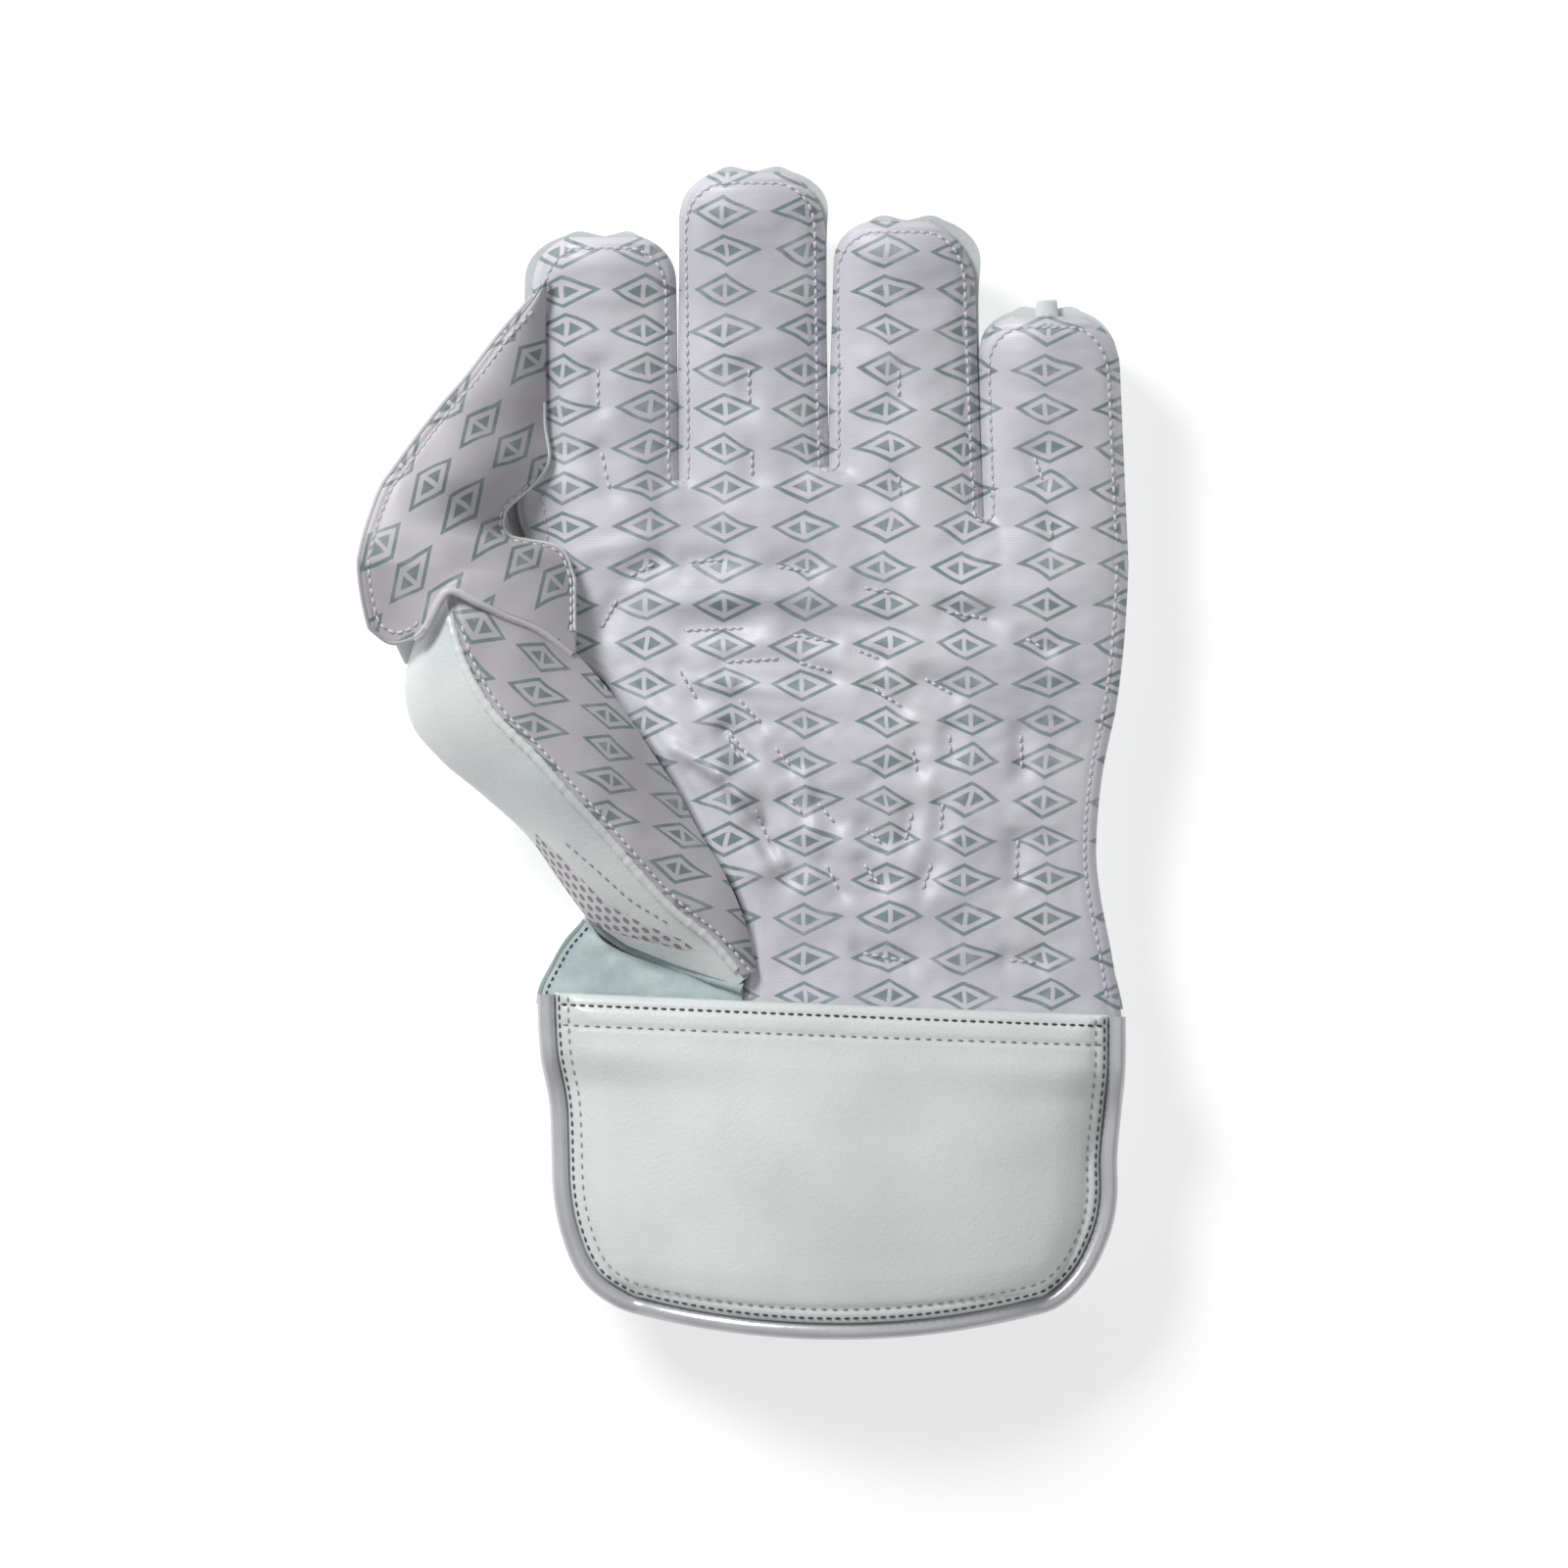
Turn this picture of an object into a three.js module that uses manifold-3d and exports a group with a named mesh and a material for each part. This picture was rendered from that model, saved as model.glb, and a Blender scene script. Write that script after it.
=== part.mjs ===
// A left-hand wicketkeeping glove, lying on its back with the palm up.
// Millimetres. +X points to the little finger, +Y to the fingertips, +Z out of the palm.
// Plan tables hold shares: "across" of the palm's width from the thumb side, "along" of
// the palm's length from the wrist, or of the piece's own named sizes.

import * as THREE from 'three';
import Module from 'manifold-3d';
import { mergeVertices } from 'three/addons/utils/BufferGeometryUtils.js';

// Driving dimensions
const PALM_WIDTH = 150;
const PALM_LENGTH = 139;
const INDEX_LENGTH = 61.5;
const MIDDLE_LENGTH = 74;
const RING_LENGTH = 66.5;
const LITTLE_LENGTH = 56;
const INDEX_WIDTH = 36;
const MIDDLE_WIDTH = 38;
const RING_WIDTH = 37;
const LITTLE_WIDTH = 35.5;
const TIP_ROUND = 12;
const TIP_FLAT = 0.5;
const PILLOW_END = 9.6;
const SEAM_HEIGHT = 24;
const CURL_RISE = 14;
const CURL_START = 122;
const CURL_LENGTH = 90;
const FACING_WALL = 3;
const BACK_WALL = 2.2;
const TIP_PAD = 2.6;
const TIP_ROLL = 0.91;
const SEAM_LAP = 1.8;
const INDEX_FLANGE = 2.5;
const FINGER_PILLOW = 6;
const PALM_ARCH = 7;
const FOLD_EDGE = 3.15;
const SLIT = 0.8;
const GAP = 0.3;
const WEB_CLEARANCE = 0.45;
const THUMB_LENGTH = 118;
const THUMB_WIDTH = 44;
const THUMB_HEIGHT = 62;
const THUMB_WALL = 2.4;
const THUMB_PILLOW = 3.5;
const MESH_LIFT = 1;
const WEB_WALL = 3;
const GUSSET_WALL = 2.5;
const GUSSET_END = 1.2;
const CUFF_LENGTH = 79.3;
const CUFF_PAD = 7;
const CUFF_EDGE = 2.6;
const CUFF_ARCH = 14;
const CUFF_LAP = 3.8;
const CUFF_SLANT = -2;
const CUFF_CLEARANCE = 0.6;
const CUFF_BACK_WALL = 3;
const CUFF_MOUTH_RIM = 4.8;
const PIPING_RADIUS = 2.2;
const PIPING_LAP = 0.6;
const TAB_WIDTH = 6.2;
const TAB_WALL = 2;
const TAB_REACH = 2.8;
const TAB_LIFT = 0.4;

// Section shape of the soft hulls: 2 is an ellipse, more is squarer
const STALL_POWER = 2.6;
const HAND_POWER = 6;
const HULL_SINK = 1.5;
const TIP_POWER = 2.4;

// How steeply the arches of the palm and of the cuff's mouth rise from their sides
const ARCH_POWER = 0.75;
const MOUTH_POWER = 0.7;

// Where and how much the soft parts change, in shares of the piece's length or width
const WIDEN_RATE = 8;
const ROW_SPACING = 0.9;
const CROTCH_FADE_ROWS = 4;
const KNUCKLE_ARCH = 0.6;
const KNUCKLE_BLEND = 0.3;
const FLOOR_CURL = 0.9;
const ROLL_START = 0.8;
const VALLEY_WIDTH = 0.2;
const VALLEY_DEPTH = 0.12;
const THUMB_PILLOW_SHARE = 0.12;
const THUMB_KEEP = 0.3;
const SEAM_STEP = 0.4;
const CUFF_SETTLE = 0.16;
const CUFF_SETTLE_SPAN = 0.14;
const CUFF_SPREAD = 0.5;
const CUFF_MOUTH_START = 0.72;
const CUFF_BACK_REACH = 0.9;
const PAD_SIDE_RATE = 6;
const PAD_END_RATE = 9;
const PAD_MARGIN = 0.02;
const TAB_TAPER = 0.15;

// Counts of rows and columns
const FINGER_COLUMNS = 6;
const FINGER_ROWS = 11;
const STALL_COLUMNS = 8;
const HAND_ROWS = 11;
const HAND_SIDE_COLUMNS = 3;
const WEB_COLUMNS = 8;
const CUFF_COLUMNS = 14;
const THUMB_FACING_COLUMNS = 5;
const THUMB_CAP_COLUMNS = 12;
const GUSSET_ROWS = 3;
const PIPING_STEPS = 64;
const PIPING_SIDES = 20;

// The line through the bottoms of the slits, from the thumb side to the little finger
const CROTCHES = [
  { across: -0.012, along: 0.944 },
  { across: 0.237, along: 0.973 },
  { across: 0.493, along: 0.998 },
  { across: 0.757, along: 0.905 },
  { across: 1.002, along: 0.818 },
];

const FINGERS = [
  { name: 'index', length: INDEX_LENGTH, width: INDEX_WIDTH, lean: 0, flange: INDEX_FLANGE, twist: 0 },
  { name: 'middle', length: MIDDLE_LENGTH, width: MIDDLE_WIDTH, lean: 0, flange: 0, twist: 1 },
  { name: 'ring', length: RING_LENGTH, width: RING_WIDTH, lean: 0, flange: 0, twist: 1.6 },
  { name: 'little', length: LITTLE_LENGTH, width: LITTLE_WIDTH, lean: -0.04, flange: 0, twist: 0 },
];

// The hand's outer sides below the fingers, and the cuff's, which goes on from them
const HAND_SIDES = [
  { along: 1, left: -0.026, right: 1 },
  { along: 0.818, left: -0.022, right: 1.002 },
  { along: 0.714, left: -0.016, right: 0.997 },
  { along: 0.6, left: -0.012, right: 0.987 },
  { along: 0.51, left: -0.008, right: 0.972 },
  { along: 0.414, left: 0.01, right: 0.955 },
  { along: 0.345, left: 0.03, right: 0.949 },
  { along: 0.284, left: 0.056, right: 0.947 },
  { along: 0.221, left: 0.076, right: 0.952 },
  { along: 0.165, left: 0.08, right: 0.96 },
  { along: 0.122, left: 0.047, right: 0.968 },
  { along: 0.081, left: 0.025, right: 0.978 },
  { along: 0.03, left: 0.002, right: 0.99 },
  { along: 0, left: 0, right: 0.996 },
  { along: -0.08, left: 0, right: 1 },
];

// The palm facing's two edges, row by row: the thumb's crease and the little finger's side
const PALM_ROWS = [
  { leftAcross: -0.002, leftAlong: 0.83, rightAlong: 0.766, rightAcross: 1.0 },
  { leftAcross: -0.003, leftAlong: 0.73, rightAlong: 0.712, rightAcross: 0.997 },
  { leftAcross: 0.062, leftAlong: 0.646, rightAlong: 0.658, rightAcross: 0.993 },
  { leftAcross: 0.115, leftAlong: 0.601, rightAlong: 0.602, rightAcross: 0.987 },
  { leftAcross: 0.157, leftAlong: 0.525, rightAlong: 0.55, rightAcross: 0.98 },
  { leftAcross: 0.2, leftAlong: 0.468, rightAlong: 0.505, rightAcross: 0.971 },
  { leftAcross: 0.237, leftAlong: 0.405, rightAlong: 0.437, rightAcross: 0.958 },
  { leftAcross: 0.273, leftAlong: 0.326, rightAlong: 0.35, rightAcross: 0.949 },
  { leftAcross: 0.312, leftAlong: 0.255, rightAlong: 0.275, rightAcross: 0.947 },
  { leftAcross: 0.346, leftAlong: 0.19, rightAlong: 0.2, rightAcross: 0.955 },
  { leftAcross: 0.35, leftAlong: 0.09, rightAlong: 0.1, rightAcross: 0.973 },
  { leftAcross: 0.35, leftAlong: -0.01, rightAlong: -0.035, rightAcross: 0.993 },
];

// Folds pressed into the palm facing: a ridge is above 0 and a groove below it
const PALM_FOLDS = [
  { fromAcross: 0.233, fromAlong: 0.478, toAcross: 0.3, toAlong: 0.44, rise: 2.2, width: 5 },
  { fromAcross: 0.3, fromAlong: 0.44, toAcross: 0.343, toAlong: 0.39, rise: 2.6, width: 5 },
  { fromAcross: 0.343, fromAlong: 0.39, toAcross: 0.385, toAlong: 0.27, rise: 3, width: 5 },
  { fromAcross: 0.37, fromAlong: 0.335, toAcross: 0.42, toAlong: 0.25, rise: -2.6, width: 4 },
  { fromAcross: 0.28, fromAlong: 0.79, toAcross: 0.72, toAlong: 0.76, rise: 1.6, width: 7 },
  { fromAcross: 0.5, fromAlong: 0.67, toAcross: 0.8, toAlong: 0.66, rise: 1.4, width: 7 },
  { fromAcross: 0.28, fromAlong: 0.72, toAcross: 0.78, toAlong: 0.7, rise: -1.4, width: 5 },
];

// The thumb's sections, from its base on the hand (along 0) to its tip (along 1). edge is
// the palm side of its facing, seam the outer side of the facing and bulge the outline, in
// shares of the thumb's width across its own axis. Heights are shares of its full height.
const THUMB_BASE = { across: 0.325, along: 0.099 };
const THUMB_HEADING = { across: -0.61019, along: 0.79225 };
const THUMB_COLUMNS = ['along', 'edge', 'seam', 'bulge', 'edgeUp', 'seamUp', 'bulgeUp', 'floor'];
const THUMB_SECTIONS = [
  [-0.06, 0.07, -0.02, -0.15, 0.57, 0.6, 0.52, 0.3],
  [0.05, 0.2, -0.03, -0.29, 0.59, 0.66, 0.52, 0.27],
  [0.15, 0.265, -0.095, -0.44, 0.6, 0.74, 0.54, 0.25],
  [0.25, 0.295, -0.122, -0.53, 0.6, 0.81, 0.56, 0.24],
  [0.36, 0.345, -0.137, -0.515, 0.6, 0.88, 0.6, 0.23],
  [0.47, 0.365, -0.16, -0.505, 0.62, 0.94, 0.63, 0.25],
  [0.6, 0.385, -0.183, -0.565, 0.65, 0.98, 0.66, 0.33],
  [0.72, 0.365, -0.222, -0.635, 0.71, 1, 0.68, 0.42],
  [0.83, 0.345, -0.19, -0.625, 0.76, 1, 0.69, 0.47],
  [0.91, 0.27, -0.12, -0.48, 0.8, 0.98, 0.71, 0.53],
  [0.965, 0.17, -0.05, -0.27, 0.83, 0.94, 0.74, 0.61],
  [1, 0.08, 0, -0.09, 0.84, 0.88, 0.79, 0.72],
].map((row) => Object.fromEntries(row.map((value, i) => [THUMB_COLUMNS[i], value])));

// The perforated panel's outline in plan
const MESH_OUTLINE = [
  { across: -0.003, along: 0.322 },
  { across: 0.055, along: 0.263 },
  { across: 0.115, along: 0.192 },
  { across: 0.188, along: 0.153 },
  { across: 0.242, along: 0.129 },
  { across: 0.268, along: 0.108 },
  { across: 0.25, along: 0.108 },
  { across: 0.167, along: 0.13 },
  { across: 0.113, along: 0.144 },
  { across: 0.083, along: 0.167 },
  { across: 0.035, along: 0.235 },
  { across: -0.003, along: 0.29 },
];

// The lip where the thumb's leather ends over the suede gusset
const LIP = [
  { across: 0.083, along: 0.167 },
  { across: 0.15, along: 0.117 },
  { across: 0.233, along: 0.081 },
  { across: 0.328, along: 0.047 },
  { across: 0.346, along: 0.04 },
];

// Corners of the region below the lip, outside the hand
const BELOW_LIP = [
  { across: 0.4, along: 0.03 },
  { across: 0.4, along: -0.3 },
  { across: -0.2, along: -0.3 },
  { across: -0.2, along: 0.23 },
  { across: 0.03, along: 0.2 },
];

// The web's rows from the index fingertip down to the thumb's crease. lift is the height
// of each end as a share of the thumb's height, and belly the row's rise between them.
const WEB_ROWS = [
  { free: [-0.003, 1.313], fixed: [0.012, 1.336], freeLift: 0.66, fixedLift: 0.66, belly: 0 },
  { free: [-0.062, 1.24], fixed: [0.009, 1.257], freeLift: 0.72, fixedLift: 0.6, belly: 0.01 },
  { free: [-0.117, 1.16], fixed: [0.009, 1.17], freeLift: 0.79, fixedLift: 0.57, belly: 0.02 },
  { free: [-0.163, 1.1], fixed: [0.009, 1.08], freeLift: 0.85, fixedLift: 0.555, belly: 0.03 },
  { free: [-0.21, 1.032], fixed: [0.016, 1.01], freeLift: 0.9, fixedLift: 0.55, belly: 0.04 },
  { free: [-0.242, 0.984], fixed: [-0.01, 0.964], freeLift: 0.93, fixedLift: 0.57, belly: 0.05 },
  { free: [-0.26, 0.955], fixed: [-0.057, 0.914], freeLift: 0.95, fixedLift: 0.62, belly: 0.05 },
  { free: [-0.277, 0.908], fixed: [-0.05, 0.869], freeLift: 0.96, fixedLift: 0.6, belly: 0.06 },
  { free: [-0.29, 0.863], fixed: [0.033, 0.847], freeLift: 0.97, fixedLift: 0.58, belly: 0.07 },
  { free: [-0.299, 0.82], fixed: [0.06, 0.79], freeLift: 0.97, fixedLift: 0.6, belly: 0.08 },
];
const WEB_HEM = [
  { across: -0.282, along: 0.698, lift: 0.88 },
  { across: -0.248, along: 0.672, lift: 0.86 },
  { across: -0.21, along: 0.678, lift: 0.92 },
  { across: -0.185, along: 0.7, lift: 0.98 },
  { across: -0.148, along: 0.768, lift: 1.02 },
  { across: -0.1, along: 0.75, lift: 0.99 },
  { across: -0.05, along: 0.725, lift: 0.92 },
  { across: 0.0, along: 0.703, lift: 0.85 },
  { across: 0.062, along: 0.654, lift: 0.74 },
];
const WEB_HEM_STEPS = 3;

// The leather round a thumb section, from its seam over the bulge and the floor to the
// palm's edge. across lies between two of the section's named places, and up likewise.
const THUMB_CAP_KNOTS = [
  { from: 'seam', to: 'bulge', share: 0, upFrom: 'seamUp', upTo: 'bulgeUp', upShare: 0 },
  { from: 'seam', to: 'bulge', share: 0.62, upFrom: 'seamUp', upTo: 'bulgeUp', upShare: 0.4 },
  { from: 'bulge', to: 'edge', share: 0, upFrom: 'bulgeUp', upTo: 'floor', upShare: 0 },
  { from: 'bulge', to: 'edge', share: 0.12, upFrom: 'bulgeUp', upTo: 'floor', upShare: 0.75 },
  { from: 'bulge', to: 'edge', share: 0.5, upFrom: 'floor', upTo: 'edgeUp', upShare: 0 },
  { from: 'bulge', to: 'edge', share: 0.9, upFrom: 'floor', upTo: 'edgeUp', upShare: 0.2 },
  { from: 'bulge', to: 'edge', share: 1, upFrom: 'floor', upTo: 'edgeUp', upShare: 1 },
];

// The cuff's palm panel: its sides by shares of the cuff's length from the wrist
const CUFF_SIDES = [
  { down: 0, left: 0.028, right: 0.968 },
  { down: 0.07, left: 0.029, right: 0.968 },
  { down: 0.19, left: 0.033, right: 0.967 },
  { down: 0.33, left: 0.047, right: 0.961 },
  { down: 0.5, left: 0.051, right: 0.954 },
  { down: 0.62, left: 0.053, right: 0.955 },
  { down: 0.72, left: 0.06, right: 0.948 },
  { down: 0.8, left: 0.071, right: 0.935 },
  { down: 0.88, left: 0.087, right: 0.917 },
  { down: 0.94, left: 0.108, right: 0.897 },
  { down: 1, left: 0.152, right: 0.867 },
];
const CUFF_BOW = 0.08;

const COLOURS = {
  facing: 0xc9c8ce,
  leather: 0xdde2e1,
  suede: 0xbecbcb,
  mesh: 0xcfc6d2,
  piping: 0xb9b6b4,
};

const wasm = await Module();
wasm.setup();

const lerp = THREE.MathUtils.lerp;
const clamp = THREE.MathUtils.clamp;
const smooth = (value) => THREE.MathUtils.smoothstep(value, 0, 1);

/** Value of a table's column at a key, by straight steps between its rows. */
function tableAt(rows, keyName, key, column) {
  const rising = rows[rows.length - 1][keyName] > rows[0][keyName];
  const ordered = rising ? rows : [...rows].reverse();
  if (key <= ordered[0][keyName]) {
    return ordered[0][column];
  }
  for (let i = 1; i < ordered.length; i += 1) {
    const low = ordered[i - 1];
    const high = ordered[i];
    if (key <= high[keyName]) {
      return lerp(low[column], high[column], (key - low[keyName]) / (high[keyName] - low[keyName]));
    }
  }
  return ordered[ordered.length - 1][column];
}

/** A plan point from shares of the palm's width and length. */
function plan(across, along) {
  return new THREE.Vector2(across * PALM_WIDTH, along * PALM_LENGTH);
}

/** Rise of the fingers above the flat hand. */
function curlAt(y) {
  const share = Math.max(0, y - CURL_START) / CURL_LENGTH;
  return CURL_RISE * share * share;
}

/** Height of the seam between the facing and the back. */
function seamAt(y) {
  return SEAM_HEIGHT + curlAt(y);
}

/** How far across the hand a point lies, from -1 at the thumb side to 1. */
function handShare(x, y) {
  const along = y / PALM_LENGTH;
  const left = tableAt(HAND_SIDES, 'along', along, 'left') * PALM_WIDTH;
  const right = tableAt(HAND_SIDES, 'along', along, 'right') * PALM_WIDTH;
  return clamp((2 * (x - left)) / (right - left) - 1, -1, 1);
}

/** Rise of the palm's arch over the seam. */
function archAt(x, y) {
  const share = handShare(x, y);
  return PALM_ARCH * (1 - share * share) ** ARCH_POWER;
}

/** Rise of the folds at a plan point. */
function foldsAt(x, y) {
  let rise = 0;
  for (const fold of PALM_FOLDS) {
    const start = plan(fold.fromAcross, fold.fromAlong);
    const end = plan(fold.toAcross, fold.toAlong);
    const run = end.clone().sub(start);
    const share = clamp(new THREE.Vector2(x, y).sub(start).dot(run) / run.lengthSq(), 0, 1);
    const away = new THREE.Vector2(x, y).distanceTo(start.addScaledVector(run, share));
    rise += fold.rise * Math.exp(-((away / fold.width) ** 2));
  }
  return rise;
}

/** A closed body from grids of paired points: each cell has an outer and an inner point. */
function sheetGeometry(patches) {
  const outer = [];
  const inner = [];
  const places = new Map();
  const faces = [];
  const placeOf = (cell) => {
    const key = [...cell.outer.toArray(), ...cell.inner.toArray()].map((v) => v.toFixed(3)).join();
    if (!places.has(key)) {
      places.set(key, outer.length);
      outer.push(cell.outer);
      inner.push(cell.inner);
    }
    return places.get(key);
  };
  const addFace = (a, b, c) => {
    if (a !== b && b !== c && c !== a) {
      faces.push([a, b, c]);
    }
  };
  for (const grid of patches) {
    for (let row = 1; row < grid.length; row += 1) {
      for (let column = 1; column < grid[row].length; column += 1) {
        const a = placeOf(grid[row - 1][column - 1]);
        const b = placeOf(grid[row - 1][column]);
        const c = placeOf(grid[row][column]);
        const d = placeOf(grid[row][column - 1]);
        if (outer[a].distanceTo(outer[c]) < outer[b].distanceTo(outer[d])) {
          addFace(a, b, c);
          addFace(a, c, d);
        } else {
          addFace(a, b, d);
          addFace(b, c, d);
        }
      }
    }
  }
  return closedGeometry(outer, inner, faces);
}

/** Joins two like skins into one closed body, with a wall round every open edge. */
function closedGeometry(outer, inner, faces) {
  const count = outer.length;
  const edges = new Map();
  for (const face of faces) {
    for (let i = 0; i < 3; i += 1) {
      const from = face[i];
      const to = face[(i + 1) % 3];
      if (!edges.delete(`${to},${from}`)) {
        edges.set(`${from},${to}`, [from, to]);
      }
    }
  }
  const index = [];
  for (const [a, b, c] of faces) {
    index.push(a, b, c, count + a, count + c, count + b);
  }
  for (const [from, to] of edges.values()) {
    index.push(to, from, count + from, to, count + from, count + to);
  }
  const geometry = new THREE.BufferGeometry();
  geometry.setFromPoints([...outer, ...inner]);
  geometry.setIndex(index);
  if (signedVolume(geometry) < 0) {
    for (let i = 0; i < index.length; i += 3) {
      [index[i], index[i + 1]] = [index[i + 1], index[i]];
    }
    geometry.setIndex(index);
  }
  return geometry;
}

/** Volume inside a closed geometry, below 0 when its faces point in. */
function signedVolume(geometry) {
  const place = geometry.getAttribute('position');
  const index = geometry.getIndex().array;
  const corner = [new THREE.Vector3(), new THREE.Vector3(), new THREE.Vector3()];
  let sum = 0;
  for (let i = 0; i < index.length; i += 3) {
    corner.forEach((point, k) => point.fromBufferAttribute(place, index[i + k]));
    sum += corner[0].dot(corner[1].clone().cross(corner[2])) / 6;
  }
  return sum;
}

/** A three.js geometry as a solid that can be cut. */
function toSolid(geometry) {
  const bare = geometry.clone();
  bare.deleteAttribute('normal');
  bare.deleteAttribute('uv');
  const merged = mergeVertices(bare, 1e-4);
  return new wasm.Manifold(
    new wasm.Mesh({
      numProp: 3,
      vertProperties: new Float32Array(merged.getAttribute('position').array),
      triVerts: new Uint32Array(merged.getIndex().array),
    }),
  );
}

/** A cut solid as a three.js geometry. */
function toGeometry(solid) {
  const mesh = solid.getMesh();
  const geometry = new THREE.BufferGeometry();
  geometry.setAttribute('position', new THREE.BufferAttribute(mesh.vertProperties, 3));
  geometry.setIndex(new THREE.BufferAttribute(mesh.triVerts, 1));
  return geometry;
}

/** The largest piece of a solid, without the crumbs that a cut leaves. */
function largestPiece(solid) {
  const pieces = solid.decompose();
  return pieces.reduce((best, piece) => (piece.volume() > best.volume() ? piece : best));
}

/** An upright prism over a plan outline. */
function prism(outline, low, high) {
  const shape = new THREE.Shape(outline);
  const geometry = new THREE.ExtrudeGeometry(shape, { depth: high - low, bevelEnabled: false });
  geometry.translate(0, 0, low);
  return toSolid(geometry);
}

/** An outline moved outwards by a distance. */
function grown(outline, distance) {
  const turn = THREE.ShapeUtils.isClockWise(outline) ? -1 : 1;
  return outline.map((point, i) => {
    const before = outline[(i + outline.length - 1) % outline.length];
    const after = outline[(i + 1) % outline.length];
    const first = point.clone().sub(before).normalize();
    const second = after.clone().sub(point).normalize();
    const normal = new THREE.Vector2(first.y + second.y, -first.x - second.x).normalize();
    const stretch = Math.max(0.5, normal.dot(new THREE.Vector2(first.y, -first.x)));
    return point.clone().addScaledVector(normal, (turn * distance) / stretch);
  });
}

/** Corners of one finger in plan, before its tip is rounded. */
function fingerCorners(number) {
  const finger = FINGERS[number];
  const left = plan(CROTCHES[number].across, CROTCHES[number].along);
  const right = plan(CROTCHES[number + 1].across, CROTCHES[number + 1].along);
  const base = left.clone().add(right).multiplyScalar(0.5);
  const tip = base.clone().add(new THREE.Vector2(finger.lean * finger.length, finger.length));
  return { left, right, tip, half: finger.width / 2 };
}

/**
 * A finger's plan point. u runs from -1 to 1 across it and v from 0 to 1 along it. grow
 * widens it, by side, reach moves its tip on and shift moves it to the thumb side.
 */
function fingerPoint(number, u, v, growLeft, growRight, reach, shift = 0) {
  const { left, right, tip, half } = fingerCorners(number);
  const length = FINGERS[number].length + reach;
  const start = left.clone().lerp(right, (u + 1) / 2);
  const end = new THREE.Vector2(tip.x - shift + u * half, tip.y + reach);
  const y = lerp(start.y, end.y, v);
  const x = lerp(start.x, end.x, v);
  const middle = lerp((left.x + right.x) / 2, tip.x - shift, v);
  const fromTip = clamp(((1 - v) * length) / TIP_ROUND, 0, 1);
  const round = tipShare(fromTip, TIP_FLAT);
  const side = u < 0 ? growLeft : growRight;
  const widen = side * Math.abs(u) * Math.min(1, v * WIDEN_RATE);
  return new THREE.Vector2(middle + (x - middle + Math.sign(u) * widen) * round, y);
}

/** Width left at a share of the tip's rounding from the tip: 1 where it starts. */
function tipShare(fromTip, least) {
  return Math.max(least, (1 - (1 - fromTip) ** TIP_POWER) ** (1 / TIP_POWER));
}

/** Rows along a finger, closer together at its rounded tip. */
function fingerRows() {
  const rows = [];
  for (let i = 0; i <= FINGER_ROWS; i += 1) {
    rows.push(Math.sin(((i / FINGER_ROWS) * Math.PI) / 2) ** ROW_SPACING);
  }
  return rows;
}

/** The pillow of a finger's facing. */
function pillowAt(u, v, length) {
  const fromTip = clamp(((1 - v) * length) / PILLOW_END, 0, 1);
  return FINGER_PILLOW * (1 - u * u) ** ARCH_POWER * Math.sqrt(fromTip * (2 - fromTip));
}

/** A facing cell from a plan point and its lift over the seam. */
function facingCell(point, lift, wall = FACING_WALL) {
  const low = seamAt(point.y) + GAP / 2 + lift;
  return {
    outer: new THREE.Vector3(point.x, point.y, low + wall),
    inner: new THREE.Vector3(point.x, point.y, low),
  };
}

/** Grids of the palm facing: four fingers and the palm, which share the crotch line. */
function palmFacingGrids(wall = FACING_WALL) {
  const grids = [];
  FINGERS.forEach((finger, number) => {
    const leftSide = number === 0 ? 0 : -SLIT / 2;
    const rightSide = number === FINGERS.length - 1 ? 0 : -SLIT / 2;
    const grid = fingerRows().map((v) => {
      const row = [];
      for (let column = 0; column <= FINGER_COLUMNS; column += 1) {
        const u = (2 * column) / FINGER_COLUMNS - 1;
        const keepLeft = leftSide - finger.twist * (u < 0 ? smooth(v) : 0);
        const point = fingerPoint(number, u, v, keepLeft, rightSide, 0, finger.twist);
        row.push(facingCell(point, pillowAt(u, v, finger.length), wall));
      }
      return row;
    });
    grids.push(grid);
  });
  grids.push(palmGrid(wall).reverse());
  return grids;
}

/** The palm's own grid, whose first row is the crotch line. */
function palmGrid(wall) {
  const top = [];
  FINGERS.forEach((finger, number) => {
    for (let column = number === 0 ? 0 : 1; column <= FINGER_COLUMNS; column += 1) {
      const u = (2 * column) / FINGER_COLUMNS - 1;
      top.push({ point: fingerPoint(number, u, 0, 0, 0, 0), lift: pillowAt(u, 0, finger.length) });
    }
  });
  const first = top[0].point;
  const last = top[top.length - 1].point;
  const grid = [top.map((cell) => facingCell(cell.point, cell.lift, wall))];
  PALM_ROWS.forEach((row, number) => {
    const left = plan(row.leftAcross, row.leftAlong);
    const right = plan(row.rightAcross, row.rightAlong);
    const fade = Math.max(0, 1 - (number + 1) / CROTCH_FADE_ROWS);
    grid.push(
      top.map((cell, column) => {
        const even = column / (top.length - 1);
        const share = lerp(even, (cell.point.x - first.x) / (last.x - first.x), fade);
        const drop = cell.point.y - lerp(first.y, last.y, even);
        const point = left.clone().lerp(right, share);
        point.y += drop * fade;
        const arch = archAt(point.x, point.y);
        const edge = Math.min(1, arch / FOLD_EDGE);
        const lift = lerp(arch, Math.max(cell.lift, arch * KNUCKLE_ARCH), fade * fade);
        return facingCell(point, Math.max(0, lift + edge * foldsAt(point.x, point.y)), wall);
      }),
    );
  });
  return grid;
}

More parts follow.
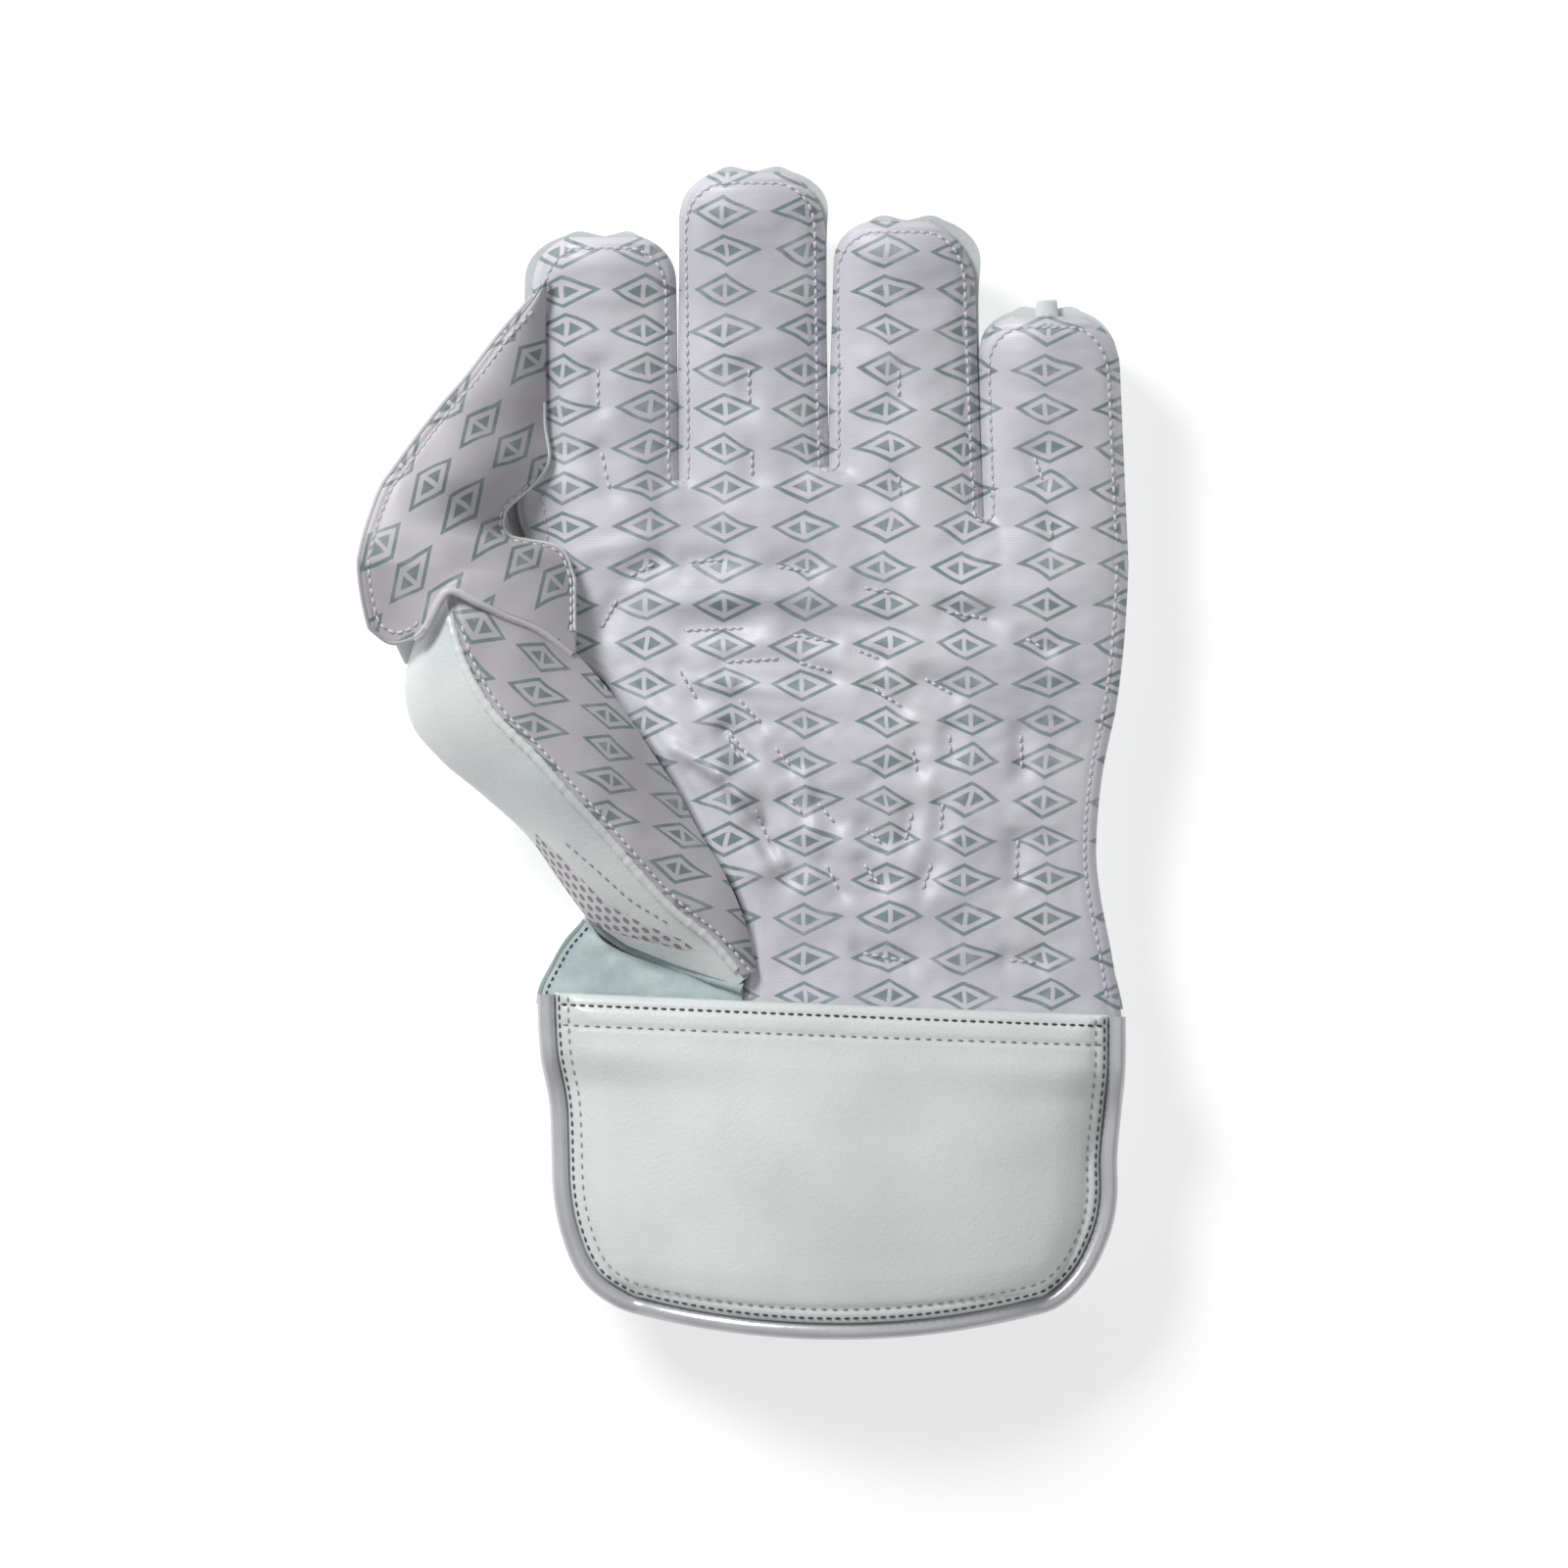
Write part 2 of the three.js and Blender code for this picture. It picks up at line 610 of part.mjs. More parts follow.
/** Half a superellipse: across from -1 to 1 and depth from 0 to 1. */
function hullPoint(share, power) {
  const angle = Math.PI * share;
  const across = -Math.sign(Math.cos(angle)) * Math.abs(Math.cos(angle)) ** (2 / power);
  return { across, depth: Math.sin(angle) ** (2 / power) };
}

/** A finger stall: an open hull under the facing, with two rolls at its tip. */
function stallGrid(number) {
  const finger = FINGERS[number];
  return fingerRows().map((v) => {
    const row = [];
    for (let column = 0; column <= STALL_COLUMNS; column += 1) {
      row.push(stallCell(number, finger, v, column / STALL_COLUMNS));
    }
    return row;
  });
}

/** One pair of points of a finger stall, with v along it and share round it. */
function stallCell(number, finger, v, share) {
  const { across, depth } = hullPoint(share, STALL_POWER);
  const lip = -SLIT / 2;
  const growLeft = number === 0 ? finger.flange : lip;
  const growRight = number === FINGERS.length - 1 ? 0 : lip;
  const outerPlan = fingerPoint(number, across, v, growLeft, growRight, TIP_PAD);
  const innerPlan = fingerPoint(number, across, v, lip - SEAM_LAP, lip - SEAM_LAP, -SEAM_LAP);
  const rolls = Math.sin(Math.PI * across) ** 2;
  const valley = 1 - VALLEY_DEPTH * Math.exp(-((across / VALLEY_WIDTH) ** 2));
  outerPlan.y += rolls * smooth((v - ROLL_START) / (1 - ROLL_START)) * TIP_ROLL;
  const fromTip = clamp(((1 - v) * finger.length) / TIP_ROUND, 0, 1);
  const dome = v < 1 ? tipShare(fromTip, 0) : 0;
  const rim = seamAt(outerPlan.y) - GAP / 2;
  const rimInner = seamAt(innerPlan.y) - GAP / 2;
  const floor = curlAt(outerPlan.y) * FLOOR_CURL;
  const full = rim - floor + HULL_SINK;
  const fullInner = rimInner - floor - BACK_WALL + HULL_SINK;
  const height = Math.max(floor, rim - full * depth * dome * valley);
  const heightInner = Math.max(floor + BACK_WALL, rimInner - fullInner * depth * dome * valley);
  return {
    outer: new THREE.Vector3(outerPlan.x, outerPlan.y, height),
    inner: new THREE.Vector3(innerPlan.x, innerPlan.y, heightInner),
  };
}

/** The back of the hand, whose first row follows the four stalls. */
function handBackGrid() {
  const rows = [];
  for (let i = 0; i <= HAND_ROWS; i += 1) {
    rows.push(handBackRow(i / HAND_ROWS));
  }
  return rows;
}

/** The hand's back in its three parts: the index side, the back itself and the little side. */
function handBackParts() {
  const grid = handBackGrid();
  const last = grid[0].length - 1;
  return {
    index_side: columnsOf(grid, 0, HAND_SIDE_COLUMNS),
    hand_back: columnsOf(grid, HAND_SIDE_COLUMNS, last - HAND_SIDE_COLUMNS),
    little_side: columnsOf(grid, last - HAND_SIDE_COLUMNS, last),
  };
}

/** Some columns of a grid, drawn in a little where they part from the others. */
function columnsOf(grid, from, to) {
  return grid.map((row) => {
    const part = row.slice(from, to + 1);
    if (from > 0) {
      part[0] = drawnIn(part[0], part[1]);
    }
    if (to < row.length - 1) {
      part[part.length - 1] = drawnIn(part[part.length - 1], part[part.length - 2]);
    }
    return part;
  });
}

/** A cell moved by half the gap towards the next. */
function drawnIn(cell, next) {
  const move = (from, to) => {
    const run = to.clone().sub(from);
    return from.clone().addScaledVector(run, Math.min(SEAM_STEP, GAP / 2 / run.length()));
  };
  return { outer: move(cell.outer, next.outer), inner: move(cell.inner, next.inner) };
}

/** One row of the back of the hand: v is 0 at the crotch line and 1 at the wrist. */
function handBackRow(v) {
  const first = plan(CROTCHES[0].across, 0).x;
  const last = plan(CROTCHES[CROTCHES.length - 1].across, 0).x;
  const columns = FINGERS.length * STALL_COLUMNS;
  const blend = smooth(v / KNUCKLE_BLEND);
  const row = [];
  for (let column = 0; column <= columns; column += 1) {
    const number = Math.min(FINGERS.length - 1, Math.floor(column / STALL_COLUMNS));
    const { across, depth } = hullPoint(column / STALL_COLUMNS - number, STALL_POWER);
    const start = fingerPoint(number, across, 0, 0, 0, 0);
    const spread = (start.x - first) / (last - first);
    const atSide = column === 0 || column === columns;
    const near = atSide ? 0 : Math.max(VALLEY_DEPTH, depth);
    const wide = (1 - Math.min(1, Math.abs(2 * spread - 1)) ** HAND_POWER) ** (1 / HAND_POWER);
    const share = lerp(near, atSide ? 0 : wide, blend);
    const y = lerp(start.y - GAP, GAP / 2, v);
    row.push({
      outer: handBackPoint(y, spread, share, 0),
      inner: handBackPoint(y, spread, share, BACK_WALL),
    });
  }
  return row;
}

/** A point of the hand's back, moved in by a wall: share is how deep it lies. */
function handBackPoint(y, spread, share, wall) {
  const sides = handSidesAt(y);
  const rim = seamAt(y) - GAP / 2;
  const x = lerp(sides.left + wall, sides.right - wall, spread);
  return new THREE.Vector3(x, y, Math.max(wall, rim - share * (rim - wall + HULL_SINK)));
}

/** The hand's two outer sides at a height along it. */
function handSidesAt(y) {
  const along = y / PALM_LENGTH;
  return {
    left: tableAt(HAND_SIDES, 'along', along, 'left') * PALM_WIDTH,
    right: tableAt(HAND_SIDES, 'along', along, 'right') * PALM_WIDTH,
  };
}

/** The thumb's axes in plan. */
function thumbFrame() {
  const base = plan(THUMB_BASE.across, THUMB_BASE.along);
  const heading = new THREE.Vector2(THUMB_HEADING.across, THUMB_HEADING.along).normalize();
  return { base, heading, side: new THREE.Vector2(heading.y, -heading.x) };
}

/** A point of a thumb section from its own across and height. */
function thumbPoint(section, across, height) {
  const { base, heading, side } = thumbFrame();
  const place = base.clone();
  place.addScaledVector(heading, section.along * THUMB_LENGTH);
  place.addScaledVector(side, across);
  return new THREE.Vector3(place.x, place.y, height);
}

/** Points round one thumb section: over the facing, then round the leather. */
function thumbLoops(shares) {
  const section = {};
  for (const name of THUMB_COLUMNS) {
    const high = name === 'floor' || name.endsWith('Up');
    section[name] = shares[name] * (high ? THUMB_HEIGHT : THUMB_WIDTH);
  }
  const { edge, seam, bulge, edgeUp, seamUp, floor } = section;
  const pillow = Math.min(THUMB_PILLOW, (edge - bulge) * THUMB_PILLOW_SHARE);
  const facing = [];
  for (let i = 0; i <= THUMB_FACING_COLUMNS; i += 1) {
    const share = i / THUMB_FACING_COLUMNS;
    const rise = pillow * 4 * share * (1 - share);
    facing.push([lerp(seam, edge, share), lerp(seamUp, edgeUp, share) + rise]);
  }
  const knots = THUMB_CAP_KNOTS.map((knot) => {
    const across = lerp(section[knot.from], section[knot.to], knot.share);
    const up = lerp(section[knot.upFrom], section[knot.upTo], knot.upShare);
    return new THREE.Vector3(across, up, 0);
  });
  const curve = new THREE.CatmullRomCurve3(knots, false, 'centripetal');
  const cap = curve.getSpacedPoints(THUMB_CAP_COLUMNS).map((point) => [point.x, point.y]);
  const centre = [(edge + bulge) / 2, (Math.max(seamUp, edgeUp) + floor) / 2];
  return { facing, cap, centre };
}

/** A thumb cell: a point of a section and the same point moved in by a wall. */
function thumbCell(section, centre, [across, height], wall) {
  const away = Math.hypot(across - centre[0], height - centre[1]);
  const keep = Math.max(THUMB_KEEP, 1 - wall / away);
  return {
    outer: thumbPoint(section, across, height),
    inner: thumbPoint(
      section,
      lerp(centre[0], across, keep),
      lerp(centre[1], height, keep),
    ),
  };
}

/** A thumb grid, shrunk a little at its two seams to leave the gap. */
function thumbGrid(kind, wall) {
  return THUMB_SECTIONS.map((section) => {
    const loops = thumbLoops(section);
    const line = loops[kind];
    for (const [end, next] of [[0, 1], [line.length - 1, line.length - 2]]) {
      const run = [line[next][0] - line[end][0], line[next][1] - line[end][1]];
      const share = Math.min(SEAM_STEP, GAP / 2 / Math.hypot(...run));
      line[end][0] += run[0] * share;
      line[end][1] += run[1] * share;
    }
    return line.map((point) => thumbCell(section, loops.centre, point, wall));
  });
}

/** Rows of the web's sheet, from the index fingertip to the thumb's crease. */
function webGrid(below, above) {
  const rows = WEB_ROWS.map((row) => {
    const free = plan(...row.free);
    const fixed = plan(...row.fixed);
    const cells = [];
    for (let column = 0; column <= WEB_COLUMNS; column += 1) {
      const share = column / WEB_COLUMNS;
      const point = free.clone().lerp(fixed, share);
      const slope = lerp(row.fixedLift, row.freeLift, 1 - share * share);
      const height = THUMB_HEIGHT * (slope + row.belly * Math.sin(Math.PI * share));
      cells.push(webCell(point, height, below, above));
    }
    return cells;
  });
  const last = rows[rows.length - 1];
  const hem = WEB_HEM.map((entry) =>
    webCell(plan(entry.across, entry.along), THUMB_HEIGHT * entry.lift, below, above),
  );
  for (let step = 1; step <= WEB_HEM_STEPS; step += 1) {
    const share = step / WEB_HEM_STEPS;
    rows.push(
      hem.map((cell, column) => ({
        outer: last[column].outer.clone().lerp(cell.outer, share),
        inner: last[column].inner.clone().lerp(cell.inner, share),
      })),
    );
  }
  return rows;
}

/** One pair of points of the web. */
function webCell(point, height, below, above) {
  return {
    outer: new THREE.Vector3(point.x, point.y, height + above),
    inner: new THREE.Vector3(point.x, point.y, height - WEB_WALL - below),
  };
}

/** The suede gusset between the thumb's lip and the cuff. */
function gussetGrid() {
  const columns = LIP.length * 2 - 2;
  const last = LIP[LIP.length - 1].across;
  const rows = [];
  for (let i = 0; i <= GUSSET_ROWS; i += 1) {
    const share = i / GUSSET_ROWS;
    const row = [];
    for (let column = 0; column <= columns; column += 1) {
      const low = LIP[Math.floor(column / 2)];
      const high = LIP[Math.ceil(column / 2)];
      const lip = plan((low.across + high.across) / 2, (low.along + high.along) / 2);
      lip.y -= GAP;
      const foot = plan((last * column) / columns, 0);
      foot.y = GUSSET_END;
      const point = lip.lerp(foot, share);
      const edge = lerp(LIP[0].across * PALM_WIDTH, 0, share);
      point.x += (handSidesAt(point.y).left - edge) * (1 - column / columns);
      row.push(facingCell(point, archAt(point.x, point.y), GUSSET_WALL));
    }
    rows.push(row);
  }
  return rows;
}

/** A plan point of the cuff. u runs from -1 to 1 across, v from 0 to 1 down it. */
function cuffPoint(u, v, out) {
  const left = tableAt(CUFF_SIDES, 'down', v, 'left') * PALM_WIDTH - out;
  const right = tableAt(CUFF_SIDES, 'down', v, 'right') * PALM_WIDTH + out;
  const down = CUFF_LENGTH * v * (1 - CUFF_BOW * v * u * u);
  const top = lerp(CUFF_LAP, CUFF_SLANT, (u + 1) / 2) * (1 - v);
  return new THREE.Vector2(lerp(left, right, (u + 1) / 2), top - down);
}

/** Height of the underside of the cuff's palm panel. */
function cuffUnder(u, v) {
  const side = 1 - u * u;
  const place = cuffPoint(u, v, 0);
  const lap = FACING_WALL + CUFF_CLEARANCE;
  const wrist = lap + archAt(place.x, 0);
  const mouth = CUFF_ARCH * side ** MOUTH_POWER;
  const rise = lerp(wrist, mouth, smooth((v - CUFF_SETTLE) / CUFF_SPREAD));
  const settled = Math.max(0, rise - lap * (1 - side));
  const share = smooth((v - CUFF_SETTLE) / CUFF_SETTLE_SPAN);
  return SEAM_HEIGHT + GAP / 2 + lerp(rise, settled, share);
}

/** The cuff's padded palm panel. */
function cuffPanelGrid() {
  return CUFF_SIDES.map(({ down }) => {
    const row = [];
    for (let column = 0; column <= CUFF_COLUMNS; column += 1) {
      const u = -Math.cos((Math.PI * column) / CUFF_COLUMNS);
      const point = cuffPoint(u, down, 0);
      const fromSide = (1 - Math.abs(u)) * PAD_SIDE_RATE;
      const fromTop = (down + PAD_MARGIN) * PAD_END_RATE;
      const fromMouth = (1 + PAD_MARGIN - down) * PAD_END_RATE;
      const inside = Math.min(1, fromSide, fromTop, fromMouth);
      const thick = lerp(CUFF_EDGE, CUFF_PAD, Math.sqrt(clamp(inside * (2 - inside), 0, 1)));
      const low = cuffUnder(u, down);
      row.push({
        outer: new THREE.Vector3(point.x, point.y, low + thick),
        inner: new THREE.Vector3(point.x, point.y, low),
      });
    }
    return row;
  });
}

/** The back of the cuff, an open hull that goes on from the back of the hand. */
function cuffBackGrid() {
  const out = 2 * PIPING_RADIUS - PIPING_LAP;
  return CUFF_SIDES.map(({ down }) => {
    const row = [];
    const lower = smooth((down - CUFF_MOUTH_START) / (1 - CUFF_MOUTH_START));
    const rim = lerp(SEAM_HEIGHT - GAP / 2, CUFF_MOUTH_RIM, lower);
    for (let column = 0; column <= CUFF_COLUMNS; column += 1) {
      const { across, depth } = hullPoint(column / CUFF_COLUMNS, HAND_POWER);
      const outer = cuffPoint(across, down, out);
      const inner = cuffPoint(across, down, out - CUFF_BACK_WALL);
      const y = Math.min(outer.y, -down * CUFF_LENGTH * CUFF_BACK_REACH) - GAP;
      const height = Math.max(0, rim - (rim + HULL_SINK) * depth);
      const full = rim - CUFF_BACK_WALL + HULL_SINK;
      row.push({
        outer: new THREE.Vector3(outer.x, y, height),
        inner: new THREE.Vector3(inner.x, y, Math.max(CUFF_BACK_WALL, rim - full * depth)),
      });
    }
    return row;
  });
}

/** The piping, a round cord along the panel's two sides and bottom. */
function pipingGeometry() {
  const grid = cuffPanelGrid();
  const edge = [];
  const middle = (cell) => {
    const place = cell.outer.clone().add(cell.inner).multiplyScalar(0.5);
    return place.setZ(cell.inner.z + PIPING_RADIUS + GAP / 2);
  };
  grid.forEach((row) => edge.push(middle(row[0])));
  grid[grid.length - 1].slice(1, -1).forEach((cell) => edge.push(middle(cell)));
  [...grid].reverse().forEach((row) => edge.push(middle(row[row.length - 1])));
  const route = edge.map((point, i) => {
    const before = edge[Math.max(0, i - 1)];
    const after = edge[Math.min(edge.length - 1, i + 1)];
    const run = after.clone().sub(before).normalize();
    const out = new THREE.Vector3(run.y, -run.x, 0).normalize();
    return point.clone().addScaledVector(out, PIPING_RADIUS + GAP);
  });
  const path = new THREE.CatmullRomCurve3(route, false, 'centripetal');
  const section = new THREE.Shape();
  section.absarc(0, 0, PIPING_RADIUS, 0, Math.PI * 2);
  return new THREE.ExtrudeGeometry(section, {
    extrudePath: path,
    steps: PIPING_STEPS,
    curveSegments: PIPING_SIDES / 4,
    bevelEnabled: false,
  });
}

/** The small tab that stands out over the little finger's tip. */
function tabGeometry() {
  const { tip } = fingerCorners(FINGERS.length - 1);
  const grid = [0, 0.5, 1].map((share) => {
    const y = tip.y + GAP + share * (TIP_PAD + TAB_REACH);
    return [-1, 0, 1].map((side) => {
      const x = tip.x + side * (TAB_WIDTH / 2) * (1 - TAB_TAPER * share);
      const low = seamAt(y) + GAP / 2 + TAB_LIFT;
      return {
        outer: new THREE.Vector3(x, y, low + TAB_WALL),
        inner: new THREE.Vector3(x, y, low),
      };
    });
  });
  return sheetGeometry([grid]);
}

/** Plan outline of the hand's back, grown by a distance. */
function handOutline(distance) {
  const grid = handBackGrid();
  const left = grid.map((row) => new THREE.Vector2(row[0].outer.x, row[0].outer.y));
  const right = grid.map((row) => {
    const { x, y } = row[row.length - 1].outer;
    return new THREE.Vector2(x, y);
  });
  return grown([...left, ...right.reverse()], distance);
}

/** Everything the palm facing takes up, down to the floor, with its clearance. */
function facingKeepOut() {
  const grids = palmFacingGrids().map((grid) =>
    grid.map((row) =>
      row.map((cell) => ({
        outer: cell.outer.clone().add(new THREE.Vector3(0, 0, GAP)),
        inner: new THREE.Vector3(cell.inner.x, cell.inner.y, -GAP),
      })),
    ),
  );
  const body = toSolid(sheetGeometry(grids));
  const aside = GAP * Math.SQRT1_2;
  return body.add(body.translate([-GAP, 0, 0])).add(body.translate([-aside, aside, 0]));
}

/** The region in plan below the thumb's lip. */
function belowLip() {
  return [...LIP, ...BELOW_LIP].map((point) => plan(point.across, point.along));
}

const facingRoom = facingKeepOut();
const handRoom = prism(handOutline(GAP), -GAP, SEAM_HEIGHT + GAP / 2);
const webRoom = toSolid(sheetGeometry([webGrid(WEB_CLEARANCE, THUMB_HEIGHT)]));
const lipRoom = prism(belowLip(), -GAP, THUMB_HEIGHT * 2);
const meshOutline = MESH_OUTLINE.map((point) => plan(point.across, point.along));
const meshLow = SEAM_HEIGHT + MESH_LIFT;

const thumbCapWhole = toSolid(sheetGeometry([thumbGrid('cap', THUMB_WALL)]))
  .subtract(handRoom)
  .subtract(facingRoom)
  .subtract(webRoom)
  .subtract(lipRoom);
const meshRoom = prism(grown(meshOutline, GAP), meshLow, THUMB_HEIGHT * 2);
const meshWhole = thumbCapWhole.intersect(prism(meshOutline, meshLow, THUMB_HEIGHT * 2));
const thumbCap = largestPiece(thumbCapWhole.subtract(meshRoom));
const thumbFacing = largestPiece(
  toSolid(sheetGeometry([thumbGrid('facing', FACING_WALL)]))
    .subtract(facingRoom)
    .subtract(webRoom)
    .subtract(lipRoom),
);
const web = largestPiece(toSolid(sheetGeometry([webGrid(0, 0)])).subtract(facingRoom));

const glove = new THREE.Group();

/** Adds one named piece to the glove. */
function addPiece(name, geometry, colour, roughness = 0.75, metalness = 0) {
  const material = new THREE.MeshStandardMaterial({ color: colour, roughness, metalness });
  const mesh = new THREE.Mesh(geometry, material);
  mesh.name = name;
  glove.add(mesh);
}

addPiece('palm_facing', sheetGeometry(palmFacingGrids()), COLOURS.facing, 0.85);
FINGERS.forEach((finger, number) => {
  addPiece(`${finger.name}_back`, sheetGeometry([stallGrid(number)]), COLOURS.leather, 0.5);
});
addPiece('little_tab', tabGeometry(), COLOURS.leather, 0.5);
Object.entries(handBackParts()).forEach(([name, grid]) => {
  addPiece(name, sheetGeometry([grid]), COLOURS.leather, 0.5);
});
addPiece('heel_gusset', sheetGeometry([gussetGrid()]), COLOURS.suede, 0.95);
addPiece('thumb_facing', toGeometry(thumbFacing), COLOURS.facing, 0.85);
addPiece('thumb_cap', toGeometry(thumbCap), COLOURS.leather, 0.5);
addPiece('thumb_mesh_panel', toGeometry(largestPiece(meshWhole)), COLOURS.mesh, 0.9);
addPiece('web_panel', toGeometry(web), COLOURS.facing, 0.85);
addPiece('cuff_palm_panel', sheetGeometry([cuffPanelGrid()]), COLOURS.leather, 0.5);
addPiece('cuff_back_panel', sheetGeometry([cuffBackGrid()]), COLOURS.leather, 0.5);
addPiece('cuff_piping', pipingGeometry(), COLOURS.piping, 0.35, 0.7);

const bounds = new THREE.Box3().setFromObject(glove);
const centre = bounds.getCenter(new THREE.Vector3());
glove.position.set(-centre.x, -centre.y, -bounds.min.z);

export default glove;
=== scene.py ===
"""A left-hand wicketkeeping glove, palm up: its looks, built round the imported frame.

The shapes below follow the same named sizes and tables of shares as the solids, in
millimetres, and are laid over the frame in metres. Plan tables hold shares: "across" of
the palm's width from the thumb side and "along" of its length from the wrist.
"""

import logging
import math
from collections.abc import Iterable
from dataclasses import dataclass
from enum import Enum, auto
from typing import Self

import bmesh
import bpy
import numpy as np
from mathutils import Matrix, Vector, noise
from mathutils.bvhtree import BVHTree


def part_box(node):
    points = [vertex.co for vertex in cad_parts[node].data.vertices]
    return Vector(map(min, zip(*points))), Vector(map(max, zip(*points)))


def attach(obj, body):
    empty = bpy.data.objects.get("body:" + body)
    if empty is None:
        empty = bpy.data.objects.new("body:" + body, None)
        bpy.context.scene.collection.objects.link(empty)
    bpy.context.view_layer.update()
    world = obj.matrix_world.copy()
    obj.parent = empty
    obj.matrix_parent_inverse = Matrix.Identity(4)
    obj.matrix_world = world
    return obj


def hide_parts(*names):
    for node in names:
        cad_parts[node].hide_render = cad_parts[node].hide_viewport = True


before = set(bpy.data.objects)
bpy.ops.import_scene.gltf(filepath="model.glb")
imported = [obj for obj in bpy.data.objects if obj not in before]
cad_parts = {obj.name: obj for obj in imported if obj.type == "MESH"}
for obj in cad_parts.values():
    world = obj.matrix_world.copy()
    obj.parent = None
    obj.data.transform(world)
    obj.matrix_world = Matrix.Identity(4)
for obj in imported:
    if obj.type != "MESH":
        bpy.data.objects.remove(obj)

LOG = logging.getLogger("glove")
MM = 0.001
BODY = "root"

Material = bpy.types.Material
Piece = bpy.types.Object
Socket = bpy.types.NodeSocket
Values = np.ndarray | float


# Named choices


class Slot(Enum):
    """Names of the material slots, given with each piece when it is dressed."""

    PALM_FACING = "palm_facing"
    LEATHER = "leather"
    BACK_LEATHER = "back_leather"
    THUMB_FACING = "thumb_facing"
    THUMB_LEATHER = "thumb_leather"
    MESH = "mesh"
    WEB_FACING = "web_facing"
    SUEDE = "suede"
    CUFF_LEATHER = "cuff_leather"
    CUFF_BACK_LEATHER = "cuff_back_leather"
    PIPING = "piping"


class Finish(Enum):
    """The finishes in the palette."""

    PALM_FACING = auto()
    THUMB_FACING = auto()
    WEB_FACING = auto()
    LEATHER = auto()
    CUFF_LEATHER = auto()
    LINING = auto()
    SUEDE = auto()
    BINDING = auto()
    MESH = auto()
    PIPING = auto()
    FACING_THREAD = auto()
    DARK_THREAD = auto()
    PALE_THREAD = auto()
    # Painted shade inside the needle holes
    NEEDLE_HOLE_SHADE = auto()
    ROOT = auto()
    EDGE = auto()
    HEM = auto()


class Tool(Enum):
    """The cutting tools, by what they keep room for."""

    FACING = auto()
    WEB = auto()
    HAND = auto()
    LIP = auto()
    MESH = auto()
    MESH_ROOM = auto()


class Cut(Enum):
    """What a cutting tool leaves of a piece."""

    AWAY = "DIFFERENCE"
    WITHIN = "INTERSECT"


class ThumbSkin(Enum):
    """The two skins that meet at the thumb's seam."""

    FACING = auto()
    CAP = auto()


# Sizes, in millimetres


@dataclass(frozen=True)
class Sizes:
    """The glove's driving dimensions, the same as those of its solids."""

    palm_width: float = 150.0
    palm_length: float = 139.0
    tip_round: float = 12.0
    tip_flat: float = 0.5
    seam_height: float = 24.0
    curl_rise: float = 14.0
    curl_start: float = 122.0
    curl_length: float = 90.0
    facing_wall: float = 3.0
    back_wall: float = 2.2
    tip_pad: float = 2.6
    seam_lap: float = 1.8
    finger_pillow: float = 6.0
    palm_arch: float = 7.0
    slit: float = 0.8
    gap: float = 0.3
    thumb_length: float = 118.0
    thumb_width: float = 44.0
    thumb_height: float = 62.0
    thumb_wall: float = 2.4
    thumb_pillow: float = 3.5
    web_wall: float = 3.0
    web_height: float = 62.0
    gusset_wall: float = 2.5
    cuff_length: float = 79.3
    cuff_pad: float = 7.0
    cuff_edge: float = 2.6
    cuff_arch: float = 14.0
    cuff_lap: float = 3.8
    cuff_slant: float = -2.0
    cuff_clearance: float = 0.6
    cuff_back_wall: float = 3.0
    cuff_bow: float = 0.08
    piping_radius: float = 2.2
    piping_lap: float = 0.6
    tab_width: float = 6.2
    tab_wall: float = 2.0
    tab_reach: float = 2.8
    stall_power: float = 2.6
    tip_power: float = 2.4
    crown_power: float = 0.75
    hand_power: float = 6.0
    hull_sink: float = 1.5


@dataclass(frozen=True)
class Finger:
    """One finger's own sizes."""

    name: str
    length: float
    width: float
    lean: float = 0.0
    flange: float = 0.0
    twist: float = 0.0


FINGERS = (
    Finger("index", 61.5, 36.0, flange=2.5),
    Finger("middle", 74.0, 38.0, twist=1.0),
    Finger("ring", 66.5, 37.0, twist=1.6),
    Finger("little", 56.0, 35.5, lean=-0.04),
)

# The line through the bottoms of the slits, as (across, along)
CROTCHES = ((-0.012, 0.944), (0.237, 0.973), (0.493, 0.998), (0.757, 0.905), (1.002, 0.818))

# The hand's outer sides, as (along, left, right)
HAND_SIDES = (
    (-0.08, 0.0, 1.0),
    (0.0, 0.0, 0.996),
    (0.03, 0.002, 0.99),
    (0.081, 0.025, 0.978),
    (0.122, 0.047, 0.968),
    (0.165, 0.08, 0.96),
    (0.221, 0.076, 0.952),
    (0.284, 0.056, 0.947),
    (0.345, 0.03, 0.949),
    (0.414, 0.01, 0.955),
    (0.51, -0.008, 0.972),
    (0.6, -0.012, 0.987),
    (0.714, -0.016, 0.997),
    (0.818, -0.022, 1.002),
    (1.0, -0.026, 1.0),
)

# The palm facing's two edges, as (left across, left along, right across, right along)
PALM_ROWS = (
    (-0.002, 0.83, 1.0, 0.766),
    (-0.003, 0.73, 0.997, 0.712),
    (0.062, 0.646, 0.993, 0.658),
    (0.115, 0.601, 0.987, 0.602),
    (0.157, 0.525, 0.98, 0.55),
    (0.2, 0.468, 0.971, 0.505),
    (0.237, 0.405, 0.958, 0.437),
    (0.273, 0.326, 0.949, 0.35),
    (0.312, 0.255, 0.947, 0.275),
    (0.346, 0.19, 0.955, 0.2),
    (0.35, 0.09, 0.973, 0.1),
    (0.35, -0.01, 0.993, -0.035),
)

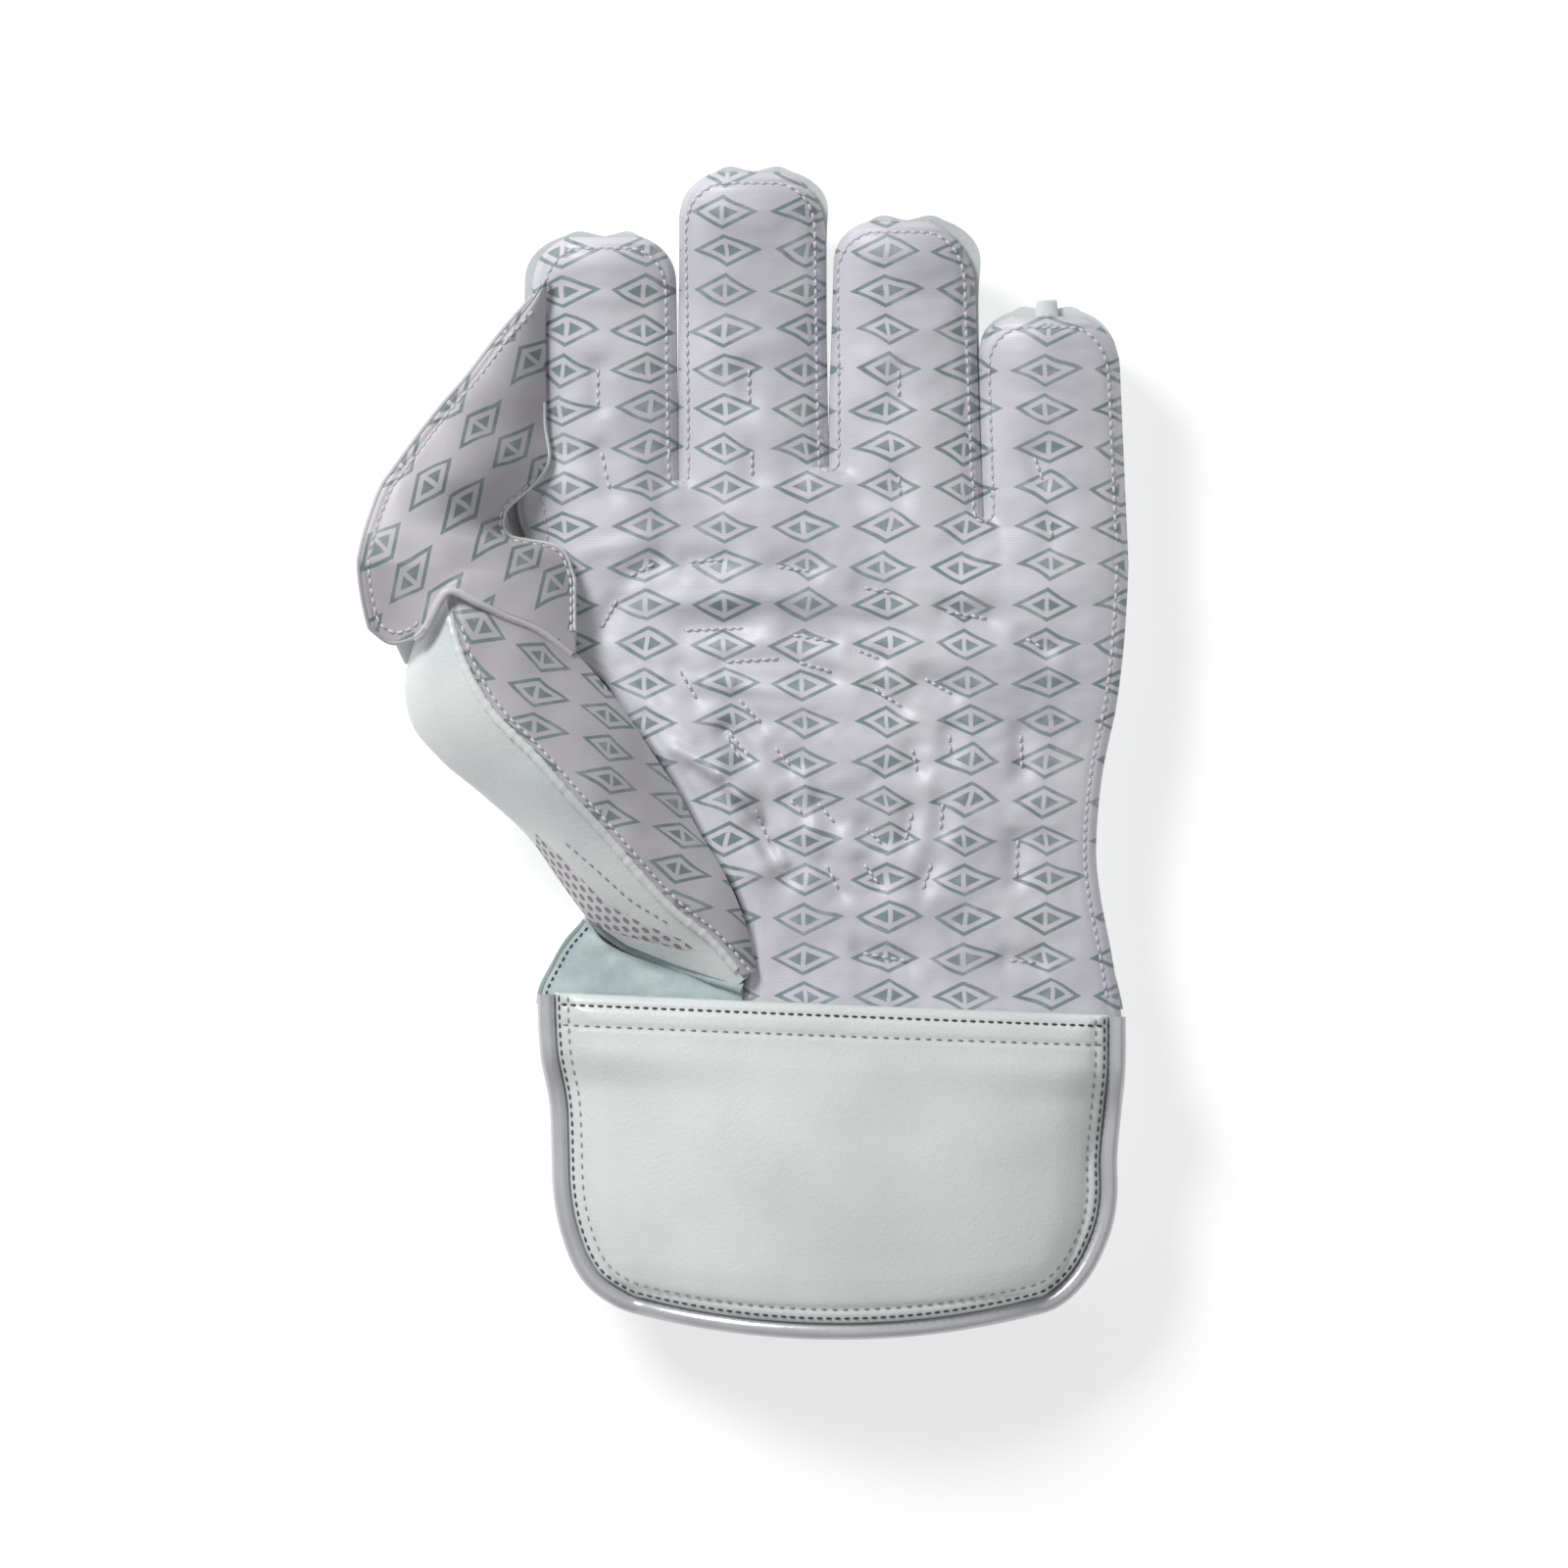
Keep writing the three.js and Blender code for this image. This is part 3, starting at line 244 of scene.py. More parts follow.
# Folds in the palm, as (from across, from along, to across, to along, rise, width)
PALM_FOLDS = (
    (0.233, 0.478, 0.3, 0.44, 2.2, 5.0),
    (0.3, 0.44, 0.343, 0.39, 2.6, 5.0),
    (0.343, 0.39, 0.385, 0.27, 3.0, 5.0),
    (0.37, 0.335, 0.42, 0.25, -2.6, 4.0),
    (0.28, 0.79, 0.72, 0.76, 1.6, 7.0),
    (0.5, 0.67, 0.8, 0.66, 1.4, 7.0),
    (0.28, 0.72, 0.78, 0.7, -1.4, 5.0),
)

# Sharp creases in the facing, as (from across, from along, to across, to along, rise, width)
CREASES = (
    (0.233, 0.478, 0.308, 0.432, 1.3, 1.7),
    (0.308, 0.432, 0.367, 0.36, 1.5, 1.7),
    (0.367, 0.36, 0.417, 0.27, 1.5, 1.7),
    (0.262, 0.44, 0.34, 0.372, -1.3, 2.0),
    (0.34, 0.372, 0.39, 0.29, -1.4, 2.0),
    (0.06, 0.83, 0.2, 0.87, 0.8, 2.2),
    (0.1, 0.64, 0.17, 0.56, 0.9, 2.0),
    (0.16, 0.66, 0.21, 0.57, -0.9, 2.0),
    (0.2, 0.56, 0.26, 0.5, 0.9, 2.0),
    (0.25, 0.6, 0.42, 0.585, 0.8, 2.2),
    (0.35, 0.61, 0.53, 0.6, -0.8, 2.2),
    (0.2, 0.745, 0.4, 0.76, 0.9, 2.6),
    (0.42, 0.75, 0.7, 0.715, 0.8, 2.6),
    (0.45, 0.43, 0.47, 0.33, 0.8, 2.2),
    (0.5, 0.5, 0.56, 0.44, 0.7, 2.4),
    (0.58, 0.4, 0.66, 0.42, 0.7, 2.4),
)

# The thumb's sections: along, edge, seam, bulge, edge up, seam up, bulge up, floor
THUMB_BASE = (0.325, 0.099)
THUMB_HEADING = (-0.61019, 0.79225)
THUMB_SECTIONS = (
    (-0.06, 0.07, -0.02, -0.15, 0.57, 0.6, 0.52, 0.3),
    (0.05, 0.2, -0.03, -0.29, 0.59, 0.66, 0.52, 0.27),
    (0.15, 0.265, -0.095, -0.44, 0.6, 0.74, 0.54, 0.25),
    (0.25, 0.295, -0.122, -0.53, 0.6, 0.81, 0.56, 0.24),
    (0.36, 0.345, -0.137, -0.515, 0.6, 0.88, 0.6, 0.23),
    (0.47, 0.365, -0.16, -0.505, 0.62, 0.94, 0.63, 0.25),
    (0.6, 0.385, -0.183, -0.565, 0.65, 0.98, 0.66, 0.33),
    (0.72, 0.365, -0.222, -0.635, 0.71, 1.0, 0.68, 0.42),
    (0.83, 0.345, -0.19, -0.625, 0.76, 1.0, 0.69, 0.47),
    (0.91, 0.27, -0.12, -0.48, 0.8, 0.98, 0.71, 0.53),
    (0.965, 0.17, -0.05, -0.27, 0.83, 0.94, 0.74, 0.61),
    (1.0, 0.08, 0.0, -0.09, 0.84, 0.88, 0.79, 0.72),
)

MESH_OUTLINE = (
    (-0.003, 0.322),
    (0.055, 0.263),
    (0.115, 0.192),
    (0.188, 0.153),
    (0.242, 0.129),
    (0.268, 0.108),
    (0.25, 0.108),
    (0.167, 0.13),
    (0.113, 0.144),
    (0.083, 0.167),
    (0.035, 0.235),
    (-0.003, 0.29),
)

LIP = ((0.083, 0.167), (0.15, 0.117), (0.233, 0.081), (0.328, 0.047), (0.346, 0.04))

BELOW_LIP = ((0.4, 0.03), (0.4, -0.3), (-0.2, -0.3), (-0.2, 0.23), (0.03, 0.2))

# The stitches on the leather strip above the perforated panel
MESH_STITCH = ((0.045, 0.308), (0.093, 0.263), (0.157, 0.2), (0.222, 0.157))

# The web's rows: free end, fixed end, their heights and the belly between them
WEB_ROWS = (
    (-0.003, 1.313, 0.012, 1.336, 0.66, 0.66, 0.0),
    (-0.062, 1.24, 0.009, 1.257, 0.72, 0.6, 0.01),
    (-0.117, 1.16, 0.009, 1.17, 0.79, 0.57, 0.02),
    (-0.163, 1.1, 0.009, 1.08, 0.85, 0.555, 0.03),
    (-0.21, 1.032, 0.016, 1.01, 0.9, 0.55, 0.04),
    (-0.242, 0.984, -0.01, 0.964, 0.93, 0.57, 0.05),
    (-0.26, 0.955, -0.057, 0.914, 0.95, 0.62, 0.05),
    (-0.277, 0.908, -0.05, 0.869, 0.96, 0.6, 0.06),
    (-0.29, 0.863, 0.033, 0.847, 0.97, 0.58, 0.07),
    (-0.299, 0.82, 0.06, 0.79, 0.97, 0.6, 0.08),
)
WEB_HEM = (
    (-0.282, 0.698, 0.88),
    (-0.248, 0.672, 0.86),
    (-0.21, 0.678, 0.92),
    (-0.185, 0.7, 0.98),
    (-0.148, 0.768, 1.02),
    (-0.1, 0.75, 0.99),
    (-0.05, 0.725, 0.92),
    (0.0, 0.703, 0.85),
    (0.062, 0.654, 0.74),
)

# The cuff panel's sides, as (down, left, right)
CUFF_SIDES = (
    (0.0, 0.028, 0.968),
    (0.07, 0.029, 0.968),
    (0.19, 0.033, 0.967),
    (0.33, 0.047, 0.961),
    (0.5, 0.051, 0.954),
    (0.62, 0.053, 0.955),
    (0.72, 0.06, 0.948),
    (0.8, 0.071, 0.935),
    (0.88, 0.087, 0.917),
    (0.94, 0.108, 0.897),
    (1.0, 0.152, 0.867),
)

# Tack stitches through the facing, as (from across, from along, to across, to along)
TACKS = (
    (0.1, 1.178, 0.1, 1.106),
    (0.105, 1.025, 0.12, 0.953),
    (0.357, 1.178, 0.357, 1.111),
    (0.362, 1.025, 0.362, 0.98),
    (0.612, 1.174, 0.612, 1.124),
    (0.612, 0.982, 0.615, 0.941),
    (0.843, 1.014, 0.857, 0.973),
    (0.87, 0.901, 0.873, 0.863),
    (0.153, 0.795, 0.198, 0.82),
    (0.253, 0.822, 0.315, 0.826),
    (0.405, 0.813, 0.46, 0.804),
    (0.55, 0.775, 0.602, 0.764),
    (0.693, 0.73, 0.762, 0.718),
    (0.827, 0.682, 0.858, 0.664),
    (0.105, 0.701, 0.132, 0.752),
    (0.247, 0.696, 0.347, 0.7),
    (0.43, 0.687, 0.498, 0.676),
    (0.317, 0.638, 0.408, 0.644),
    (0.442, 0.637, 0.498, 0.62),
    (0.54, 0.66, 0.578, 0.644),
    (0.655, 0.608, 0.703, 0.579),
    (0.237, 0.626, 0.268, 0.57),
    (0.57, 0.588, 0.617, 0.556),
    (0.34, 0.57, 0.377, 0.525),
    (0.323, 0.509, 0.357, 0.464),
    (0.4, 0.482, 0.428, 0.448),
    (0.317, 0.505, 0.343, 0.458),
    (0.367, 0.369, 0.392, 0.306),
    (0.425, 0.387, 0.45, 0.356),
    (0.698, 0.507, 0.7, 0.469),
    (0.635, 0.48, 0.643, 0.437),
    (0.82, 0.505, 0.822, 0.442),
    (0.473, 0.38, 0.503, 0.342),
    (0.555, 0.333, 0.583, 0.304),
    (0.635, 0.362, 0.623, 0.309),
    (0.687, 0.38, 0.683, 0.329),
    (0.815, 0.313, 0.812, 0.239),
    (0.552, 0.268, 0.578, 0.23),
    (0.51, 0.219, 0.487, 0.268),
    (0.668, 0.268, 0.652, 0.219),
    (0.55, 0.103, 0.628, 0.088),
    (0.798, 0.09, 0.847, 0.085),
)

SIZE = Sizes()


# Small mathematics


def smoothstep(value: np.ndarray | float) -> np.ndarray:
    """An S-shaped step from 0 to 1 over the same range."""
    share = np.clip(value, 0.0, 1.0)
    return share * share * (3.0 - 2.0 * share)


def lerp(low: Values, high: Values, share: Values) -> Values:
    """The point at a share of the way from low to high."""
    return low + (high - low) * share


def through(keys: np.ndarray, values: np.ndarray, at: Values) -> np.ndarray:
    """A smooth curve through a table's rows, level past its ends.

    Args:
        keys: The rising keys of the table.
        values: One value for each key.
        at: Where to read the curve.

    Returns:
        The curve's values, in the shape of at.
    """
    keys = np.asarray(keys, float)
    values = np.asarray(values, float)
    at = np.asarray(at, float)
    slopes = np.gradient(values, keys)
    index = np.clip(np.searchsorted(keys, at) - 1, 0, len(keys) - 2)
    span = keys[index + 1] - keys[index]
    t = np.clip((at - keys[index]) / span, 0.0, 1.0)
    low = (2 * t**3 - 3 * t**2 + 1) * values[index] + (t**3 - 2 * t**2 + t) * span * slopes[index]
    high = (3 * t**2 - 2 * t**3) * values[index + 1] + (t**3 - t**2) * span * slopes[index + 1]
    return low + high


def column(table: tuple, number: int) -> np.ndarray:
    """One column of a table of rows."""
    return np.array([row[number] for row in table], float)


def ease_in_columns(count: int) -> np.ndarray:
    """Positions from -1 to 1, close together at both ends."""
    return -np.cos(np.pi * np.arange(count + 1) / count)


def segment_distance(x: Values, y: Values, start: tuple, end: tuple) -> np.ndarray:
    """Distance in plan from points to a straight line between two others.

    Args:
        x: The points' x.
        y: Their y.
        start: The line's first end.
        end: Its second end.

    Returns:
        The distances.
    """
    (ax, ay), (bx, by) = start, end
    dx, dy = bx - ax, by - ay
    share = np.clip(((x - ax) * dx + (y - ay) * dy) / (dx * dx + dy * dy), 0.0, 1.0)
    return np.hypot(x - (ax + share * dx), y - (ay + share * dy))


def ridges(x: Values, y: Values, rows: Iterable[tuple]) -> np.ndarray:
    """Rise of soft ridges and grooves.

    Args:
        x: The plan points' x.
        y: Their y.
        rows: For each ridge its two ends as shares of the palm, its rise and its width.

    Returns:
        The rise in millimetres.
    """
    rise = np.zeros_like(np.asarray(x, float))
    for row in rows:
        away = segment_distance(x, y, plan(row[0], row[1]), plan(row[2], row[3]))
        rise += row[4] * swell(away, row[5])
    return rise


def swell(away: Values, width: float) -> Values:
    """1 where nothing is away, and fading over about the width."""
    return np.exp(-((away / width) ** 2))


def relaxed(rows: np.ndarray, times: int) -> np.ndarray:
    """Rows smoothed along their length, with both ends kept.

    Args:
        rows: The rows.
        times: How often they are smoothed.

    Returns:
        The smoothed rows.
    """
    rows = rows.copy()
    for _ in range(times):
        rows[1:-1] = (rows[:-2] + 2 * rows[1:-1] + rows[2:]) / 4
    return rows


def plan(across: Values, along: Values) -> tuple[np.ndarray, np.ndarray]:
    """Plan millimetres from shares of the palm."""
    return np.asarray(across) * SIZE.palm_width, np.asarray(along) * SIZE.palm_length


def ripple(x: np.ndarray, y: np.ndarray, scale: float, seed: float) -> np.ndarray:
    """Smooth seeded noise over the plan, about -1 to 1.

    Args:
        x: The plan points' x.
        y: The plan points' y.
        scale: The ripples' size, in millimetres.
        seed: Which noise is taken.

    Returns:
        The noise, in the shape of x.
    """
    flat = np.array(
        [noise.noise(Vector((a / scale, b / scale, seed))) for a, b in zip(x.ravel(), y.ravel())]
    )
    return flat.reshape(x.shape)


# The glove's form


def curl_at(y: Values) -> np.ndarray:
    """Rise of the fingers above the flat hand."""
    share = np.maximum(0.0, y - SIZE.curl_start) / SIZE.curl_length
    return SIZE.curl_rise * share * share


def seam_at(y: Values) -> np.ndarray:
    """Height of the seam between the facing and the back."""
    return SIZE.seam_height + curl_at(y)


def hand_sides(y: Values) -> tuple[np.ndarray, np.ndarray]:
    """The hand's left and right sides at a height along it.

    Args:
        y: The plan points' y.

    Returns:
        The x of the left and of the right side.
    """
    along = np.asarray(y) / SIZE.palm_length
    keys = column(HAND_SIDES, 0)
    left = through(keys, column(HAND_SIDES, 1), along) * SIZE.palm_width
    right = through(keys, column(HAND_SIDES, 2), along) * SIZE.palm_width
    return left, right


def arch_at(x: Values, y: Values) -> np.ndarray:
    """Rise of the palm's arch over the seam.

    Args:
        x: The plan points' x.
        y: The plan points' y.

    Returns:
        The rise in millimetres.
    """
    left, right = hand_sides(y)
    share = np.clip(2 * (x - left) / (right - left) - 1, -1, 1)
    return SIZE.palm_arch * (1 - share * share) ** SIZE.crown_power


def tip_share(from_tip: Values, least: float) -> np.ndarray:
    """Width left at a share of a tip's rounding: 1 where it starts and least at its end.

    Args:
        from_tip: Share of the rounding, from 0 at the tip.
        least: The width left at the tip.

    Returns:
        The share of the width.
    """
    power = SIZE.tip_power
    start = 1 - (1 - least**power) ** (1 / power)
    from_end = start + (1 - start) * from_tip
    return (1 - (1 - from_end) ** power) ** (1 / power)


def finger_point(
    number: int,
    u: Values,
    v: Values,
    grow_left: Values,
    grow_right: Values,
    reach: float,
    shift: float = 0.0,
) -> tuple[np.ndarray, np.ndarray]:
    """Plan points of a finger.

    Args:
        number: The finger, from 0 at the index.
        u: Across it, from -1 to 1.
        v: Along it, from 0 at the crotch line to 1 at the tip.
        grow_left: Millimetres that the thumb side moves out.
        grow_right: Millimetres that the other side moves out.
        reach: Millimetres that the tip moves on.
        shift: Millimetres that the tip moves to the thumb side.

    Returns:
        Arrays of x and y in plan.
    """
    finger = FINGERS[number]
    left = np.array(plan(*CROTCHES[number]))
    right = np.array(plan(*CROTCHES[number + 1]))
    base = (left + right) / 2
    tip = base + np.array([finger.lean * finger.length, finger.length])
    start_x = lerp(left[0], right[0], (u + 1) / 2)
    start_y = lerp(left[1], right[1], (u + 1) / 2)
    y = lerp(start_y, tip[1] + reach, v)
    x = lerp(start_x, tip[0] - shift + u * finger.width / 2, v)
    middle = lerp(base[0], tip[0] - shift, v)
    from_tip = np.clip((1 - v) * (finger.length + reach) / SIZE.tip_round, 0, 1)
    side = np.where(u < 0, grow_left, grow_right)
    widen = side * np.abs(u) * np.minimum(1, v * 8)
    return middle + (x - middle + np.sign(u) * widen) * tip_share(from_tip, SIZE.tip_flat), y


def pillow_at(u: Values, v: Values, length: float) -> np.ndarray:
    """Rise of a finger's facing over its seam."""
    from_tip = np.clip((1 - v) * length / (SIZE.tip_round * 0.8), 0, 1)
    return SIZE.finger_pillow * (1 - u * u) ** SIZE.crown_power * np.sqrt(from_tip * (2 - from_tip))


def hull_point(share: Values, power: float) -> tuple[np.ndarray, np.ndarray]:
    """Half a superellipse: across from -1 to 1 and depth from 0 to 1.

    Args:
        share: Share of the way across.
        power: The superellipse's power.

    Returns:
        Across and depth.
    """
    angle = np.pi * share
    across = -np.sign(np.cos(angle)) * np.abs(np.cos(angle)) ** (2 / power)
    return across, np.abs(np.sin(angle)) ** (2 / power)


# Meshes


@dataclass
class Grid:
    """Paired points of a sheet: outer and inner skins, and a flat coordinate in mm."""

    outer: np.ndarray
    inner: np.ndarray
    flat: np.ndarray

    @classmethod
    def upright(cls, x: np.ndarray, y: np.ndarray, top: np.ndarray, low: np.ndarray) -> Self:
        """A grid whose two skins lie straight over each other."""
        return cls(np.stack([x, y, top], 2), np.stack([x, y, low], 2), np.stack([x, y], 2))


def origin() -> np.ndarray:
    """Where the plan's zero lies in the row frame, in millimetres.

    Returns:
        The place of the plan's zero.
    """
    _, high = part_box("palm_facing")
    right = CROTCHES[-1][0] * SIZE.palm_width
    middle = FINGERS[1]
    top = (CROTCHES[1][1] + CROTCHES[2][1]) / 2 * SIZE.palm_length + middle.length
    return np.array([high[0] / MM - right, high[1] / MM - top, 0.0])


ORIGIN = origin()
RIM_STEPS = 5

# The turn from which an edge is drawn crisp, in degrees
SHARP = 50.0
HULL_SHARP = 60.0


def to_frame(points: np.ndarray) -> np.ndarray:
    """Plan millimetres as metres in the row frame."""
    return (np.asarray(points, float) + ORIGIN) * MM


def finish_mesh(name: str, mesh: bpy.types.Mesh, crease: float = SHARP) -> Piece:
    """Links a mesh as a smooth-shaded object with crisp edges only at sharp turns.

    Args:
        name: The object's name.
        mesh: The mesh.
        crease: The turn from which an edge is crisp, in degrees.

    Returns:
        The linked object.
    """
    mesh.shade_smooth()
    mesh.set_sharp_from_angle(angle=math.radians(crease))
    piece = bpy.data.objects.new(name, mesh)
    bpy.context.scene.collection.objects.link(piece)
    return piece


def unit(rows: np.ndarray) -> np.ndarray:
    """Rows scaled to length 1, with null rows left null."""
    size = np.linalg.norm(rows, axis=-1, keepdims=True)
    return rows / np.maximum(size, 1e-9)


def rim_bulge(outer: np.ndarray, inner: np.ndarray, edges: list, centres: dict) -> np.ndarray:
    """Directions out of a sheet's rim, one for each of its points.

    Args:
        outer: The outer skin's points.
        inner: The inner skin's points.
        edges: The rim's edges, as pairs of point numbers.
        centres: For each edge, the middle of its face.

    Returns:
        A direction for each point.
    """
    out = np.zeros_like(outer)
    for a, b in edges:
        along = unit(outer[b] - outer[a])
        through_wall = unit((inner[a] - outer[a]) + (inner[b] - outer[b]))
        away = (outer[a] + outer[b] + inner[a] + inner[b]) / 4 - centres[(a, b)]
        away = away - along * (away @ along)
        away = unit(away - through_wall * (away @ through_wall))
        out[a] += away
        out[b] += away
    return unit(out)


def sheet_piece(
    name: str,
    grids: list[Grid],
    materials: list[Material],
    rim_round: float = 0.0,
    crease: float = SHARP,
) -> Piece:
    """A closed sheet from grids that may share their edge points.

    Args:
        name: The piece's name.
        grids: The grids, all turned the same way.
        materials: The outer skin's material and, where there is a second, the inner one's.
        rim_round: Millimetres that the rim bulges out, as a rolled edge.
        crease: The angle from which an edge is sharp, in degrees.

    Returns:
        The linked object, with its flat coordinates in the layer "flat".
    """
    places: dict[tuple, int] = {}
    outer: list = []
    inner: list = []
    flat: list = []
    faces: list = []
    for grid in grids:
        rows, columns = grid.outer.shape[:2]
        key = np.round(np.concatenate([grid.outer, grid.inner], axis=2), 3)
        index = np.zeros((rows, columns), int)
        for r in range(rows):
            for c in range(columns):
                spot = tuple(key[r, c])
                if spot not in places:
                    places[spot] = len(outer)
                    outer.append(grid.outer[r, c])
                    inner.append(grid.inner[r, c])
                    flat.append(grid.flat[r, c])
                index[r, c] = places[spot]
        for r in range(1, rows):
            for c in range(1, columns):
                loop = [index[r - 1, c - 1], index[r - 1, c], index[r, c], index[r, c - 1]]
                loop = [int(i) for i in dict.fromkeys(loop)]
                if len(loop) > 2:
                    faces.append(loop)
    outer, inner = np.array(outer), np.array(inner)
    count = len(outer)
    open_edges: dict[tuple, np.ndarray] = {}
    for face in faces:
        centre = (outer[face].mean(axis=0) + inner[face].mean(axis=0)) / 2
        for a, b in zip(face, face[1:] + face[:1]):
            if (b, a) in open_edges:
                del open_edges[(b, a)]
            else:
                open_edges[(a, b)] = centre
    edges = list(open_edges)
    steps = RIM_STEPS if rim_round else 1
    points = [outer, inner]
    rim: dict[int, list[int]] = {}
    if rim_round:
        out = rim_bulge(outer, inner, edges, open_edges)
        ring = sorted({i for edge in edges for i in edge})
        share = np.arange(1, steps) / steps
        for number, i in enumerate(ring):
            rim[i] = [2 * count + number * (steps - 1) + k for k in range(steps - 1)]
        turn = np.sin(np.pi * share) ** 0.6
        points.append(
            np.concatenate(
                [lerp(outer[i], inner[i], share[:, None]) + out[i] * turn[:, None] * rim_round for i in ring]
            )
        )
    every = list(faces)
    every += [[count + i for i in reversed(face)] for face in faces]
    skins = len(every)
    for a, b in edges:
        side_a = [a, *rim.get(a, []), count + a]
        side_b = [b, *rim.get(b, []), count + b]
        for k in range(steps):
            every.append([side_b[k], side_a[k], side_a[k + 1], side_b[k + 1]])
    mesh = bpy.data.meshes.new(name)
    mesh.from_pydata(to_frame(np.vstack(points)).tolist(), [], every)
    layer = mesh.uv_layers.new(name="flat")
    flat = np.array(flat)
    whole = [flat, flat]
    if rim_round:
        whole.append(np.repeat(flat[ring], steps - 1, axis=0))
    loops = np.zeros(len(mesh.loops), int)
    mesh.loops.foreach_get("vertex_index", loops)
    layer.data.foreach_set("uv", np.vstack(whole)[loops].ravel())
    for material in materials:
        mesh.materials.append(material)
    side = np.zeros(len(every), int)
    if len(materials) > 1:
        side[len(faces) : skins] = 1
    mesh.polygons.foreach_set("material_index", side)
    fix_normals(mesh)
    return finish_mesh(name, mesh, crease)


def swept(
    name: str,
    route: np.ndarray,
    wide: np.ndarray | float,
    high: np.ndarray | float,
    material: Material,
    sides: int = 14,
) -> Piece:
    """A cord of elliptical section along a route.

    Args:
        name: The piece's name.
        route: Points in plan millimetres with heights.
        wide: Half the cord's width, level and across the route.
        high: Half its height.
        material: The cord's material.
        sides: Points round the section.

    Returns:
        The linked object.
    """
    count = len(route)
    wide = np.broadcast_to(wide, count)
    high = np.broadcast_to(high, count)
    along = unit(np.gradient(route, axis=0))
    across = unit(np.cross(along, [0.0, 0.0, 1.0]))
    up = np.cross(across, along)
    angle = 2 * np.pi * np.arange(sides) / sides
    ring = across[:, None] * (wide[:, None] * np.cos(angle))[:, :, None]
    ring = ring + up[:, None] * (high[:, None] * np.sin(angle))[:, :, None]
    points = (route[:, None] + ring).reshape(-1, 3)
    faces = []
    for r in range(count - 1):
        for k in range(sides):
            a, b = r * sides + k, r * sides + (k + 1) % sides
            faces.append([a, b, b + sides, a + sides])
    faces.append(list(range(sides)))
    faces.append(list(reversed(range((count - 1) * sides, count * sides))))
    mesh = bpy.data.meshes.new(name)
    mesh.from_pydata(to_frame(points).tolist(), [], faces)
    mesh.materials.append(material)
    fix_normals(mesh)
    return finish_mesh(name, mesh)


def fix_normals(mesh: bpy.types.Mesh) -> None:
    """Turns a closed mesh's faces outwards.

    Args:
        mesh: The mesh.
    """
    work = bmesh.new()
    work.from_mesh(mesh)
    if work.calc_volume(signed=True) < 0:
        bmesh.ops.reverse_faces(work, faces=work.faces)
    work.to_mesh(mesh)
    work.free()


def cut(piece: Piece, tool: Piece, leaves: Cut = Cut.AWAY) -> None:
    """Cuts a closed piece by a closed tool, or keeps what lies in both.

    Args:
        piece: The piece.
        tool: The tool.
        leaves: What stays of the piece.
    """
    change = piece.modifiers.new("cut", "BOOLEAN")
    change.operation = leaves.value
    change.solver = "MANIFOLD"
    change.object = tool
    depsgraph = bpy.context.evaluated_depsgraph_get()
    result = bpy.data.meshes.new_from_object(piece.evaluated_get(depsgraph))
    piece.modifiers.remove(change)
    old = piece.data
    piece.data = result
    bpy.data.meshes.remove(old)


def largest_part(piece: Piece) -> None:
    """Drops the crumbs that a cut leaves, by the number of their faces.

    Args:
        piece: The piece.
    """
    work = bmesh.new()
    work.from_mesh(piece.data)
    left = set(work.faces)
    parts = []
    while left:
        stack = [left.pop()]
        part = set(stack)
        while stack:
            face = stack.pop()
            for edge in face.edges:
                for other in edge.link_faces:
                    if other in left:
                        left.discard(other)
                        part.add(other)
                        stack.append(other)
        parts.append(part)
    parts.sort(key=len)
    for part in parts[:-1]:
        bmesh.ops.delete(work, geom=list(part), context="FACES")
    loose = [vert for vert in work.verts if not vert.link_faces]
    bmesh.ops.delete(work, geom=loose, context="VERTS")
    work.to_mesh(piece.data)
    work.free()


def trimmed(piece: Piece) -> None:
    """Leaves a cut piece without crumbs, and shades it smooth again.

    Args:
        piece: The piece.
    """
    largest_part(piece)
    piece.data.shade_smooth()
    piece.data.set_sharp_from_angle(angle=math.radians(SHARP))


def prism(name: str, outline: np.ndarray, low: float, high: float) -> Piece:
    """An upright prism over a plan outline, used only as a cutting tool.

    Args:
        name: The object's name.
        outline: The outline's plan points.
        low: The foot, in millimetres.
        high: The top, in millimetres.

    Returns:
        The linked tool.
    """
    count = len(outline)
    bottom = np.column_stack([outline, np.full(count, low)])
    top = np.column_stack([outline, np.full(count, high)])
    faces = [list(reversed(range(count))), list(range(count, 2 * count))]
    faces += [[i, (i + 1) % count, count + (i + 1) % count, count + i] for i in range(count)]
    mesh = bpy.data.meshes.new(name)
    mesh.from_pydata(to_frame(np.vstack([bottom, top])).tolist(), [], faces)
    fix_normals(mesh)
    tool = bpy.data.objects.new(name, mesh)
    bpy.context.scene.collection.objects.link(tool)
    return tool


def discard(*tools: Piece) -> None:
    """Removes cutting tools.

    Args:
        tools: The tools.
    """
    for tool in tools:
        mesh = tool.data
        bpy.data.objects.remove(tool)
        bpy.data.meshes.remove(mesh)


def dress(piece: Piece, slot: Slot, *nodes: str) -> None:
    """Puts a piece on the body and hides the solids' nodes that it stands for.

    Args:
        piece: The piece.
        slot: The slot; not used.
        nodes: The solids' nodes that it stands for.
    """
    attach(piece, BODY)
    if nodes:
        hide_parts(*nodes)
    LOG.info("%s: %d faces", piece.name, len(piece.data.polygons))


# A height over every piece, in millimetres
ABOVE_ALL = 150.0


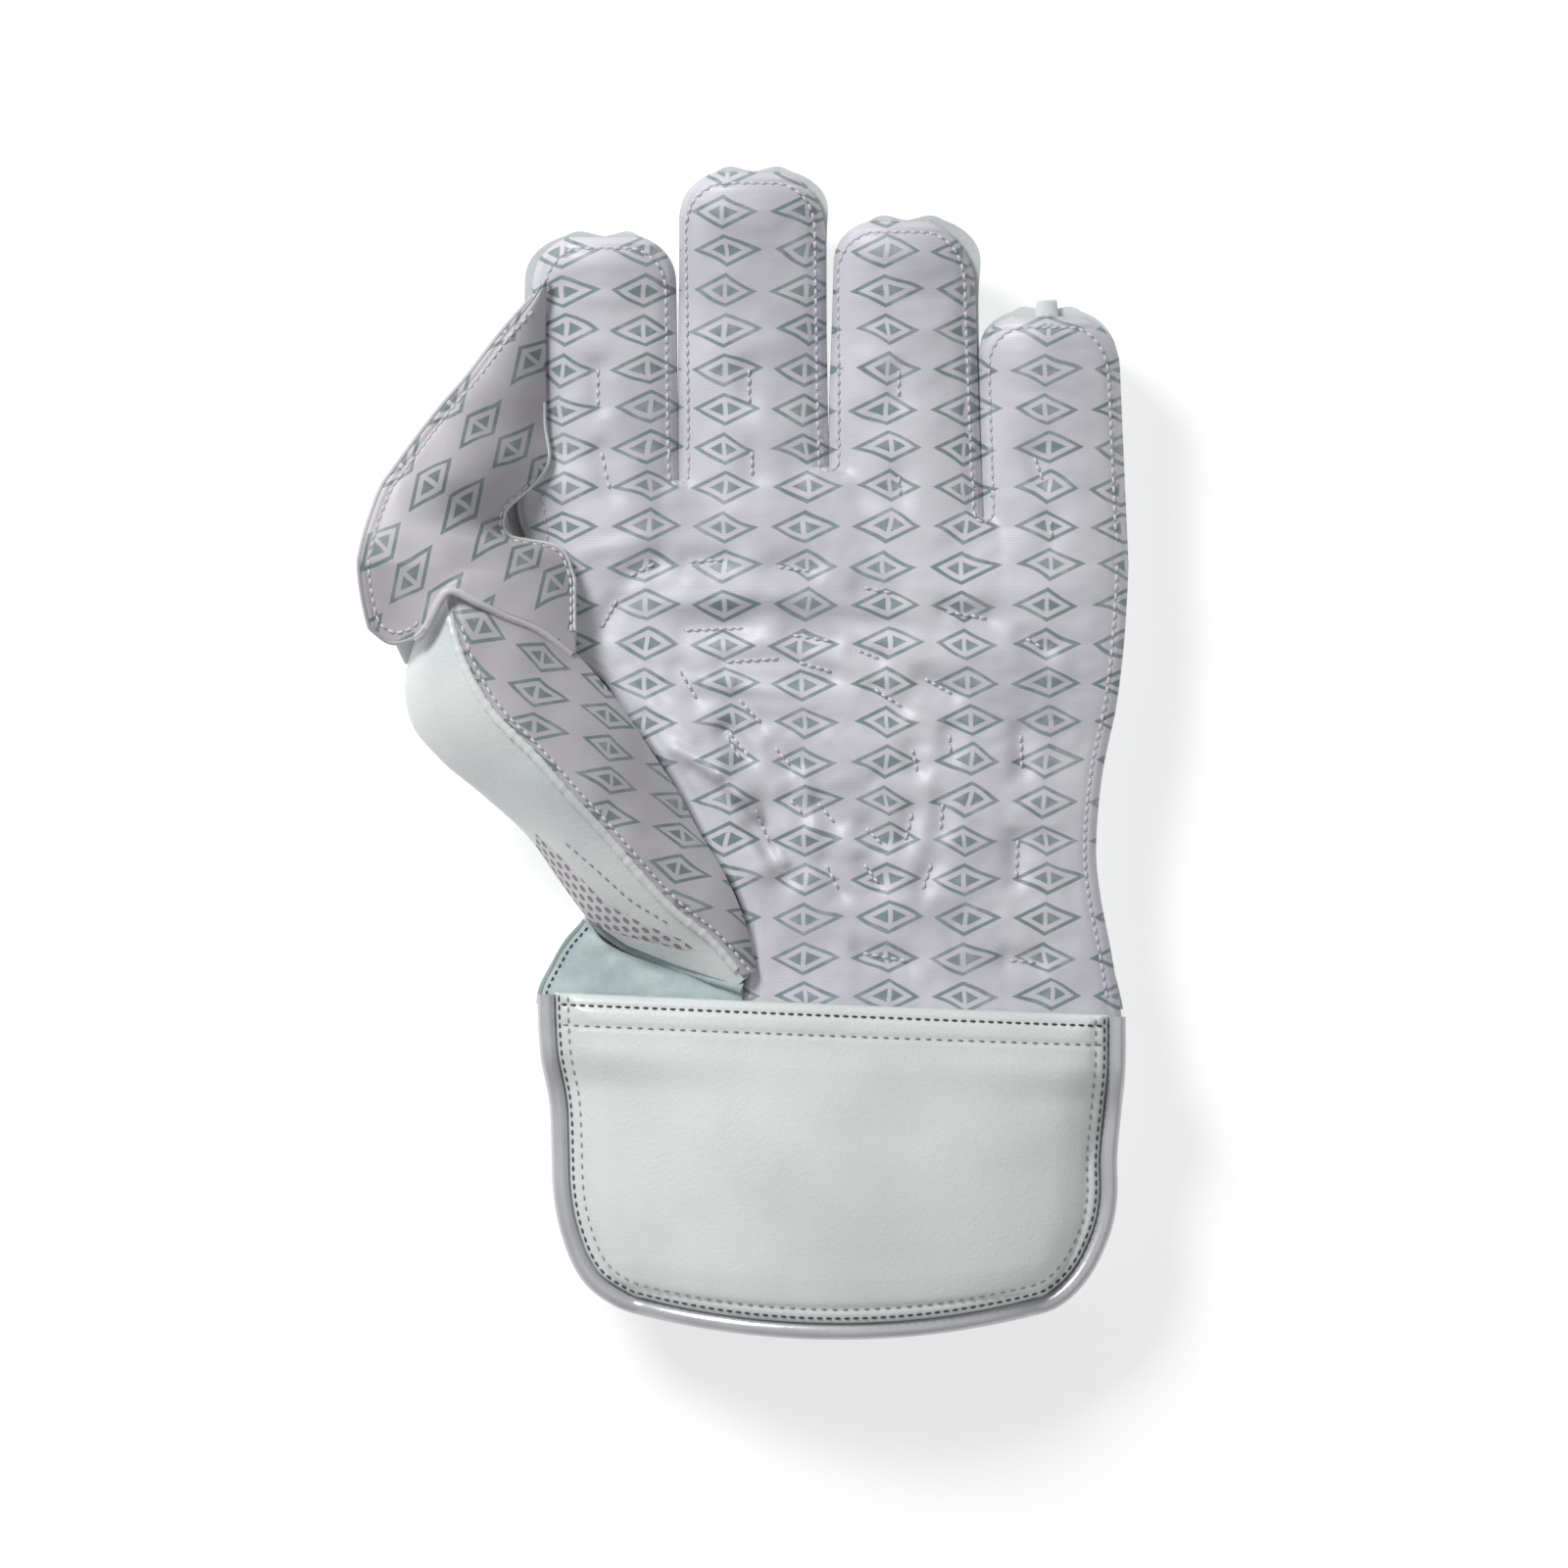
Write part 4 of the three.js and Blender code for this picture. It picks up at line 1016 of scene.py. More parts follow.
class Surface:
    """The tops of some pieces, for laying threads on them."""

    def __init__(self, *pieces: Piece) -> None:
        """Gathers the faces of some pieces.

        Args:
            pieces: The pieces.
        """
        vertices: list = []
        polygons: list = []
        for piece in pieces:
            start = len(vertices)
            vertices += [vertex.co.copy() for vertex in piece.data.vertices]
            polygons += [[start + i for i in face.vertices] for face in piece.data.polygons]
        self.tree = BVHTree.FromPolygons(vertices, polygons)

    def height(self, x: float, y: float) -> float | None:
        """Height in millimetres of the top surface over a plan point, or None beside it.

        Args:
            x: The plan points' x.
            y: The plan points' y.

        Returns:
            The height in millimetres, or None.
        """
        place = to_frame(np.array([x, y, ABOVE_ALL]))
        spot = self.tree.ray_cast(Vector(place), Vector((0.0, 0.0, -1.0)))[0]
        return None if spot is None else spot.z / MM


# Seams


def resample(route: np.ndarray, step: float) -> np.ndarray:
    """Points at even steps along a polyline.

    Args:
        route: The polyline.
        step: The distance between points.

    Returns:
        The even points.
    """
    run = np.concatenate([[0], np.cumsum(np.linalg.norm(np.diff(route, axis=0), axis=1))])
    at = np.linspace(0, run[-1], max(2, int(round(run[-1] / step)) + 1))
    return np.column_stack([np.interp(at, run, route[:, k]) for k in range(route.shape[1])])


def inset(route: np.ndarray, distance: float) -> np.ndarray:
    """A plan polyline moved to its right by a distance."""
    run = unit(np.gradient(route, axis=0))
    return route + np.column_stack([run[:, 1], -run[:, 0]]) * distance


@dataclass
class Seam:
    """A row of separate stitches laid on a surface."""

    name: str
    routes: list[np.ndarray]
    pitch: float = 2.4
    stitch: float = 1.75
    thick: float = 0.4
    proud: float = 0.26
    hole: float = 0.26
    sides: int = 6

    def build(self, surface: Surface, thread: Material, shade: Material) -> Piece:
        """Lays the stitches on the surface and joins them as one piece.

        Args:
            surface: What they are sewn through.
            thread: The thread.
            shade: The painted shade inside the needle holes.

        Returns:
            The linked object.
        """
        points: list = []
        faces: list = []
        dark: list = []
        for route in self.routes:
            marks = resample(route, self.pitch)
            for start, end in zip(marks[:-1], marks[1:]):
                centre, run = (start + end) / 2, unit((end - start)[None])[0]
                self.add_stitch(surface, centre, run, points, faces, dark)
        mesh = bpy.data.meshes.new(self.name)
        mesh.from_pydata(to_frame(np.array(points)).tolist(), [], faces + dark)
        mesh.materials.append(thread)
        # The needle holes' faces take the second material: painted shade, not a colour of the sheet.
        mesh.materials.append(shade)
        mesh.polygons.foreach_set("material_index", [0] * len(faces) + [1] * len(dark))
        work = bmesh.new()
        work.from_mesh(mesh)
        bmesh.ops.recalc_face_normals(work, faces=work.faces)
        work.to_mesh(mesh)
        work.free()
        return finish_mesh(self.name, mesh)

    def add_hole(self, surface: Surface, centre: np.ndarray, points: list, dark: list) -> None:
        """Adds one needle hole: a small lens let into the surface, coloured as painted shade.

        Args:
            surface: What lies below.
            centre: The middle, in plan millimetres with a height.
            points: The points, added to.
            dark: The faces inside the holes, added to.
        """
        ring = []
        for k in range(self.sides):
            angle = 2 * math.pi * k / self.sides
            x, y = centre[0] + self.hole * math.cos(angle), centre[1] + self.hole * math.sin(angle)
            z = surface.height(x, y)
            if z is None or abs(z - centre[2]) > 3 * self.hole:
                return
            ring.append((x, y, z + 0.03))
        start = len(points)
        points.extend(ring)
        points.append((centre[0], centre[1], centre[2] - self.hole))
        dark.append([start + k for k in range(self.sides)])
        for k in range(self.sides):
            dark.append([start + self.sides, start + (k + 1) % self.sides, start + k])

    def add_stitch(
        self,
        surface: Surface,
        centre: np.ndarray,
        run: np.ndarray,
        points: list,
        faces: list,
        dark: list,
    ) -> None:
        """Adds one stitch: a short thread that dives into the surface at both ends.

        Args:
            surface: What lies below.
            centre: The middle, in plan millimetres with a height.
            run: The stitch's heading.
            points: The points, added to.
            faces: The thread's faces, added to.
            dark: The faces inside the holes, added to.
        """
        shares = np.array([-1.0, -0.72, 0.0, 0.72, 1.0])
        sink = np.array([-0.75, 0.1, 1.0, 0.1, -0.75]) * self.proud
        size = np.array([0.45, 0.85, 1.0, 0.85, 0.45]) * self.thick
        spots = []
        for share, rise in zip(shares, sink):
            x, y = centre + run * share * self.stitch / 2
            z = surface.height(x, y)
            if z is None:
                return
            spots.append((x, y, z + rise))
        spots = np.array(spots)
        if np.ptp(spots[:, 2]) > 2.5 * self.stitch:
            return
        if self.hole:
            for end in (spots[0], spots[-1]):
                self.add_hole(surface, end - [0, 0, sink[0]], points, dark)
        along = unit(np.gradient(spots, axis=0))
        across = unit(np.cross(along, [0.0, 0.0, 1.0]))
        up = np.cross(across, along)
        start = len(points)
        for k in range(self.sides):
            angle = 2 * math.pi * k / self.sides
            ring = across * math.cos(angle) + up * math.sin(angle)
            points.extend(spots + ring * size[:, None])
        length = len(shares)
        for k in range(self.sides):
            a, b = start + k * length, start + (k + 1) % self.sides * length
            for i in range(length - 1):
                faces.append([a + i, a + i + 1, b + i + 1, b + i])
        faces.append([start + k * length for k in range(self.sides)])
        faces.append([start + k * length + length - 1 for k in reversed(range(self.sides))])


# Materials


def srgb(code: str) -> tuple[float, float, float, float]:
    """A hex colour as linear red, green, blue and alpha.

    Args:
        code: The sRGB colour, as #RRGGBB.

    Returns:
        The four linear values.
    """
    values = [int(code[i : i + 2], 16) / 255 for i in (1, 3, 5)]
    linear = [v / 12.92 if v <= 0.04045 else ((v + 0.055) / 1.055) ** 2.4 for v in values]
    return (*linear, 1.0)


def per_metre(size: float) -> float:
    """How often a pattern of a size in millimetres repeats in a metre."""
    return 1 / (size * MM)


class Kind(Enum):
    """The kinds of shader node: the type, its settings and the output that is read."""

    BUMP = ("Bump", {}, 0)
    FLAT = ("UVMap", {"uv_map": "flat"}, 0)
    MIX = ("Mix", {"data_type": "RGBA"}, 2)
    NOISE = ("TexNoise", {}, 0)
    PEBBLE = ("TexVoronoi", {"feature": "SMOOTH_F1"}, "Distance")
    PLACE = ("TexCoord", {}, "Object")
    RANGE = ("MapRange", {"interpolation_type": "SMOOTHSTEP"}, 0)
    SPLIT = ("SeparateXYZ", {}, 0)
    TURN = ("VectorRotate", {"rotation_type": "Z_AXIS"}, 0)
    ABSOLUTE = ("Math", {"operation": "ABSOLUTE"}, 0)
    ADD = ("Math", {"operation": "ADD"}, 0)
    FLOOR = ("Math", {"operation": "FLOOR"}, 0)
    FRACT = ("Math", {"operation": "FRACT"}, 0)
    MAXIMUM = ("Math", {"operation": "MAXIMUM"}, 0)
    MODULO = ("Math", {"operation": "MODULO"}, 0)
    MULTIPLY = ("Math", {"operation": "MULTIPLY"}, 0)
    MULTIPLY_ADD = ("Math", {"operation": "MULTIPLY_ADD"}, 0)
    SINE = ("Math", {"operation": "SINE"}, 0)
    SQRT = ("Math", {"operation": "SQRT"}, 0)
    SUBTRACT = ("Math", {"operation": "SUBTRACT"}, 0)


class Nodes:
    """A material's node tree, built one node at a time."""

    def __init__(self, name: str) -> None:
        """Starts a material with its shader alone.

        Args:
            name: The material's name.
        """
        self.material = bpy.data.materials.new(name)
        self.material.use_nodes = True
        self.tree = self.material.node_tree
        self.shader = self.tree.nodes["Principled BSDF"]

    def feed(self, node: bpy.types.Node, links: dict) -> None:
        """Links a node's inputs, or sets their own values.

        Args:
            node: The node.
            links: Outputs or plain values, by the name or number of the input.
        """
        for name, value in links.items():
            if isinstance(value, Socket):
                self.tree.links.new(value, node.inputs[name])
            else:
                node.inputs[name].default_value = value

    def add(self, kind: Kind, links: dict | tuple = ()) -> Socket:
        """Adds a node with its settings and links.

        Args:
            kind: The kind of node.
            links: What its inputs get, by name or number, or in order.

        Returns:
            The output that is read.
        """
        label, settings, out = kind.value
        node = self.tree.nodes.new("ShaderNode" + label)
        for name, value in settings.items():
            setattr(node, name, value)
        self.feed(node, links if isinstance(links, dict) else dict(enumerate(links)))
        return node.outputs[out]


@dataclass(frozen=True)
class Leather:
    """Coated cowhide, rolled smooth: a soft gloss, broken by fine pebbles and faint creases."""

    name: str
    colour: str = "#DDE2E1"
    shade: str = "#C6CBCC"
    roughness: float = 0.36
    # Real pebbles are some 0.4 mm wide and are drawn coarser, so that they show
    pebble: float = 0.8696
    pebble_depth: float = 0.09
    crease: float = 3.846
    crease_depth: float = 0.16
    cloud: float = 45.45

    def build(self) -> Material:
        """Builds the leather.

        Returns:
            The material.
        """
        nodes = Nodes(self.name)
        place = nodes.add(Kind.PLACE)
        cloud = nodes.add(Kind.NOISE, {"Vector": place, "Scale": per_metre(self.cloud), "Detail": 3.0})
        grain = {"Vector": place, "Scale": per_metre(self.pebble)}
        pebble = nodes.add(Kind.PEBBLE, grain)
        folds = {"Vector": place, "Scale": per_metre(self.crease), "Detail": 4.0, "Roughness": 0.6}
        crease = nodes.add(Kind.NOISE, folds)
        share = nodes.add(Kind.RANGE, (cloud, 0.35, 0.75))
        tones = {0: share, 6: srgb(self.colour), 7: srgb(self.shade)}
        soft = {"Height": crease, "Distance": self.crease_depth * MM, "Strength": 0.5}
        fine = {"Height": pebble, "Distance": self.pebble_depth * MM, "Strength": 0.8}
        fine["Normal"] = nodes.add(Kind.BUMP, soft)
        gloss = nodes.add(Kind.MULTIPLY_ADD, (crease, 0.16, self.roughness - 0.06))
        finish = {
            "Base Color": nodes.add(Kind.MIX, tones),
            "Roughness": gloss,
            "Specular IOR Level": 0.5,
            "Coat Weight": 0.18,
            "Coat Roughness": 0.28,
            "Normal": nodes.add(Kind.BUMP, fine),
        }
        nodes.feed(nodes.shader, finish)
        return nodes.material


@dataclass(frozen=True)
class GripFacing:
    """Moulded rubber grip sheet: fine ribs with painted shade along them, a dull sheen and a worn print of
    open lozenges.
    """

    name: str
    colour: str = "#D0D0D6"
    shade: str = "#BDBBC3"
    ink: str = "#6F8483"
    # Painted shade along the ribs
    valley: str = "#A3A0AA"
    pitch_x: float = 20.5
    pitch_y: float = 10.0
    # Real ribs are some 0.4 mm apart and are drawn coarser, so that they show
    rib: float = 0.62
    rib_depth: float = 0.04
    fibre: float = 1.111
    fibre_depth: float = 0.08
    wear: float = 8.333
    cloud: float = 33.33
    turn: float = 0.0

    def lozenge(self, nodes: Nodes, x: Socket, y: Socket) -> Socket:
        """The ink in one cell: an outline, and a heart split by a slot.

        Args:
            nodes: The material's nodes.
            x: Across the cell, from -0.5 to 0.5.
            y: Along it.

        Returns:
            How much ink there is, from 0 to 1.
        """
        side = nodes.add(Kind.ABSOLUTE, (x,))
        up = nodes.add(Kind.ABSOLUTE, (y,))
        sum_of_both = nodes.add(Kind.ADD, (side, up))
        reach = nodes.add(Kind.MULTIPLY, (sum_of_both, 2.0))
        off_line = nodes.add(Kind.SUBTRACT, (reach, 0.76))
        away = nodes.add(Kind.ABSOLUTE, (off_line,))
        outline = nodes.add(Kind.RANGE, (away, 0.13, 0.075))
        heart = nodes.add(Kind.RANGE, (reach, 0.42, 0.36))
        slot = nodes.add(Kind.RANGE, (side, 0.02, 0.035))
        split_heart = nodes.add(Kind.MULTIPLY, (heart, slot))
        return nodes.add(Kind.MAXIMUM, (outline, split_heart))

    def print_ink(self, nodes: Nodes, split: bpy.types.NodeOutputs, turned: Socket) -> Socket:
        """The lattice of lozenges, which wanders a little as stretched sheet does.

        Args:
            nodes: The material's nodes.
            split: The flat coordinate's parts.
            turned: The flat coordinate.

        Returns:
            How much ink there is, from 0 to 1.
        """
        drift = nodes.add(Kind.NOISE, {"Vector": turned, "Scale": 0.05, "Detail": 1.0})
        wander = nodes.add(Kind.MULTIPLY, (drift, 0.35))
        cell = []
        for axis, pitch in (("X", self.pitch_x), ("Y", self.pitch_y)):
            run = nodes.add(Kind.MULTIPLY_ADD, (split[axis], 1 / pitch, wander))
            share = nodes.add(Kind.FRACT, (run,))
            cell.append(nodes.add(Kind.SUBTRACT, (share, 0.5)))
        return self.lozenge(nodes, *cell)

    def build(self) -> Material:
        """Builds the facing.

        Returns:
            The material.
        """
        nodes = Nodes(self.name)
        flat = nodes.add(Kind.FLAT)
        place = nodes.add(Kind.PLACE)
        turned = nodes.add(Kind.TURN, {"Vector": flat, "Angle": self.turn})
        split = nodes.add(Kind.SPLIT, (turned,)).node.outputs
        ink = self.print_ink(nodes, split, turned)
        phase = nodes.add(Kind.MULTIPLY, (split["Y"], 2 * math.pi / self.rib))
        wave = nodes.add(Kind.SINE, (phase,))
        rib = nodes.add(Kind.MULTIPLY_ADD, (wave, 0.5, 0.5))
        grain = {"Vector": place, "Scale": per_metre(self.fibre), "Detail": 3.0, "Roughness": 0.7}
        fibre = nodes.add(Kind.NOISE, grain)
        cloud = nodes.add(Kind.NOISE, {"Vector": place, "Scale": per_metre(self.cloud), "Detail": 3.0})
        rubbed = {"Vector": place, "Scale": per_metre(self.wear), "Detail": 3.0, "Roughness": 0.7}
        patch = nodes.add(Kind.NOISE, rubbed)
        worn = nodes.add(Kind.RANGE, (patch, 0.3, 0.6))
        left = nodes.add(Kind.MULTIPLY_ADD, (worn, 0.35, 0.6))
        ink = nodes.add(Kind.MULTIPLY, (ink, left))
        tone = nodes.add(Kind.RANGE, (cloud, 0.35, 0.7))
        sheet = {0: tone, 6: srgb(self.colour), 7: srgb(self.shade)}
        # Painted shade: the sheet mixed towards the valley colour in step with the ribs' relief.
        ribs = {0: nodes.add(Kind.MULTIPLY, (rib, 0.1)), 7: srgb(self.valley)}
        ribs[6] = nodes.add(Kind.MIX, sheet)
        inked = {0: ink, 6: nodes.add(Kind.MIX, ribs), 7: srgb(self.ink)}
        under = {"Height": fibre, "Distance": self.fibre_depth * MM, "Strength": 0.5}
        over = {"Height": rib, "Distance": self.rib_depth * MM, "Strength": 0.5}
        over["Normal"] = nodes.add(Kind.BUMP, under)
        finish = {
            "Base Color": nodes.add(Kind.MIX, inked),
            "Roughness": nodes.add(Kind.MULTIPLY_ADD, (cloud, 0.2, 0.4)),
            "Coat Weight": 0.22,
            "Coat Roughness": 0.38,
            "Normal": nodes.add(Kind.BUMP, over),
        }
        nodes.feed(nodes.shader, finish)
        return nodes.material


@dataclass(frozen=True)
class Suede:
    """Brushed suede or cloth: a short matt nap, and random patches of painted shade, as of nap laid away
    from the light.
    """

    name: str
    colour: str = "#BECBCB"
    shade: str = "#A9B7B8"
    speck: str = "#8F9E9F"
    # Real nap is some 0.2 mm and is drawn coarser, so that it shows
    nap: float = 0.6667
    nap_depth: float = 0.18
    patch: float = 11.11

    def build(self) -> Material:
        """Builds the suede.

        Returns:
            The material.
        """
        nodes = Nodes(self.name)
        place = nodes.add(Kind.PLACE)
        fine = {"Vector": place, "Scale": per_metre(self.nap), "Detail": 3.0, "Roughness": 0.7}
        nap = nodes.add(Kind.NOISE, fine)
        broad = {"Vector": place, "Scale": per_metre(self.patch), "Detail": 3.0, "Roughness": 0.6}
        patch = nodes.add(Kind.NOISE, broad)
        # Painted shade: random patches mixed towards the darker colour, as nap laid away from the light
        # looks.
        share = nodes.add(Kind.RANGE, (patch, 0.35, 0.65))
        tones = {0: share, 6: srgb(self.colour), 7: srgb(self.shade)}
        specks = {0: nodes.add(Kind.MULTIPLY, (nap, 0.3)), 7: srgb(self.speck)}
        specks[6] = nodes.add(Kind.MIX, tones)
        relief = {"Height": nap, "Distance": self.nap_depth * MM, "Strength": 0.8}
        finish = {
            "Base Color": nodes.add(Kind.MIX, specks),
            "Roughness": 0.95,
            "Specular IOR Level": 0.2,
            "Sheen Weight": 0.4,
            "Normal": nodes.add(Kind.BUMP, relief),
        }
        nodes.feed(nodes.shader, finish)
        return nodes.material


@dataclass(frozen=True)
class PerforatedCloth:
    """Punched cloth: staggered rows of oval holes in a matt and pale ground; the holes' grey is partly the
    backing seen through them and partly painted shade.
    """

    name: str
    colour: str = "#DDDADC"
    shade: str = "#CECACD"
    # The holes' colour: partly the backing seen through them, partly painted shade in them
    hole: str = "#918F92"
    row_pitch: float = 2.2
    hole_pitch: float = 3.3
    hole_width: float = 1.2
    hole_length: float = 2.1
    hole_depth: float = 0.4
    cloud: float = 16.67

    def build(self) -> Material:
        """Builds the cloth.

        Returns:
            The material.
        """
        nodes = Nodes(self.name)
        split = nodes.add(Kind.SPLIT, (nodes.add(Kind.FLAT),)).node.outputs
        row = nodes.add(Kind.MULTIPLY, (split["X"], 1 / self.row_pitch))
        number = nodes.add(Kind.FLOOR, (row,))
        odd = nodes.add(Kind.MODULO, (number, 2.0))
        shift = nodes.add(Kind.MULTIPLY, (odd, 0.5))
        line = nodes.add(Kind.MULTIPLY_ADD, (split["Y"], 1 / self.hole_pitch, shift))
        squares = []
        for run, pitch, hole in (
            (row, self.row_pitch, self.hole_width),
            (line, self.hole_pitch, self.hole_length),
        ):
            share = nodes.add(Kind.FRACT, (run,))
            off = nodes.add(Kind.SUBTRACT, (share, 0.5))
            scaled = nodes.add(Kind.MULTIPLY, (off, 2 * pitch / hole))
            squares.append(nodes.add(Kind.MULTIPLY, (scaled, scaled)))
        both = nodes.add(Kind.ADD, tuple(squares))
        away = nodes.add(Kind.SQRT, (both,))
        hole = nodes.add(Kind.RANGE, (away, 1.15, 0.8))
        place = nodes.add(Kind.PLACE)
        cloud = nodes.add(Kind.NOISE, {"Vector": place, "Scale": per_metre(self.cloud), "Detail": 3.0})
        ground = {0: cloud, 6: srgb(self.colour), 7: srgb(self.shade)}
        punched = {0: hole, 6: nodes.add(Kind.MIX, ground), 7: srgb(self.hole)}
        solid = nodes.add(Kind.SUBTRACT, (1.0, hole))
        relief = {"Height": solid, "Distance": self.hole_depth * MM, "Strength": 0.9}
        finish = {
            "Base Color": nodes.add(Kind.MIX, punched),
            "Roughness": 0.8,
            "Normal": nodes.add(Kind.BUMP, relief),
        }
        nodes.feed(nodes.shader, finish)
        return nodes.material


@dataclass(frozen=True)
class SilverPiping:
    """Metallised piping: a silver film laid over a cord, bright where it turns, finely wrinkled."""

    name: str
    colour: str = "#D6D6D9"
    shade: str = "#BAB9BF"
    wrinkle: float = 2.381
    wrinkle_depth: float = 0.12
    cloud: float = 16.67

    def build(self) -> Material:
        """Builds the piping's film.

        Returns:
            The material.
        """
        nodes = Nodes(self.name)
        place = nodes.add(Kind.PLACE)
        fine = {"Vector": place, "Scale": per_metre(self.wrinkle), "Detail": 3.0, "Roughness": 0.6}
        wrinkle = nodes.add(Kind.NOISE, fine)
        cloud = nodes.add(Kind.NOISE, {"Vector": place, "Scale": per_metre(self.cloud)})
        tones = {0: cloud, 6: srgb(self.colour), 7: srgb(self.shade)}
        relief = {"Height": wrinkle, "Distance": self.wrinkle_depth * MM, "Strength": 0.6}
        finish = {
            "Base Color": nodes.add(Kind.MIX, tones),
            "Metallic": 0.4,
            "Roughness": nodes.add(Kind.MULTIPLY_ADD, (wrinkle, 0.2, 0.22)),
            "Normal": nodes.add(Kind.BUMP, relief),
        }
        nodes.feed(nodes.shader, finish)
        return nodes.material


@dataclass(frozen=True)
class Thread:
    """Twisted polyester sewing thread: a faint sheen, with painted shade along its twist."""

    name: str
    colour: str
    roughness: float = 0.55
    painted_twist_shade: float = 0.7
    twist: float = 0.3846
    twist_depth: float = 0.06

    def build(self) -> Material:
        """Builds the thread.

        Returns:
            The material.
        """
        nodes = Nodes(self.name)
        place = nodes.add(Kind.PLACE)
        twist = nodes.add(Kind.NOISE, {"Vector": place, "Scale": per_metre(self.twist)})
        lit = srgb(self.colour)
        # Painted shade: the lit colour mixed towards a darker copy along the twist.
        tones = {0: twist, 6: lit, 7: (*(self.painted_twist_shade * part for part in lit[:3]), 1.0)}
        relief = {"Height": twist, "Distance": self.twist_depth * MM, "Strength": 0.6}
        finish = {
            "Base Color": nodes.add(Kind.MIX, tones),
            "Roughness": self.roughness,
            "Sheen Weight": 0.2,
            "Normal": nodes.add(Kind.BUMP, relief),
        }
        nodes.feed(nodes.shader, finish)
        return nodes.material


@dataclass(frozen=True)
class Floor:
    """Matt studio paint, lit from within so that shadows on it stay faint."""

    name: str = "studio_floor_matt_paint"
    colour: str = "#F4F4F4"
    paint: str = "#B4B4B4"
    glow: float = 0.7

    def build(self) -> Material:
        """Builds the paint.

        Returns:
            The material.
        """
        nodes = Nodes(self.name)
        finish = {
            "Base Color": srgb(self.paint),
            "Roughness": 0.9,
            "Emission Color": srgb(self.colour),
            "Emission Strength": self.glow,
        }
        nodes.feed(nodes.shader, finish)
        return nodes.material


# Sub-assemblies


